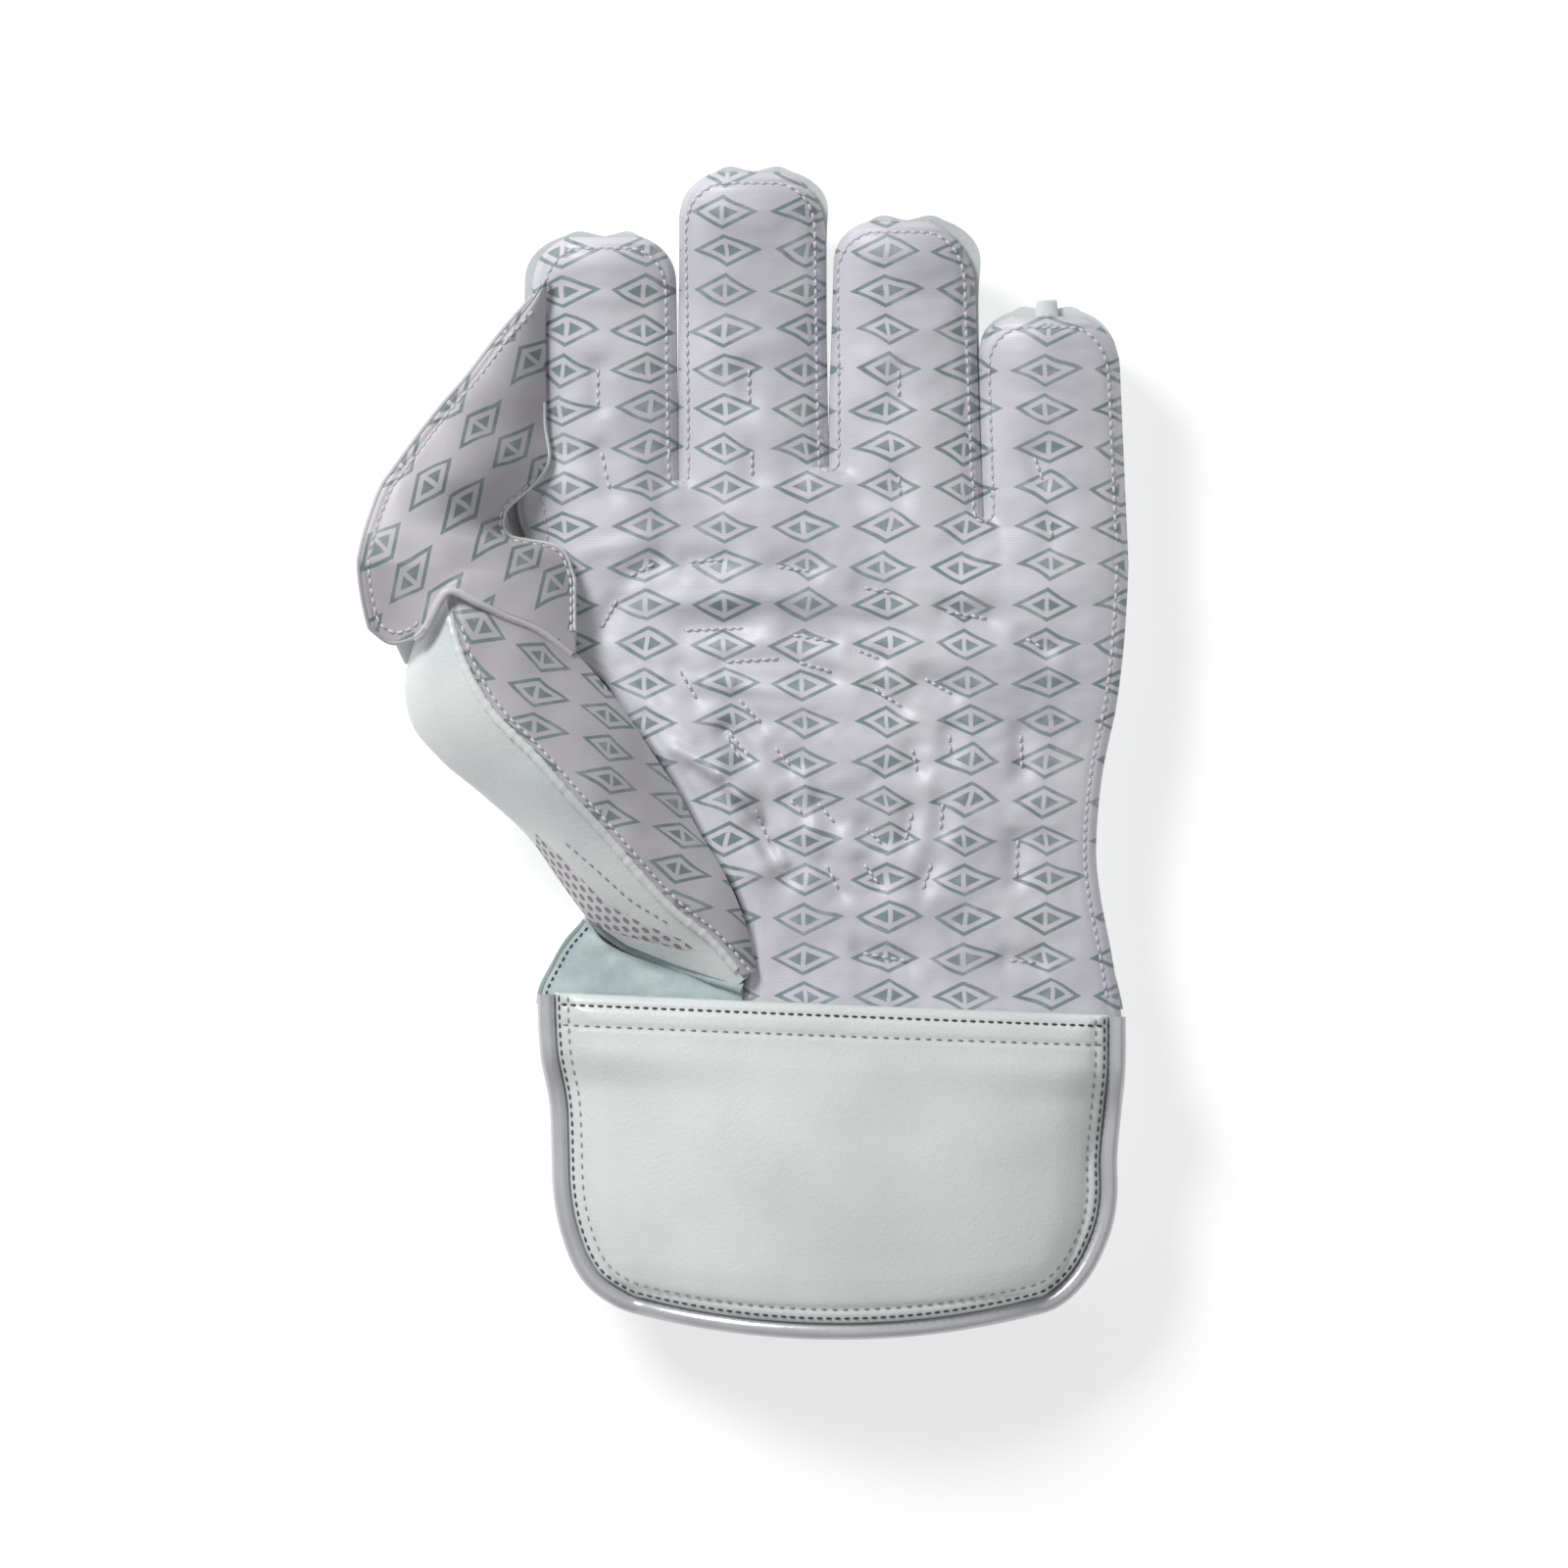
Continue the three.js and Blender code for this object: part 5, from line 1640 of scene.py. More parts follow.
@dataclass
class PalmFacing:
    """The printed grip facing over the palm and the four finger fronts."""

    finger_columns: int = 30
    finger_rows: int = 64
    palm_rows: int = 120
    seam_in: float = 2.6
    groove: float = 0.45
    groove_width: float = 0.7
    edge_drop: float = 0.9
    edge_round: float = 0.9
    broad_rise: float = 0.75
    broad_wrinkle: float = 12.0
    fine_rise: float = 0.3
    fine_wrinkle: float = 4.5
    tack_depth: float = 1.6
    tack_reach: float = 3.0
    rim_round: float = 0.5
    tip_reach: tuple = (1.8, 1.8, 1.8, 0.8)
    root_flange: float = 4.0
    flange_along: float = 0.915
    flange_length: float = 9.0
    flange_width: float = 8.0
    seed: float = 4.0

    def relief(self, x: np.ndarray, y: np.ndarray, from_edge: np.ndarray) -> np.ndarray:
        """Small relief of the facing: rolled edge, stitched groove, tacks and wrinkles.

        Args:
            x: The plan points' x.
            y: The plan points' y.
            from_edge: Millimetres from the nearest edge.

        Returns:
            The rise in millimetres.
        """
        rise = -self.edge_drop * swell(from_edge, self.edge_round)
        rise -= self.groove * swell(from_edge - self.seam_in, self.groove_width)
        rise += ridges(x, y, [(*tack, -self.tack_depth, self.tack_reach) for tack in TACKS])
        rise += ridges(x, y, CREASES)
        inside = smoothstep((from_edge - 3.0) / 6.0)
        wrinkle = self.broad_rise * ripple(x * 0.7, y * 1.4, self.broad_wrinkle, self.seed)
        wrinkle += self.fine_rise * ripple(x, y * 1.5, self.fine_wrinkle, self.seed + 7)
        return rise + inside * wrinkle

    def flange(self, x: np.ndarray, y: np.ndarray) -> np.ndarray:
        """The plan's x with the facing let out to the thumb side below the index finger."""
        return x - self.let_out(y) * swell(x - x[:, :1], self.flange_width)

    def let_out(self, y: np.ndarray) -> np.ndarray:
        """How far the edge is let out at a height along the hand."""
        return self.root_flange * swell(y - self.flange_along * SIZE.palm_length, self.flange_length)

    def cells(self, x: np.ndarray, y: np.ndarray, lift: np.ndarray, from_edge: np.ndarray) -> Grid:
        """A grid of the facing from plan points and their lift over the seam.

        Args:
            x: The plan points' x.
            y: The plan points' y.
            lift: Millimetres over the seam.
            from_edge: Millimetres from the nearest edge.

        Returns:
            The grid.
        """
        low = seam_at(y) + SIZE.gap / 2 + lift
        top = low + SIZE.facing_wall + self.relief(x, y, from_edge)
        return Grid.upright(x, y, top, low)

    def finger_grid(self, number: int) -> Grid:
        """One finger's grid, from the crotch line to the tip.

        Args:
            number: The finger, from 0 at the index.

        Returns:
            The grid.
        """
        finger = FINGERS[number]
        u, v = np.meshgrid(
            ease_in_columns(self.finger_columns),
            np.sin(np.linspace(0, math.pi / 2, self.finger_rows)) ** 0.9,
        )
        left = 0.0 if number == 0 else -SIZE.slit / 2
        right = 0.0 if number == len(FINGERS) - 1 else -SIZE.slit / 2
        left = left - finger.twist * smoothstep(v)
        reach = self.tip_reach[number]
        x, y = finger_point(number, u, v, left, right, reach, finger.twist)
        if number == 0:
            x = self.flange(x, y)
        x = x - 1.1 * finger.twist * np.maximum(0, u) ** 2 * smoothstep((v - 0.78) / 0.18)
        lift = pillow_at(u, v, finger.length)
        side = (1 - np.abs(u)) * finger.width / 2
        tip = (1 - v) * (finger.length + reach)
        return self.cells(x, y, lift, np.minimum(side, tip))

    def palm_grid(self) -> Grid:
        """The palm's grid, whose last row is the crotch line.

        Returns:
            The grid.
        """
        u = ease_in_columns(self.finger_columns)
        xs, ys, lifts, edges = [], [], [], []
        for number, finger in enumerate(FINGERS):
            keep = u if number == 0 else u[1:]
            x, y = finger_point(number, keep, np.zeros(len(keep)), 0.0, 0.0, 0.0)
            xs.append(x)
            ys.append(y)
            lifts.append(pillow_at(keep, 0.0, finger.length))
            edges.append((1 - np.abs(keep)) * finger.width / 2)
        top_x, top_y, top_lift = (np.concatenate(part) for part in (xs, ys, lifts))
        first = (CROTCHES[0][0], CROTCHES[0][1], CROTCHES[-1][0], CROTCHES[-1][1])
        table = np.array([first, *PALM_ROWS])
        at = np.linspace(0, len(PALM_ROWS), self.palm_rows)
        keys = np.arange(len(table))
        left_x, left_y, right_x, right_y = (through(keys, table[:, k], at)[:, None] for k in range(4))
        even = np.linspace(0, 1, len(top_x))[None, :]
        spread = ((top_x - top_x[0]) / (top_x[-1] - top_x[0]))[None, :]
        fade = np.maximum(0, 1 - at / 4)[:, None]
        share = lerp(even, spread, fade)
        x = lerp(left_x, right_x, share) * SIZE.palm_width
        drop = top_y[None, :] - lerp(top_y[0], top_y[-1], spread)
        y = lerp(left_y, right_y, share) * SIZE.palm_length + drop * fade
        x[0], y[0] = top_x, top_y
        arch = arch_at(x, y)
        edge = np.minimum(1, arch / (0.45 * SIZE.palm_arch))
        lift = lerp(arch, np.maximum(top_lift[None, :], arch * 0.6), fade * fade)
        lift = np.maximum(0, lift + edge * ridges(x, y, PALM_FOLDS) * (1 - fade**2))
        lift[0] = top_lift
        wide = (right_x - left_x) * SIZE.palm_width
        from_edge = np.minimum(share, 1 - share) * wide
        from_edge = lerp(from_edge, np.concatenate(edges)[None, :], fade**8)
        grid = self.cells(self.flange(x, y), y, lift, from_edge)
        return Grid(grid.outer[::-1], grid.inner[::-1], grid.flat[::-1])

    def finger_route(self, number: int) -> np.ndarray:
        """The stitched line round one finger, from its left side over the tip.

        Args:
            number: The finger, from 0 at the index.

        Returns:
            The line's plan points.
        """
        finger = FINGERS[number]
        v = np.linspace(0.1, 1, 60)
        keep = -self.seam_in
        reach = keep + self.tip_reach[number]
        ones = np.ones_like(v)
        left = finger_point(number, -ones, v, keep, keep, reach, finger.twist)
        right = finger_point(number, ones, v, keep, keep, reach, finger.twist)
        return np.vstack([np.column_stack(left), np.column_stack(right)[::-1]])

    def crotch_route(self, number: int) -> np.ndarray:
        """The stitched turn below a slit.

        Args:
            number: The finger, from 0 at the index.

        Returns:
            The line's plan points.
        """
        x, y = plan(*CROTCHES[number])
        angle = np.linspace(math.pi, 2 * math.pi, 9)
        turn = np.column_stack([x + self.seam_in * np.cos(angle), y + 1 + self.seam_in * np.sin(angle)])
        return np.vstack([[turn[0] + [0, 6]], turn, [turn[-1] + [0, 6]]])

    def side_routes(self) -> list[np.ndarray]:
        """The stitched lines down the palm's two sides.

        Returns:
            The two lines' plan points.
        """
        table = np.array([(CROTCHES[0][0], CROTCHES[0][1], CROTCHES[-1][0], CROTCHES[-1][1]), *PALM_ROWS])
        keys = np.arange(len(table))
        right_at = np.linspace(0, len(table) - 1.4, 120)
        left_at = np.linspace(0, 2, 30)
        right = np.column_stack(plan(*(through(keys, table[:, k], right_at) for k in (2, 3))))
        left = np.column_stack(plan(*(through(keys, table[:, k], left_at) for k in (0, 1))))
        return [inset(right, self.seam_in), inset(left, -self.seam_in)]

    def build(self, facing: Material, lining: Material) -> Piece:
        """Builds and dresses the facing.

        Args:
            facing: The facing's material.
            lining: The lining.

        Returns:
            The facing.
        """
        grids = [self.finger_grid(number) for number in range(len(FINGERS))]
        grids.append(self.palm_grid())
        piece = sheet_piece("palm_facing_sheet", grids, [facing, lining], self.rim_round)
        dress(piece, Slot.PALM_FACING, "palm_facing")
        return piece

    def sew(self, surface: Surface, thread: Material, shade: Material) -> None:
        """Sews the edges and the tacks.

        Args:
            surface: What lies below.
            thread: The thread.
            shade: The painted shade inside the needle holes.
        """
        routes = [self.finger_route(number) for number in range(len(FINGERS))]
        routes += [self.crotch_route(number) for number in range(1, len(FINGERS))]
        routes += self.side_routes()
        edge = Seam("palm_facing_edge_thread", routes)
        tacks = [np.array([plan(t[0], t[1]), plan(t[2], t[3])]) for t in TACKS]
        tack = Seam(
            "palm_facing_tack_thread", tacks, pitch=2.3, stitch=1.85, thick=0.44, proud=0.34, hole=0.24
        )
        for row in (edge, tack):
            dress(row.build(surface, thread, shade), Slot.PALM_FACING)


@dataclass
class Stalls:
    """The padded leather backs of the four fingers, with two rolls at each tip."""

    columns: int = 48
    rows: int = 54
    tip_roll: float = 1.2
    roll_middle: float = 6.0
    roll_width: float = 6.5
    valley: float = 0.12
    valley_width: float = 0.2
    fill: float = 0.8

    def skin(self, number: int, inside: bool, v: np.ndarray, share: np.ndarray) -> np.ndarray:
        """One skin of a finger's stall.

        Args:
            number: The finger, from 0 at the index.
            inside: Whether it is the inner skin.
            v: Along, from 0 to 1.
            share: Share of the way across.

        Returns:
            The skin's points.
        """
        finger = FINGERS[number]
        across, depth = hull_point(share, SIZE.stall_power)
        lip = -SIZE.slit / 2
        valley = 1 - self.valley * swell(across, self.valley_width)
        from_tip = np.clip((1 - v) * finger.length / SIZE.tip_round, 0, 1)
        dome = np.where(v < 1, tip_share(from_tip, 0.0), 0.0)
        if inside:
            keep = lip - SIZE.seam_lap
            x, y = finger_point(number, across, v, keep, keep, -SIZE.seam_lap)
            wall = SIZE.back_wall
        else:
            left = finger.flange if number == 0 else lip
            right = 0.0 if number == len(FINGERS) - 1 else lip
            x, y = finger_point(number, across, v, left, right, SIZE.tip_pad)
            y = y + np.sin(math.pi * np.abs(across) ** 1.5) * smoothstep((v - 0.8) / 0.2) * self.tip_roll
            bulge = swell((1 - v) * finger.length - self.roll_middle, self.roll_width)
            x = x + 0.7 * finger.twist * np.maximum(0, across) ** 2 * bulge
            wall = 0.0
        rim = seam_at(y) - SIZE.gap / 2
        floor = curl_at(y) * 0.9
        full = rim - floor - wall + SIZE.hull_sink
        return np.stack([x, y, np.maximum(floor + wall, rim - full * depth * dome * valley)], 2)

    def build(self, leather: Material, lining: Material) -> None:
        """Builds and dresses the four stalls.

        Args:
            leather: The leather.
            lining: The lining.
        """
        share, v = np.meshgrid(
            np.linspace(0, 1, self.columns + 1),
            np.sin(np.linspace(0, math.pi / 2, self.rows)) ** 0.9,
        )
        for number, finger in enumerate(FINGERS):
            outer = self.skin(number, False, v, share)
            inner = self.skin(number, True, v, share)
            name = f"{finger.name}_stall"
            grid = Grid(outer, inner, outer[:, :, :2])
            piece = sheet_piece(name, [grid], [leather, lining], crease=HULL_SHARP)
            dress(piece, Slot.LEATHER, f"{finger.name}_back")

    def build_tab(self, leather: Material) -> None:
        """The small tab over the little finger's tip.

        Args:
            leather: The leather.
        """
        number = len(FINGERS) - 1
        tip_x, tip_y = finger_point(number, np.zeros(1), np.ones(1), 0.0, 0.0, 0.0)
        share, side = np.meshgrid(np.linspace(0, 1, 9), np.linspace(-1, 1, 9), indexing="ij")
        y = tip_y + SIZE.gap + 0.9 + share * (SIZE.tip_pad + SIZE.tab_reach - 1.5)
        x = tip_x + side * (SIZE.tab_width / 2 - 0.6) * (1 - 0.15 * share)
        low = seam_at(y) + SIZE.gap / 2 + 0.4
        top = low + SIZE.tab_wall * (1 - 0.35 * side**2)
        grid = Grid.upright(x, y, top, low)
        piece = sheet_piece("little_tip_tab", [grid], [leather], 0.5)
        dress(piece, Slot.LEATHER, "little_tab")


@dataclass
class HandBack:
    """The leather back and sides of the hand."""

    stall_columns: int = 24
    rows: int = 70
    base_span: tuple = (21.0, 106.0)

    def skin(self, wall: float, v: np.ndarray) -> np.ndarray:
        """One skin of the hand's back.

        Args:
            wall: Millimetres in from the outer skin.
            v: Along, from 0 to 1.

        Returns:
            The skin's points.
        """
        xs, ys, depths = [], [], []
        for number in range(len(FINGERS)):
            share = np.linspace(0, 1, self.stall_columns + 1)
            keep = slice(0 if number == 0 else 1, None)
            across, depth = hull_point(share, SIZE.stall_power)
            x, y = finger_point(number, across, np.zeros_like(across), 0.0, 0.0, 0.0)
            xs.append(x[keep])
            ys.append(y[keep])
            depths.append(np.maximum(depth, 0.12)[keep])
        start_x, start_y, near = (np.concatenate(part) for part in (xs, ys, depths))
        near[[0, -1]] = 0.0
        y = lerp(start_y[None, :] - SIZE.gap, -0.8 * SIZE.gap, v[:, None])
        left, right = hand_sides(y)
        spread = (start_x - start_x[0]) / (start_x[-1] - start_x[0])
        x = lerp(left + wall, right - wall, spread[None, :])
        wide = (1 - np.minimum(1, np.abs(2 * spread - 1)) ** SIZE.hand_power) ** (1 / SIZE.hand_power)
        rim = seam_at(y) - SIZE.gap / 2
        blend = smoothstep(v / 0.3)[:, None]
        drop = lerp(near[None, :], wide[None, :], blend) * (rim - wall + SIZE.hull_sink)
        return np.stack([x, y, np.maximum(wall, rim - drop)], axis=2)

    def build(self, leather: Material, lining: Material) -> None:
        """Builds and dresses the back.

        Args:
            leather: The leather.
            lining: The lining.
        """
        v = np.linspace(0, 1, self.rows)
        outer = self.skin(0.0, v)
        inner = self.skin(SIZE.back_wall, v)
        grid = Grid(outer, inner, outer[:, :, :2])
        piece = sheet_piece("hand_back_shell", [grid], [leather, lining], crease=HULL_SHARP)
        dress(piece, Slot.BACK_LEATHER, "hand_back", "index_side", "little_side")
        y = np.linspace(*self.base_span, 60)
        left, _ = hand_sides(y)
        route = np.column_stack([left + 0.3, y, np.full_like(y, SIZE.seam_height + 0.3)])
        binding = swept("thumb_base_binding", route, 1.0, 0.9, leather)
        dress(binding, Slot.BACK_LEATHER)


@dataclass
class Thumb:
    """The thumb: printed facing, smooth leather cap and perforated panel."""

    rows: int = 110
    facing_columns: int = 30
    cap_columns: int = 64
    seam_in: float = 1.9
    groove: float = 0.4
    groove_width: float = 0.5
    wrinkle: float = 9.0
    wrinkle_rise: float = 0.5
    seed: float = 21.0

    def frame(self) -> tuple[np.ndarray, np.ndarray, np.ndarray]:
        """The thumb's base, heading and side in plan.

        Returns:
            The base, the heading and the side.
        """
        base = np.array(plan(*THUMB_BASE))
        heading = np.array(THUMB_HEADING) / np.hypot(*THUMB_HEADING)
        return base, heading, np.array([heading[1], -heading[0]])

    def sections(self) -> dict[str, np.ndarray]:
        """The section table read at fine steps, in millimetres.

        Returns:
            One row of values for each name.
        """
        table = np.array(THUMB_SECTIONS)
        names = ("edge", "seam", "bulge", "edge_up", "seam_up", "bulge_up", "floor")
        along = np.linspace(table[0, 0], table[-1, 0], self.rows)
        out = {"along": along * SIZE.thumb_length}
        for k, name in enumerate(names):
            size = SIZE.thumb_width if k < 3 else SIZE.thumb_height
            out[name] = through(table[:, 0], table[:, k + 1], along) * size
        return out

    def lay(self, along: Values, across: Values, height: Values) -> np.ndarray:
        """Points from the thumb's own coordinates.

        Args:
            along: Millimetres along it.
            across: Millimetres across it.
            height: Millimetres up.

        Returns:
            The plan points, with heights.
        """
        base, heading, side = self.frame()
        x = base[0] + along * heading[0] + across * side[0]
        y = base[1] + along * heading[1] + across * side[1]
        return np.stack([x, y, height], axis=-1)

    def grid(self, skin: ThumbSkin, wall: float) -> Grid:
        """The facing's or the cap's grid.

        Args:
            skin: Which skin it is.
            wall: Millimetres in from the outer skin.

        Returns:
            The grid.
        """
        s = self.sections()
        columns = self.facing_columns if skin is ThumbSkin.FACING else self.cap_columns
        width = s["edge"] - s["bulge"]
        centre_x = ((s["edge"] + s["bulge"]) / 2)[:, None]
        centre_z = ((np.maximum(s["seam_up"], s["edge_up"]) + s["floor"]) / 2)[:, None]
        if skin is ThumbSkin.FACING:
            share = (ease_in_columns(columns)[None, :] + 1) / 2
            rise = np.minimum(SIZE.thumb_pillow, width * 0.12)[:, None] * 4 * share * (1 - share)
            across = lerp(s["seam"][:, None], s["edge"][:, None], share)
            height = lerp(s["seam_up"][:, None], s["edge_up"][:, None], share) + rise
            from_seam = share * (s["edge"] - s["seam"])[:, None]
            height = height - self.groove * swell(from_seam - self.seam_in, self.groove_width)
            place = self.lay(np.repeat(s["along"][:, None], across.shape[1], axis=1), across, height)
            inside = smoothstep((np.minimum(share, 1 - share)) / 0.12)
            rough = ripple(place[:, :, 0], place[:, :, 1], self.wrinkle, self.seed)
            height = height + self.wrinkle_rise * inside * rough
        else:
            across, height = self.cap_loop(s, width, columns)
        away = np.hypot(across - centre_x, height - centre_z)
        keep = np.maximum(0.3, 1 - wall / np.maximum(away, 1e-6))
        along = np.repeat(s["along"][:, None], across.shape[1], axis=1)
        step = np.hypot(np.diff(across, axis=1), np.diff(height, axis=1))
        girth = np.concatenate([np.zeros((len(across), 1)), np.cumsum(step, axis=1)], axis=1)
        outer = self.lay(along, across, height)
        inner = self.lay(along, lerp(centre_x, across, keep), lerp(centre_z, height, keep))
        return Grid(outer, inner, np.stack([girth, along], axis=2))

    def cap_loop(
        self, s: dict[str, np.ndarray], width: np.ndarray, columns: int
    ) -> tuple[np.ndarray, np.ndarray]:
        """Points round the leather, from the seam over the outer side to the palm's edge.

        Args:
            s: The section table.
            width: The thumb's width at each row.
            columns: How many columns there are.

        Returns:
            Across and height, for each point.
        """
        knots_x = np.array(
            [
                s["seam"],
                lerp(s["seam"], s["bulge"], 0.62),
                s["bulge"],
                s["bulge"] + width * 0.12,
                s["bulge"] + width * 0.5,
                s["edge"] - width * 0.1,
                s["edge"],
            ]
        )
        knots_z = np.array(
            [
                s["seam_up"],
                lerp(s["seam_up"], s["bulge_up"], 0.4),
                s["bulge_up"],
                lerp(s["bulge_up"], s["floor"], 0.75),
                s["floor"],
                lerp(s["floor"], s["edge_up"], 0.2),
                s["edge_up"],
            ]
        )
        across = np.zeros((self.rows, columns + 1))
        height = np.zeros_like(across)
        for r in range(self.rows):
            x, z = knots_x[:, r], knots_z[:, r]
            run = np.concatenate([[0], np.cumsum(np.sqrt(np.hypot(np.diff(x), np.diff(z))))])
            fine = np.linspace(0, run[-1], 160)
            fine_x, fine_z = through(run, x, fine), through(run, z, fine)
            length = np.hypot(np.diff(fine_x), np.diff(fine_z))
            length = np.concatenate([[0], np.cumsum(length)])
            even = np.linspace(0, length[-1], columns + 1)
            across[r] = np.interp(even, length, fine_x)
            height[r] = np.interp(even, length, fine_z)
        return across, height

    def seam_route(self) -> np.ndarray:
        """The seam between facing and leather, with heights."""
        s = self.sections()
        return self.lay(s["along"], s["seam"], s["seam_up"])

    def build(
        self, keep_out: dict[Tool, Piece], palette: dict[Finish, Material]
    ) -> tuple[Piece, Piece]:
        """Builds and dresses the thumb.

        Args:
            keep_out: The cutting tools.
            palette: The materials.

        Returns:
            The facing and the leather cap.
        """
        facing = sheet_piece(
            "thumb_facing_sheet",
            [self.grid(ThumbSkin.FACING, SIZE.facing_wall)],
            [palette[Finish.THUMB_FACING], palette[Finish.LINING]],
        )
        cap = sheet_piece(
            "thumb_cap_leather",
            [self.grid(ThumbSkin.CAP, SIZE.thumb_wall)],
            [palette[Finish.LEATHER], palette[Finish.LINING]],
            crease=HULL_SHARP,
        )
        for tool in (Tool.FACING, Tool.WEB, Tool.LIP):
            cut(facing, keep_out[tool])
        for tool in (Tool.HAND, Tool.FACING, Tool.WEB, Tool.LIP):
            cut(cap, keep_out[tool])
        panel = cap.copy()
        panel.data = cap.data.copy()
        panel.name = "thumb_perforated_panel"
        bpy.context.scene.collection.objects.link(panel)
        cut(panel, keep_out[Tool.MESH], Cut.WITHIN)
        panel.data.materials[0] = palette[Finish.MESH]
        cut(cap, keep_out[Tool.MESH_ROOM])
        for piece in (facing, cap, panel):
            trimmed(piece)
        dress(facing, Slot.THUMB_FACING, "thumb_facing")
        dress(cap, Slot.THUMB_LEATHER, "thumb_cap")
        dress(panel, Slot.MESH, "thumb_mesh_panel")
        seam = self.seam_route()
        seam = seam[(seam[:, 1] > plan(*LIP[-1])[1] + 4) & (np.arange(len(seam)) < len(seam) - 6)]
        seam = resample(seam, 0.7)
        ragged = np.array([noise.noise(Vector((0.45 * i, 0.0, 2.0))) for i in range(len(seam))])
        wide, high = 1.1 + 0.4 * ragged, 0.8 + 0.2 * ragged
        binding = swept("thumb_seam_binding", seam, wide, high, palette[Finish.LEATHER])
        dress(binding, Slot.THUMB_LEATHER)
        return facing, cap

    def sew(
        self, facing: Surface, leather: Surface, thread: Material, pale: Material, shade: Material
    ) -> None:
        """Sews the facing's seam and the leather strip above the perforated panel.

        Args:
            facing: The facing's material.
            leather: The leather.
            thread: The thread.
            pale: The paler thread.
            shade: The painted shade inside the needle holes.
        """
        seam = self.seam_route()[:-8, :2]
        line = Seam("thumb_facing_thread", [inset(seam, self.seam_in + 0.6)]).build(facing, thread, shade)
        dress(line, Slot.THUMB_FACING)
        strip = resample(np.column_stack(plan(*np.array(MESH_STITCH).T)), 1.0)
        row = Seam(
            "thumb_strip_thread", [strip], pitch=2.6, stitch=1.5, thick=0.26, proud=0.12, hole=0.0
        )
        dress(row.build(leather, pale, shade), Slot.THUMB_LEATHER)


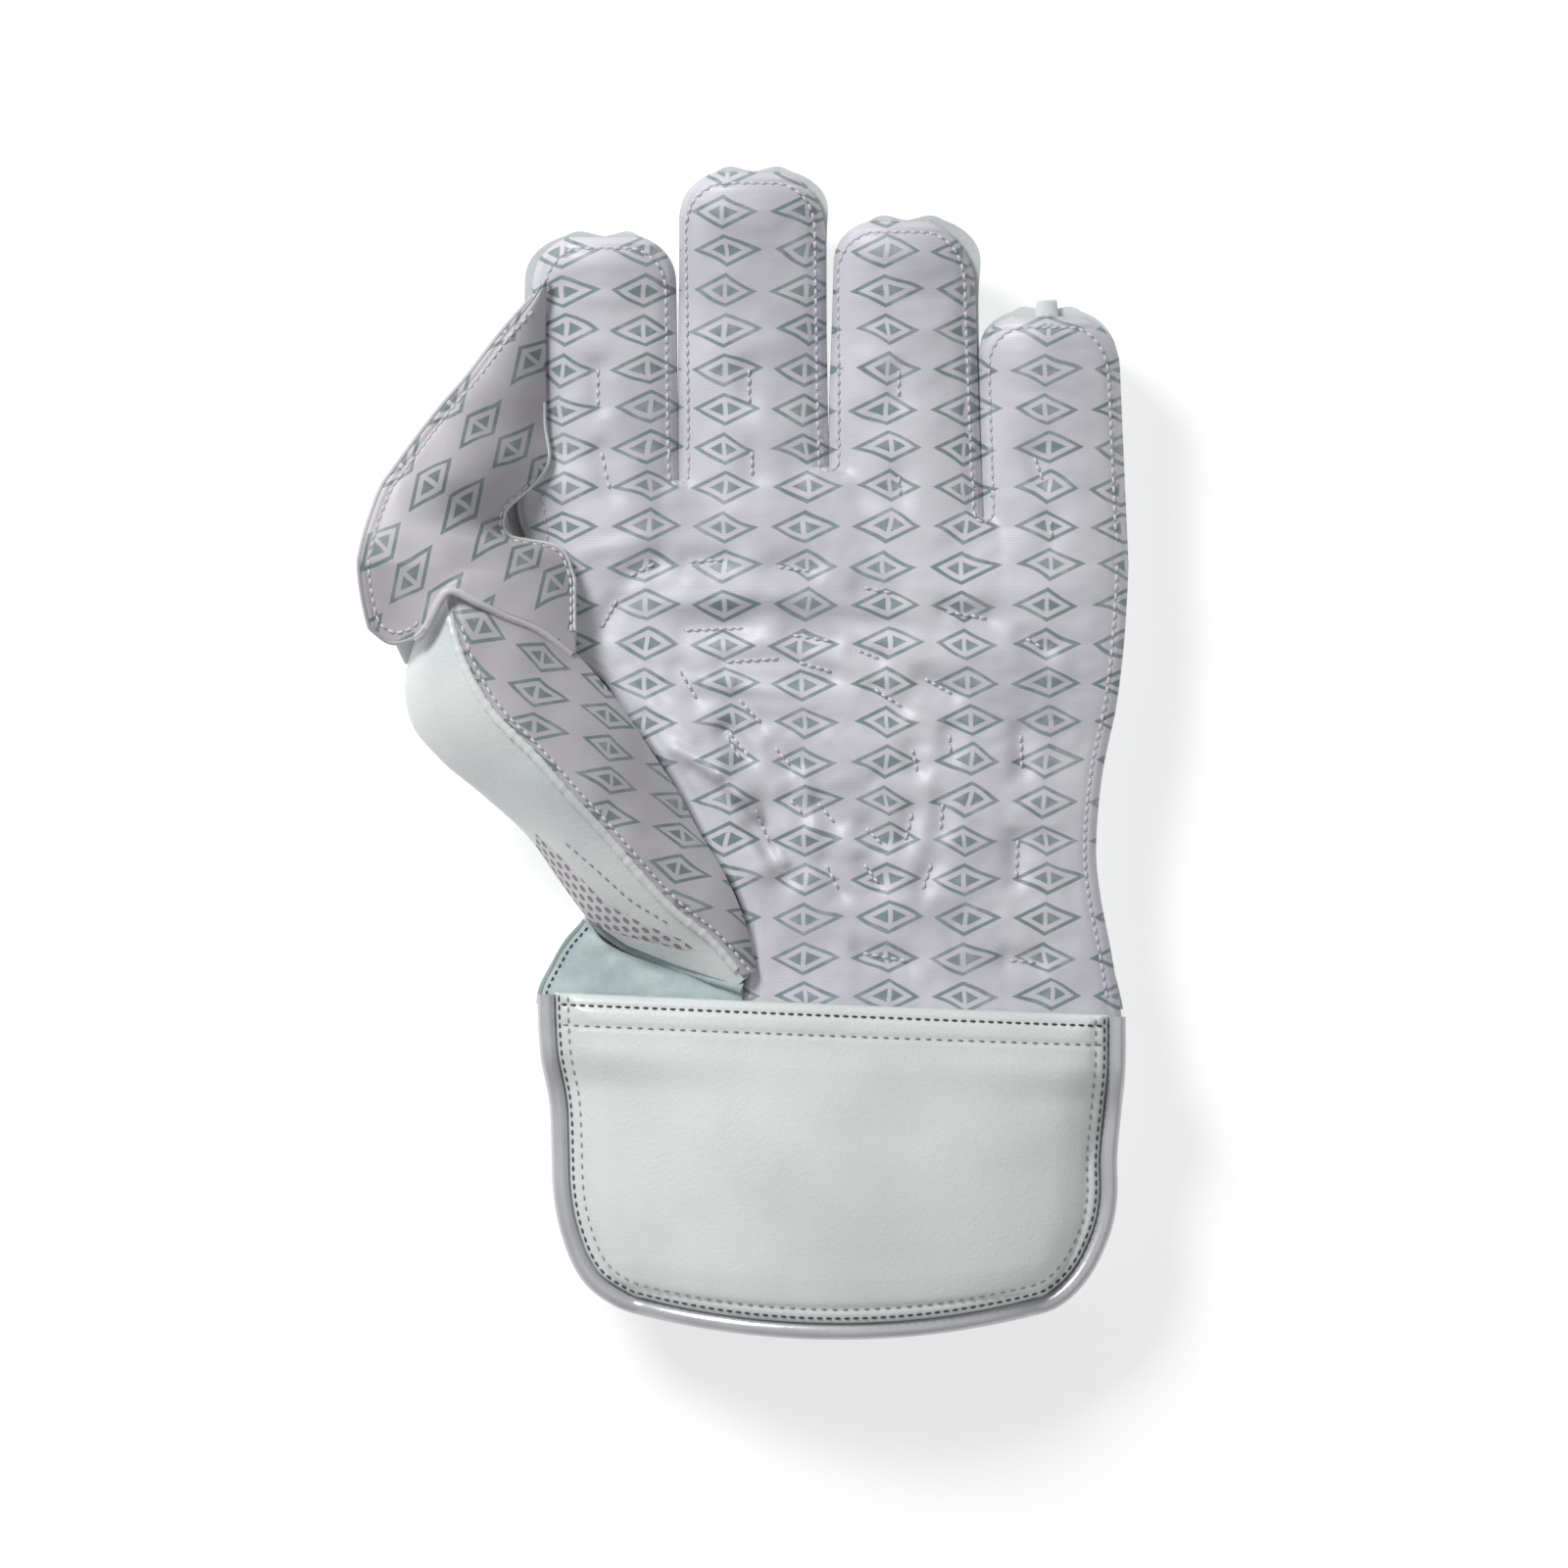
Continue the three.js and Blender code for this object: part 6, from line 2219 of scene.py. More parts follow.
@dataclass
class Web:
    """The web between thumb and index finger, with its bound free edge."""

    rows: int = 90
    columns: int = 44
    seam_in: float = 2.4
    groove: float = 0.5
    groove_width: float = 0.6
    wrinkle: float = 11.0
    wrinkle_rise: float = 0.7
    seed: float = 3.0
    root_span: tuple = (111.0, 140.0)
    hem_offset: tuple = (-0.3, -0.7, -1.3)
    flap_corners: tuple = ((-0.27, 0.74), (-0.16, 0.74), (-0.226, 0.635), (-0.205, 0.635))
    flap_heights: tuple = (46.0, 40.0)

    def middle(self, at: np.ndarray, share: np.ndarray) -> np.ndarray:
        """Points of the web: at runs along its rows and then on to its hem.

        Args:
            at: The row to read, counted on past the last for the hem.
            share: Share of the way across.

        Returns:
            The points.
        """
        table = np.array(WEB_ROWS)
        keys = np.arange(len(table))
        last = len(table) - 1
        row = [through(keys, table[:, k], np.minimum(at, last)) for k in range(7)]
        x, y = plan(lerp(row[0], row[2], share), lerp(row[1], row[3], share))
        slope = lerp(row[5], row[4], 1 - share * share)
        z = SIZE.web_height * (slope + row[6] * np.sin(math.pi * share))
        hem = np.array(WEB_HEM)
        hem_keys = np.linspace(0, 1, len(hem))
        hem_x, hem_y = plan(through(hem_keys, hem[:, 0], share), through(hem_keys, hem[:, 1], share))
        hem_z = SIZE.web_height * through(hem_keys, hem[:, 2], share)
        on = np.clip((at - last) / 3, 0, 1)
        return np.stack([lerp(x, hem_x, on**1.8), lerp(y, hem_y, on), lerp(z, hem_z, on)], axis=-1)

    def grid(self, below: float, above: float, relief: bool) -> Grid:
        """The web's grid, grown below and above for cutting others.

        Args:
            below: Millimetres that it grows down.
            above: Millimetres that it grows up.
            relief: Whether it has its small relief.

        Returns:
            The grid.
        """
        share, at = np.meshgrid(
            (ease_in_columns(self.columns) + 1) / 2, np.linspace(0, len(WEB_ROWS) + 2, self.rows)
        )
        place = self.middle(at, share)
        top, low = place.copy(), place.copy()
        top[:, :, 2] += above
        low[:, :, 2] -= SIZE.web_wall + below
        if relief:
            away = np.linalg.norm(place - place[:, :1], axis=2)
            top[:, :, 2] -= self.groove * swell(away - self.seam_in, self.groove_width)
            inside = smoothstep(away / 8.0)
            rough = ripple(place[:, :, 0], place[:, :, 1], self.wrinkle, self.seed)
            top[:, :, 2] += self.wrinkle_rise * inside * rough
        return Grid(top, low, place[:, :, :2])

    def free_edge(self) -> np.ndarray:
        """The free edge, from the index fingertip round to the thumb.

        Returns:
            The edge's points.
        """
        at = np.linspace(0, len(WEB_ROWS) + 2, 120)
        side = self.middle(at, np.zeros_like(at))
        share = np.linspace(0, 3 / (len(WEB_HEM) - 1), 24)[1:]
        hem = self.middle(np.full_like(share, len(WEB_ROWS) + 2), share)
        return resample(np.vstack([side, hem]), 1.0)

    def build(self, keep_out: dict[Tool, Piece], palette: dict[Finish, Material]) -> Piece:
        """Builds and dresses the web.

        Args:
            keep_out: The cutting tools.
            palette: The materials.

        Returns:
            The web's sheet.
        """
        skins = [palette[Finish.WEB_FACING], palette[Finish.LEATHER]]
        web = sheet_piece("web_sheet", [self.grid(0.0, 0.0, True)], skins, 0.5)
        cut(web, keep_out[Tool.FACING])
        trimmed(web)
        dress(web, Slot.WEB_FACING, "web_panel")
        edge = self.free_edge()
        edge[:, 2] -= SIZE.web_wall / 2
        binding = swept("web_edge_binding", edge[2:], 0.7, SIZE.web_wall / 2 + 0.3, palette[Finish.EDGE])
        dress(binding, Slot.WEB_FACING)
        edge = self.fixed_edge()
        edge[:, 2] -= SIZE.web_wall / 2
        inner = swept("web_inner_binding", edge, 0.6, SIZE.web_wall / 2 + 0.3, palette[Finish.LEATHER])
        dress(inner, Slot.WEB_FACING)
        share = np.linspace(0.3, 0.99, 70)
        hem = self.middle(np.full_like(share, len(WEB_ROWS) + 2), share) + self.hem_offset
        join = swept("web_hem_join", hem, 1.2, 1.2, palette[Finish.HEM])
        dress(join, Slot.WEB_FACING)
        flap = self.flap(palette[Finish.LEATHER])
        dress(flap, Slot.WEB_FACING)
        self.root_strip(Surface(web), palette[Finish.ROOT])
        return web

    def root_strip(self, surface: Surface, tape: Material) -> None:
        """The strip that joins the web's underside to the side of the hand.

        Args:
            surface: What lies below.
            tape: The tape.
        """
        edge = self.fixed_edge()[::-1]
        y = np.linspace(*self.root_span, 50)
        left, _ = hand_sides(y)
        facing = left - PalmFacing().let_out(y)
        top = np.minimum(np.interp(y, edge[:, 1], edge[:, 0]) - 0.5, facing - 1.4)
        found = [surface.height(x - 0.4, spot) for x, spot in zip(top, y)]
        known = [i for i, z in enumerate(found) if z is not None]
        high = np.interp(np.arange(len(y)), known, [found[i] for i in known])
        high = high - SIZE.web_wall - 0.4
        seam = SIZE.seam_height
        window = np.hanning(13)
        low = np.array([high[max(0, i - 6) : i + 7].min() for i in range(len(high))])
        smooth = np.convolve(np.pad(low, 6, "edge"), window / window.sum(), "valid")
        ends = np.sin(np.pi * np.linspace(0, 1, len(y))) ** 0.6
        rise = (smooth - seam) * ends
        knots_x = np.stack([top, facing - 1.2, facing - 1.2, left - 0.7])
        knots_z = seam + np.stack([rise, 0.4 * rise, 0.02 * rise, -1.8 * ends])
        keys = np.arange(4)
        share = np.linspace(0, 3, 16)
        x = np.array([through(keys, knots_x[:, i], share) for i in range(len(y))])
        z = np.array([through(keys, knots_z[:, i], share) for i in range(len(y))])
        outer = np.stack([x, np.repeat(y[:, None], len(share), axis=1), z], axis=2)
        grid = Grid(outer - [0.5, 0, 0], outer + [0.5, 0, 0], outer[:, :, 1:])
        strip = sheet_piece("web_root_strip", [grid], [tape], 0.2)
        dress(strip, Slot.WEB_FACING)

    def flap(self, leather: Material) -> Piece:
        """The corner of the web's leather back that shows below its hem.

        Args:
            leather: The leather.

        Returns:
            The linked corner.
        """
        share, down = np.meshgrid(np.linspace(0, 1, 12), np.linspace(0, 1, 10))
        corners = [np.array(plan(*spot)) for spot in self.flap_corners]
        place = lerp(
            lerp(corners[0], corners[1], share[..., None]),
            lerp(corners[2], corners[3], share[..., None]),
            down[..., None],
        )
        high = lerp(*self.flap_heights, down)[..., None] - 1.2 * (share[..., None] - 0.5) ** 2
        outer = np.concatenate([place, high], axis=2)
        return sheet_piece("web_back_corner", [Grid(outer, outer - [0, 0, 1.4], place)], [leather], 0.3)

    def fixed_edge(self) -> np.ndarray:
        """The edge beside the palm, from the index finger down to the thumb."""
        at = np.linspace(2.6, len(WEB_ROWS) + 1.2, 90)
        return resample(self.middle(at, np.ones_like(at)), 0.8)

    def sew(self, surface: Surface, thread: Material, shade: Material) -> None:
        """Sews the free edge and the inner one.

        Args:
            surface: What lies below.
            thread: The thread.
            shade: The painted shade inside the needle holes.
        """
        route = inset(self.free_edge()[4:, :2], -self.seam_in)
        inner = inset(self.fixed_edge()[26:, :2], 0.75)
        line = Seam("web_edge_thread", [route, inner]).build(surface, thread, shade)
        dress(line, Slot.WEB_FACING)


@dataclass
class HeelGusset:
    """The suede gusset between the thumb's lip and the cuff."""

    columns: int = 90
    rows: int = 44
    dents: tuple = (
        (0.13, 0.105, 0.19, 0.07, -1.1, 2.2),
        (0.1, 0.125, 0.2, 0.085, 0.7, 2.2),
        (0.19, 0.075, 0.3, 0.045, -0.7, 1.8),
    )
    lip_wall: float = 1.6

    def lip(self, share: np.ndarray) -> tuple[np.ndarray, np.ndarray]:
        """Plan points along the lip.

        Args:
            share: Share of the way across.

        Returns:
            The points' x and y.
        """
        keys = np.linspace(0, 1, len(LIP))
        table = np.array(LIP)
        return plan(through(keys, table[:, 0], share), through(keys, table[:, 1], share))

    def grid(self) -> Grid:
        """The gusset's grid.

        Returns:
            The grid.
        """
        share, down = np.meshgrid(np.linspace(0, 1, self.columns), np.linspace(0, 1, self.rows))
        lip_x, lip_y = self.lip(share)
        foot_x = share * LIP[-1][0] * SIZE.palm_width
        x = lerp(lip_x, foot_x, down)
        y = lerp(lip_y - SIZE.gap, 1.2, down)
        edge = lerp(LIP[0][0] * SIZE.palm_width, 0.0, down)
        left, _ = hand_sides(y)
        x = x + (left - edge) * (1 - share)
        low = seam_at(y) + SIZE.gap / 2 + arch_at(x, y)
        top = low + SIZE.gusset_wall + 0.5 * ripple(x, y * 1.4, 7.0, 9.0)
        return Grid.upright(x, y, top + ridges(x, y, self.dents), low)

    def build(self, palette: dict[Finish, Material]) -> Piece:
        """Builds and dresses the gusset and its binding.

        Args:
            palette: The materials.

        Returns:
            The gusset's sheet.
        """
        grid = self.grid()
        skins = [palette[Finish.SUEDE], palette[Finish.LINING]]
        piece = sheet_piece("heel_gusset_suede", [grid], skins, 0.3)
        dress(piece, Slot.SUEDE, "heel_gusset")
        side = (grid.outer[:, 0] + grid.inner[:, 0]) / 2
        strip = swept("heel_side_binding", resample(side[1:], 1.0), 0.9, 1.5, palette[Finish.BINDING])
        dress(strip, Slot.SUEDE)
        return piece

    def roll(self, thumb: Surface, suede: Surface, leather: Material) -> None:
        """The thumb leather's rolled edge, where it comes down onto the suede.

        Args:
            thumb: The thumb's pieces above.
            suede: The gusset below.
            leather: The roll's material.
        """
        edge = resample(np.column_stack(self.lip(np.linspace(0.01, 0.985, 60))), 1.0)
        above, below = inset(edge, -1.0), inset(edge, 0.6)
        high = [thumb.height(*spot) for spot in above]
        low = [suede.height(*spot) for spot in below]
        found = [i for i in range(len(edge)) if high[i] is not None and low[i] is not None]
        at = np.arange(len(edge))
        high = relaxed(np.interp(at, found, [high[i] for i in found]), 6)
        low = relaxed(np.interp(at, found, [low[i] for i in found]), 6)
        share = np.linspace(0, 1, 9)
        out = 0.35 + 1.3 * np.sin(np.pi * share * 0.85)
        rise = 0.5 * (1 + np.cos(np.pi * share))
        outer, inner = [], []
        for i in at:
            away = inset(edge, 1.0)[i] - edge[i]
            z = lerp(low[i] - 0.6, high[i] - 0.25, rise)
            outer.append(np.column_stack([edge[i] + away * out[:, None], z]))
            inner.append(np.column_stack([edge[i] + away * (out - self.lip_wall)[:, None], z - 0.4]))
        outer, inner = np.array(outer), np.array(inner)
        piece = sheet_piece("thumb_lip_roll", [Grid(outer, inner, outer[:, :, :2])], [leather], 0.2)
        dress(piece, Slot.THUMB_LEATHER)

    def sew(self, surface: Surface, dark: Material, shade: Material) -> None:
        """Sews the gusset's outer side.

        Args:
            surface: What lies below.
            dark: The faces inside the holes, added to.
            shade: The painted shade inside the needle holes.
        """
        side = resample(self.grid().outer[2:, 0, :2], 1.0)
        line = Seam(
            "heel_side_thread", [inset(side, -1.4)], pitch=1.9, stitch=1.2, thick=0.3, proud=0.2, hole=0.0
        )
        dress(line.build(surface, dark, shade), Slot.SUEDE)


@dataclass
class Cuff:
    """The cuff: padded palm panel, back and silver piping."""

    rows: int = 100
    columns: int = 90
    first_row: float = 2.4
    second_row: float = 7.4
    border: float = 3.2
    border_dent: float = 0.55
    border_width: float = 0.9
    row_dent: float = 0.35
    row_width: float = 0.7
    puff: float = 0.7
    wave: float = 24.0
    wave_rise: float = 0.25
    seed: float = 5.0
    fill: float = 0.7

    def point(self, u: Values, v: Values, out: float) -> tuple[np.ndarray, np.ndarray]:
        """A plan point: u from -1 to 1 across and v from 0 to 1 down.

        Args:
            u: Across, from -1 to 1.
            v: Along, from 0 to 1.
            out: Millimetres that the sides move out.

        Returns:
            The point's x and y.
        """
        keys = column(CUFF_SIDES, 0)
        left = through(keys, column(CUFF_SIDES, 1), v) * SIZE.palm_width - out
        right = through(keys, column(CUFF_SIDES, 2), v) * SIZE.palm_width + out
        down = SIZE.cuff_length * v * (1 - SIZE.cuff_bow * v * u * u)
        top = lerp(SIZE.cuff_lap, SIZE.cuff_slant, (u + 1) / 2) * (1 - v)
        return lerp(left, right, (u + 1) / 2), top - down

    def under(self, u: Values, v: Values) -> np.ndarray:
        """Height of the underside of the palm panel.

        Args:
            u: Across, from -1 to 1.
            v: Along, from 0 to 1.

        Returns:
            The height in millimetres.
        """
        side = 1 - u * u
        x, _ = self.point(u, v, 0.0)
        lap = SIZE.facing_wall + SIZE.cuff_clearance
        wrist = lap + arch_at(x, np.zeros_like(x))
        rise = lerp(wrist, SIZE.cuff_arch * side**0.7, smoothstep((v - 0.16) / 0.5))
        settled = np.maximum(0, rise - lap * (1 - side))
        return SIZE.seam_height + SIZE.gap / 2 + lerp(rise, settled, smoothstep((v - 0.16) / 0.14))

    def panel_grid(self) -> Grid:
        """The padded palm panel's grid.

        Returns:
            The grid.
        """
        v = (ease_in_columns(self.rows) + 1) / 2
        u, v = np.meshgrid(ease_in_columns(self.columns), v)
        x, y = self.point(u, v, 0.0)
        side = (1 - np.abs(u)) * 6
        inside = np.minimum.reduce([np.ones_like(u), side, (v + 0.02) * 9, (1.02 - v) * 9])
        thick = lerp(SIZE.cuff_edge, SIZE.cuff_pad, np.sqrt(np.clip(inside * (2 - inside), 0, 1)))
        from_side = (1 - np.abs(u)) * SIZE.palm_width * 0.46
        from_top = v * SIZE.cuff_length
        from_mouth = (1 - v) * SIZE.cuff_length
        from_edge = np.minimum(from_side, from_mouth)
        dent = self.border_dent * swell(from_edge - self.border, self.border_width)
        for row in (self.first_row, self.second_row):
            dent = dent + self.row_dent * swell(from_top - row, self.row_width)
        puff = self.puff * smoothstep((from_edge - self.border) / 9) * smoothstep((from_top - 8) / 9)
        low = self.under(u, v)
        soft = self.wave_rise * ripple(x, y, self.wave, self.seed)
        top = low + thick - dent + puff + soft * smoothstep(from_edge / 8)
        return Grid.upright(x, y, top, low)

    def back_skin(self, wall: float, down: np.ndarray, share: np.ndarray) -> np.ndarray:
        """One skin of the cuff's back.

        Args:
            wall: Millimetres in from the outer skin.
            down: Share of the way down.
            share: Share of the way across.

        Returns:
            The skin's points.
        """
        across, depth = hull_point(share, SIZE.hand_power)
        out = 2 * SIZE.piping_radius - SIZE.piping_lap
        x, _ = self.point(across, down, out - wall)
        _, y = self.point(across, down, out)
        y = np.minimum(y, -down * SIZE.cuff_length * 0.9) - SIZE.gap
        rim = lerp(SIZE.seam_height - SIZE.gap / 2, 4.8, smoothstep((down - 0.72) / 0.28))
        return np.stack([x, y, np.maximum(wall, rim - (rim - wall + SIZE.hull_sink) * depth)], 2)

    def rim_route(self) -> np.ndarray:
        """The panel's edge from its top left, round the mouth, to its top right.

        Returns:
            The edge's points.
        """
        v = np.linspace(0, 1, 90)
        u = ease_in_columns(120)[1:-1]
        down = np.column_stack([*self.point(-np.ones_like(v), v, 0.0), self.under(-np.ones_like(v), v)])
        along = np.column_stack([*self.point(u, np.ones_like(u), 0.0), self.under(u, np.ones_like(u))])
        up = np.column_stack([*self.point(np.ones_like(v), v, 0.0), self.under(np.ones_like(v), v)])
        return np.vstack([down, along, up[::-1]])

    def build(self, palette: dict[Finish, Material]) -> Piece:
        """Builds and dresses the cuff.

        Args:
            palette: The materials.

        Returns:
            The padded palm panel.
        """
        lining = palette[Finish.LINING]
        skins = [palette[Finish.CUFF_LEATHER], lining]
        panel = sheet_piece("cuff_palm_padding", [self.panel_grid()], skins, 0.5)
        dress(panel, Slot.CUFF_LEATHER, "cuff_palm_panel")
        share, down = np.meshgrid(np.linspace(0, 1, 81), np.linspace(0, 1, 60))
        outer = self.back_skin(0.0, down, share)
        inner = self.back_skin(SIZE.cuff_back_wall, down, share)
        grid = Grid(outer, inner, outer[:, :, :2])
        back = sheet_piece("cuff_back_leather", [grid], [palette[Finish.LEATHER], lining], 0.4)
        dress(back, Slot.CUFF_BACK_LEATHER, "cuff_back_panel")
        radius = SIZE.piping_radius
        route = relaxed(resample(self.rim_route(), 1.0), 6)
        run = unit(np.gradient(route, axis=0))
        out = unit(np.column_stack([run[:, 1], -run[:, 0], np.zeros(len(run))]))
        route = route + out * (radius + SIZE.gap) + [0, 0, radius + SIZE.gap / 2]
        piping = swept("cuff_silver_piping", route, radius, radius, palette[Finish.PIPING], 20)
        dress(piping, Slot.PIPING, "cuff_piping")
        return panel

    def sew(self, surface: Surface, dark: Material, pale: Material, shade: Material) -> None:
        """Sews the two rows at the wrist, the border and the seam beside the piping.

        Args:
            surface: What lies below.
            dark: The faces inside the holes, added to.
            pale: The paler thread.
            shade: The painted shade inside the needle holes.
        """
        u = np.linspace(-0.985, 0.985, 200)
        rows = []
        for distance in (self.first_row, self.second_row):
            v = np.full_like(u, distance / SIZE.cuff_length)
            rows.append(np.column_stack(self.point(u, v, 0.0)))
        edge = relaxed(resample(self.rim_route()[:, :2], 1.0), 4)
        seam = inset(edge, -0.9)
        border = inset(edge, -self.border)
        top = Seam(
            "cuff_wrist_thread", [rows[0], seam], pitch=2.3, stitch=1.45, thick=0.34, proud=0.16, hole=0.0
        )
        low = Seam(
            "cuff_border_thread", [rows[1], border], pitch=2.7, stitch=1.35, thick=0.28, proud=0.12, hole=0.0
        )
        for row, thread in ((top, dark), (low, pale)):
            dress(row.build(surface, thread, shade), Slot.CUFF_LEATHER)


# The whole


def cutting_tools(web: Web) -> dict[Tool, Piece]:
    """The tools that trim the thumb and the web where other pieces lie.

    Args:
        web: The web, which the thumb makes room for.

    Returns:
        The tools.
    """
    palm = PalmFacing(finger_columns=10, finger_rows=20, palm_rows=50)
    grids = [palm.finger_grid(number) for number in range(len(FINGERS))] + [palm.palm_grid()]
    for grid in grids:
        grid.outer[:, :, 2] += 0.1
        grid.inner[:, :, 2] = -SIZE.gap
    v = np.linspace(0, 1, 24)
    skin = HandBack(stall_columns=4).skin(0.0, v)
    outline = np.vstack([skin[:, 0, :2] - [SIZE.gap, 0], skin[::-1, -1, :2] + [SIZE.gap, 0]])
    lip = np.column_stack(plan(*np.array(LIP).T))
    far = np.column_stack(plan(*np.array(BELOW_LIP).T))
    mesh = np.column_stack(plan(*np.array(MESH_OUTLINE).T))
    centre = mesh.mean(axis=0)
    high = SIZE.thumb_height * 2
    low = SIZE.seam_height + 1
    return {
        Tool.FACING: sheet_piece("tool_facing", grids, []),
        Tool.WEB: sheet_piece("tool_web", [web.grid(0.1, SIZE.thumb_height, False)], []),
        Tool.HAND: prism("tool_hand", outline, -SIZE.gap, SIZE.seam_height + SIZE.gap / 2),
        Tool.LIP: prism("tool_lip", np.vstack([lip, far]), -SIZE.gap, high),
        Tool.MESH: prism("tool_mesh", mesh, low, high),
        Tool.MESH_ROOM: prism("tool_mesh_room", centre + (mesh - centre) * 1.004, low, high),
    }


def palette() -> dict[Finish, Material]:
    """The materials of the glove.

    Returns:
        The materials, by finish.
    """
    return {
        Finish.PALM_FACING: GripFacing("printed_rubber_grip_palm").build(),
        # The thumb's facing is the palm grip coloured darker: painted shade for its steep side, turned from
        # the key lamp.
        Finish.THUMB_FACING: GripFacing(
            "printed_rubber_grip_thumb_painted_shade", "#BDBBBF", "#A9A6AC", "#6A7C7B", turn=math.radians(50)
        ).build(),
        # The web's facing is also coloured darker: painted shade for its sloping sheet, turned from the key
        # lamp.
        Finish.WEB_FACING: GripFacing(
            "printed_rubber_grip_web_painted_shade", "#C0BEC2", "#ADA9AF", "#6A7C7B", turn=math.radians(-52)
        ).build(),
        Finish.LEATHER: Leather("white_coated_leather").build(),
        Finish.CUFF_LEATHER: Leather("white_cuff_leather", "#DCE1DF", "#CDD2D1", 0.4).build(),
        Finish.LINING: Suede("brushed_cotton_lining", "#DADBDA", "#CFCFD0").build(),
        Finish.SUEDE: Suede("pale_blue_green_suede").build(),
        Finish.BINDING: Suede("grey_green_binding_tape", "#8FA09E", "#7E908E").build(),
        Finish.MESH: PerforatedCloth("perforated_knit").build(),
        Finish.PIPING: SilverPiping("metallised_silver_piping").build(),
        Finish.FACING_THREAD: Thread("white_polyester_thread", "#D9D6DF").build(),
        Finish.DARK_THREAD: Thread("charcoal_polyester_thread", "#3A3C40").build(),
        Finish.PALE_THREAD: Thread("light_grey_polyester_thread", "#8F9396").build(),
        # Painted shade inside the needle holes
        Finish.NEEDLE_HOLE_SHADE: Suede("needle_hole_painted_shade", "#85828C", "#74717B").build(),
        Finish.ROOT: Suede("pale_seam_tape", "#CBC9C4", "#BCB9B3").build(),
        Finish.EDGE: Leather("grip_sheet_cut_edge", "#BBB8BD", "#A8A5AA", 0.6).build(),
        Finish.HEM: Leather("grip_sheet_turned_hem", "#D2D0D4", "#C2BFC4", 0.6).build(),
    }


@dataclass(frozen=True)
class SheetCut:
    """A panel's flat cut in millimetres, what it lies on and what is sewn to it."""

    piece: str
    width: float
    length: float
    area: float
    rests_on: tuple[str, ...]
    sewn_on: tuple[str, ...] = ()

    def declare(self) -> None:
        """Logs the panel's cut area beside the area of its made skin."""
        piece = bpy.data.objects[self.piece]
        skin = sum(face.area for face in piece.data.polygons) / 2
        LOG.info("%s: cut %.0f mm2, made %.0f mm2", self.piece, self.area, skin / MM**2)


SHEET_CUTS = (
    SheetCut(
        "palm_facing_sheet",
        180.0,
        240.0,
        28400.0,
        ("index_stall", "middle_stall", "ring_stall", "little_stall", "hand_back_shell"),
        ("palm_facing_edge_thread", "palm_facing_tack_thread"),
    ),
    SheetCut("thumb_facing_sheet", 34.0, 132.0, 3200.0, ("thumb_cap_leather",), ("thumb_facing_thread",)),
    SheetCut(
        "web_sheet",
        68.0,
        111.0,
        4000.0,
        ("index_stall", "thumb_cap_leather"),
        (
            "web_edge_binding",
            "web_inner_binding",
            "web_hem_join",
            "web_back_corner",
            "web_root_strip",
            "web_edge_thread",
        ),
    ),
    SheetCut(
        "thumb_cap_leather",
        92.0,
        132.0,
        7800.0,
        ("hand_back_shell",),
        ("thumb_seam_binding", "thumb_strip_thread"),
    ),
    SheetCut("thumb_perforated_panel", 23.0, 54.0, 900.0, ("thumb_cap_leather",)),
    SheetCut("hand_back_shell", 206.0, 142.0, 25200.0, ("cuff_back_leather",), ("thumb_base_binding",)),
    SheetCut(
        "heel_gusset_suede",
        54.0,
        26.0,
        730.0,
        ("hand_back_shell",),
        ("heel_side_binding", "heel_side_thread", "thumb_lip_roll"),
    ),
    SheetCut("cuff_back_leather", 184.0, 82.0, 13500.0, ("hand_back_shell",)),
)


# The lamps, as (name, place in metres, size in metres, power in watts)
LAMPS = (
    ("key_softbox", (-0.8, 0.95, 1.2), 0.5, 24.0),
    ("fill_softbox", (0.5, -0.3, 1.6), 1.2, 1.5),
)
WORLD_STRENGTH = 0.34


def light() -> None:
    """A soft even studio: pale world, a large lamp from the top left and a fill."""
    world = bpy.data.worlds.new("pale_studio")
    world.use_nodes = True
    shade = world.node_tree.nodes["Background"]
    shade.inputs["Color"].default_value = (1.0, 1.0, 1.0, 1.0)
    shade.inputs["Strength"].default_value = WORLD_STRENGTH
    bpy.context.scene.world = world
    for name, place, size, power in LAMPS:
        lamp = bpy.data.lights.new(name, "AREA")
        lamp.size = size
        lamp.energy = power
        holder = bpy.data.objects.new(name, lamp)
        holder.location = place
        holder.rotation_euler = (Vector((0, 0, 0)) - Vector(place)).to_track_quat("-Z", "Y").to_euler()
        bpy.context.scene.collection.objects.link(holder)


def floor() -> None:
    """A plain pale floor under the glove."""
    mesh = bpy.data.meshes.new("studio_floor")
    half, drop = 2.0, -0.0004
    corners = [(-half, -half, drop), (half, -half, drop), (half, half, drop), (-half, half, drop)]
    mesh.from_pydata(corners, [], [[0, 1, 2, 3]])
    mesh.materials.append(Floor().build())
    plane = bpy.data.objects.new("studio_floor", mesh)
    bpy.context.scene.collection.objects.link(plane)


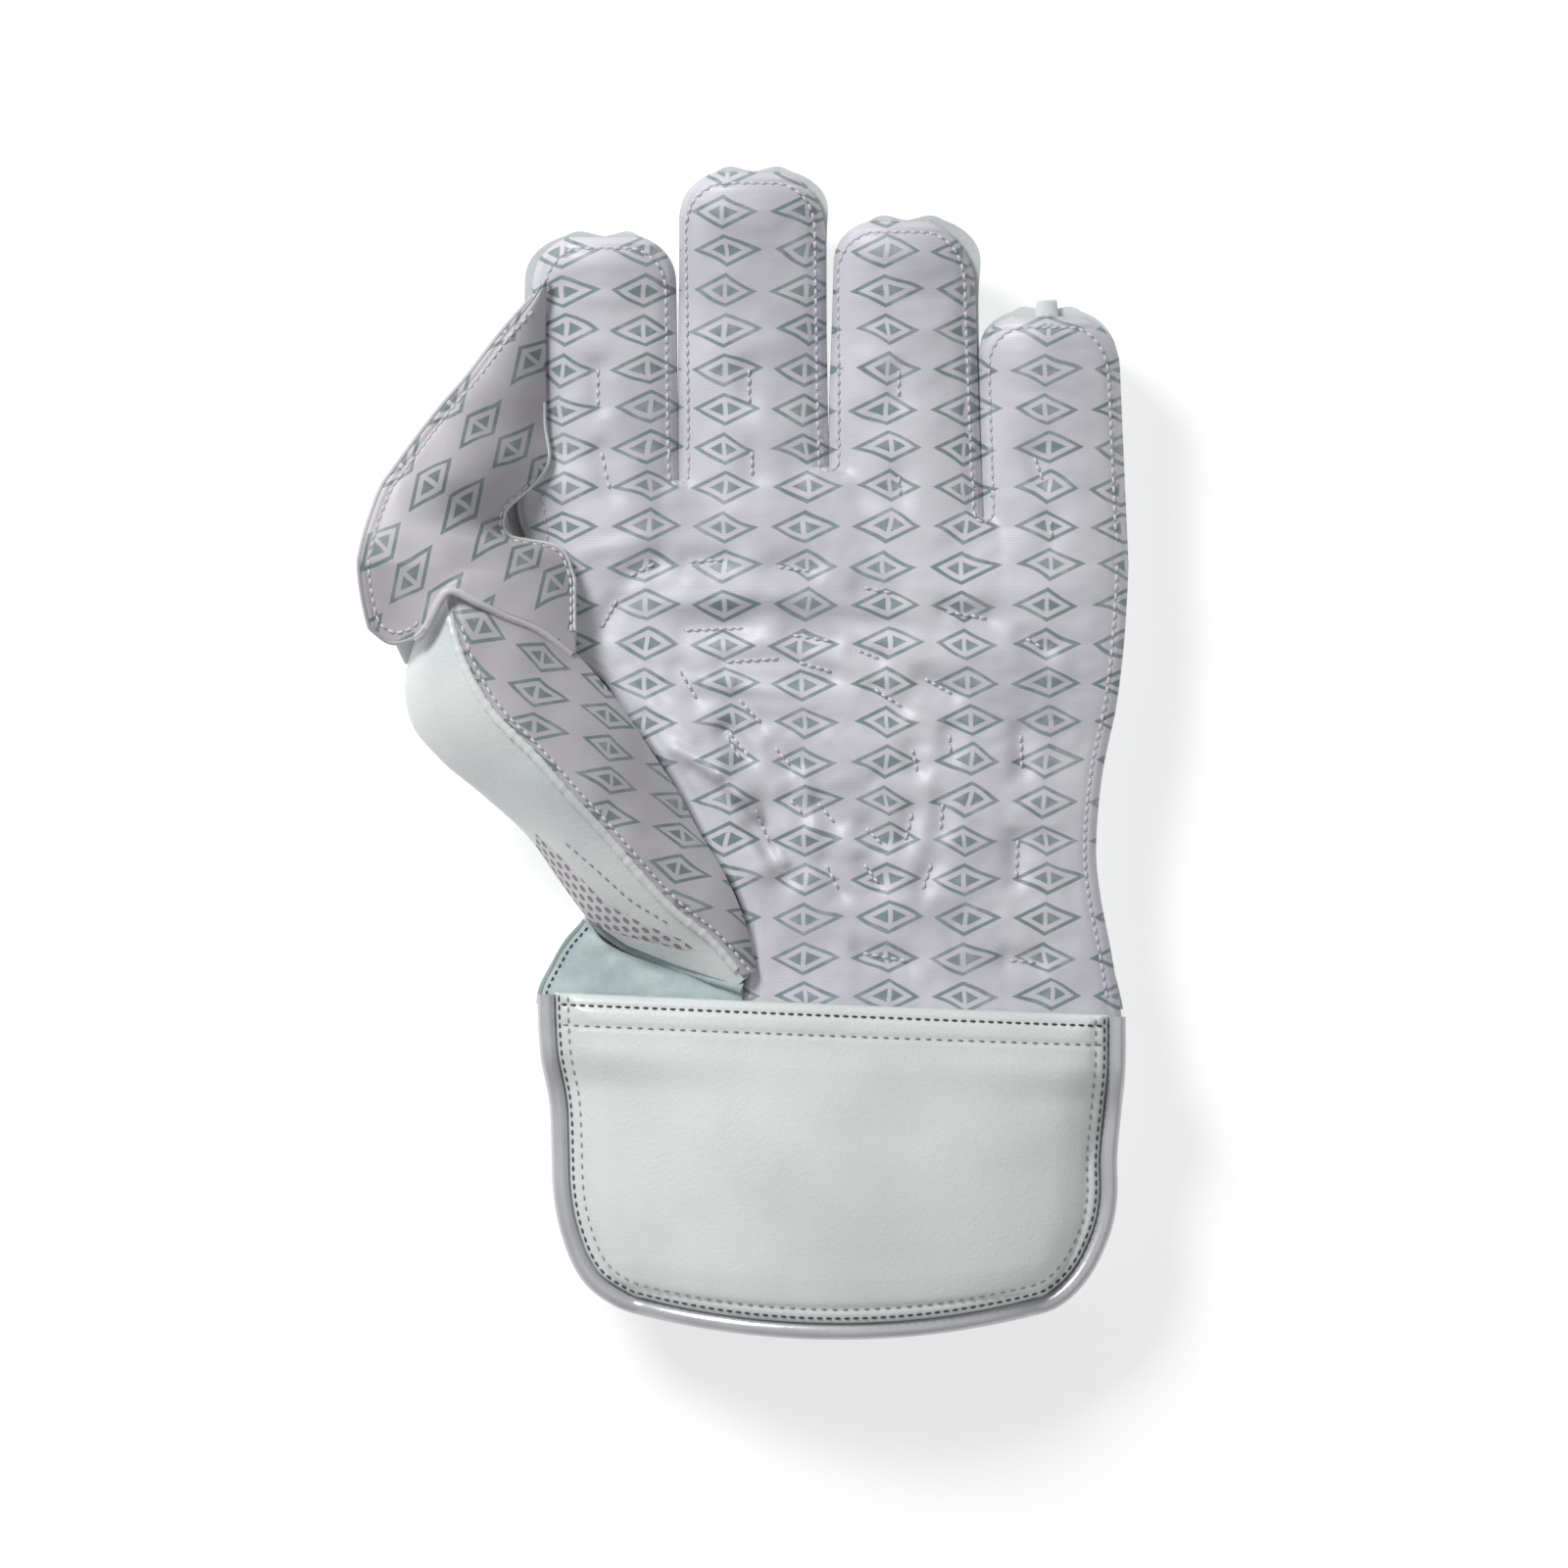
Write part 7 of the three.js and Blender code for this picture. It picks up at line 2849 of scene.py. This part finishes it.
def camera() -> None:
    """A long lens straight over the glove, framed as the photograph is."""
    data = bpy.data.cameras.new("photo_camera")
    sensor, height, subject, frame_width = 36.0, 2.5, 0.035, 0.4
    across, along = 0.0098, -0.0078
    data.sensor_width = sensor
    data.lens = sensor * (height - subject) / frame_width
    data.clip_end = 20.0
    eye = bpy.data.objects.new("photo_camera", data)
    eye.location = (across, along, height)
    bpy.context.scene.collection.objects.link(eye)
    bpy.context.scene.camera = eye


def main() -> None:
    """Builds the scene."""
    logging.basicConfig(level=logging.INFO)
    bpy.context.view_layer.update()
    colours = palette()
    palm, stalls, thumb, web = PalmFacing(), Stalls(), Thumb(), Web()
    gusset, cuff = HeelGusset(), Cuff()
    facing = palm.build(colours[Finish.PALM_FACING], colours[Finish.LINING])
    stalls.build(colours[Finish.LEATHER], colours[Finish.LINING])
    stalls.build_tab(colours[Finish.LEATHER])
    HandBack().build(colours[Finish.LEATHER], colours[Finish.LINING])
    tools = cutting_tools(web)
    thumb_facing, thumb_cap = thumb.build(tools, colours)
    web_sheet = web.build(tools, colours)
    discard(*tools.values())
    suede = Surface(gusset.build(colours))
    gusset.roll(Surface(thumb_cap, thumb_facing), suede, colours[Finish.SUEDE])
    gusset.sew(suede, colours[Finish.DARK_THREAD], colours[Finish.NEEDLE_HOLE_SHADE])
    cuff_panel = cuff.build(colours)
    LOG.info("pieces built")
    hole = colours[Finish.NEEDLE_HOLE_SHADE]
    palm.sew(Surface(facing), colours[Finish.FACING_THREAD], hole)
    thumb.sew(
        Surface(thumb_facing),
        Surface(thumb_cap),
        colours[Finish.FACING_THREAD],
        colours[Finish.PALE_THREAD],
        hole,
    )
    web.sew(Surface(web_sheet), colours[Finish.FACING_THREAD], hole)
    cuff.sew(Surface(cuff_panel), colours[Finish.DARK_THREAD], colours[Finish.PALE_THREAD], hole)
    LOG.info("threads laid")
    for cut_size in SHEET_CUTS:
        cut_size.declare()
    light()
    floor()
    camera()
    bpy.context.scene.view_settings.view_transform = "Standard"


if __name__ == "__main__":
    main()
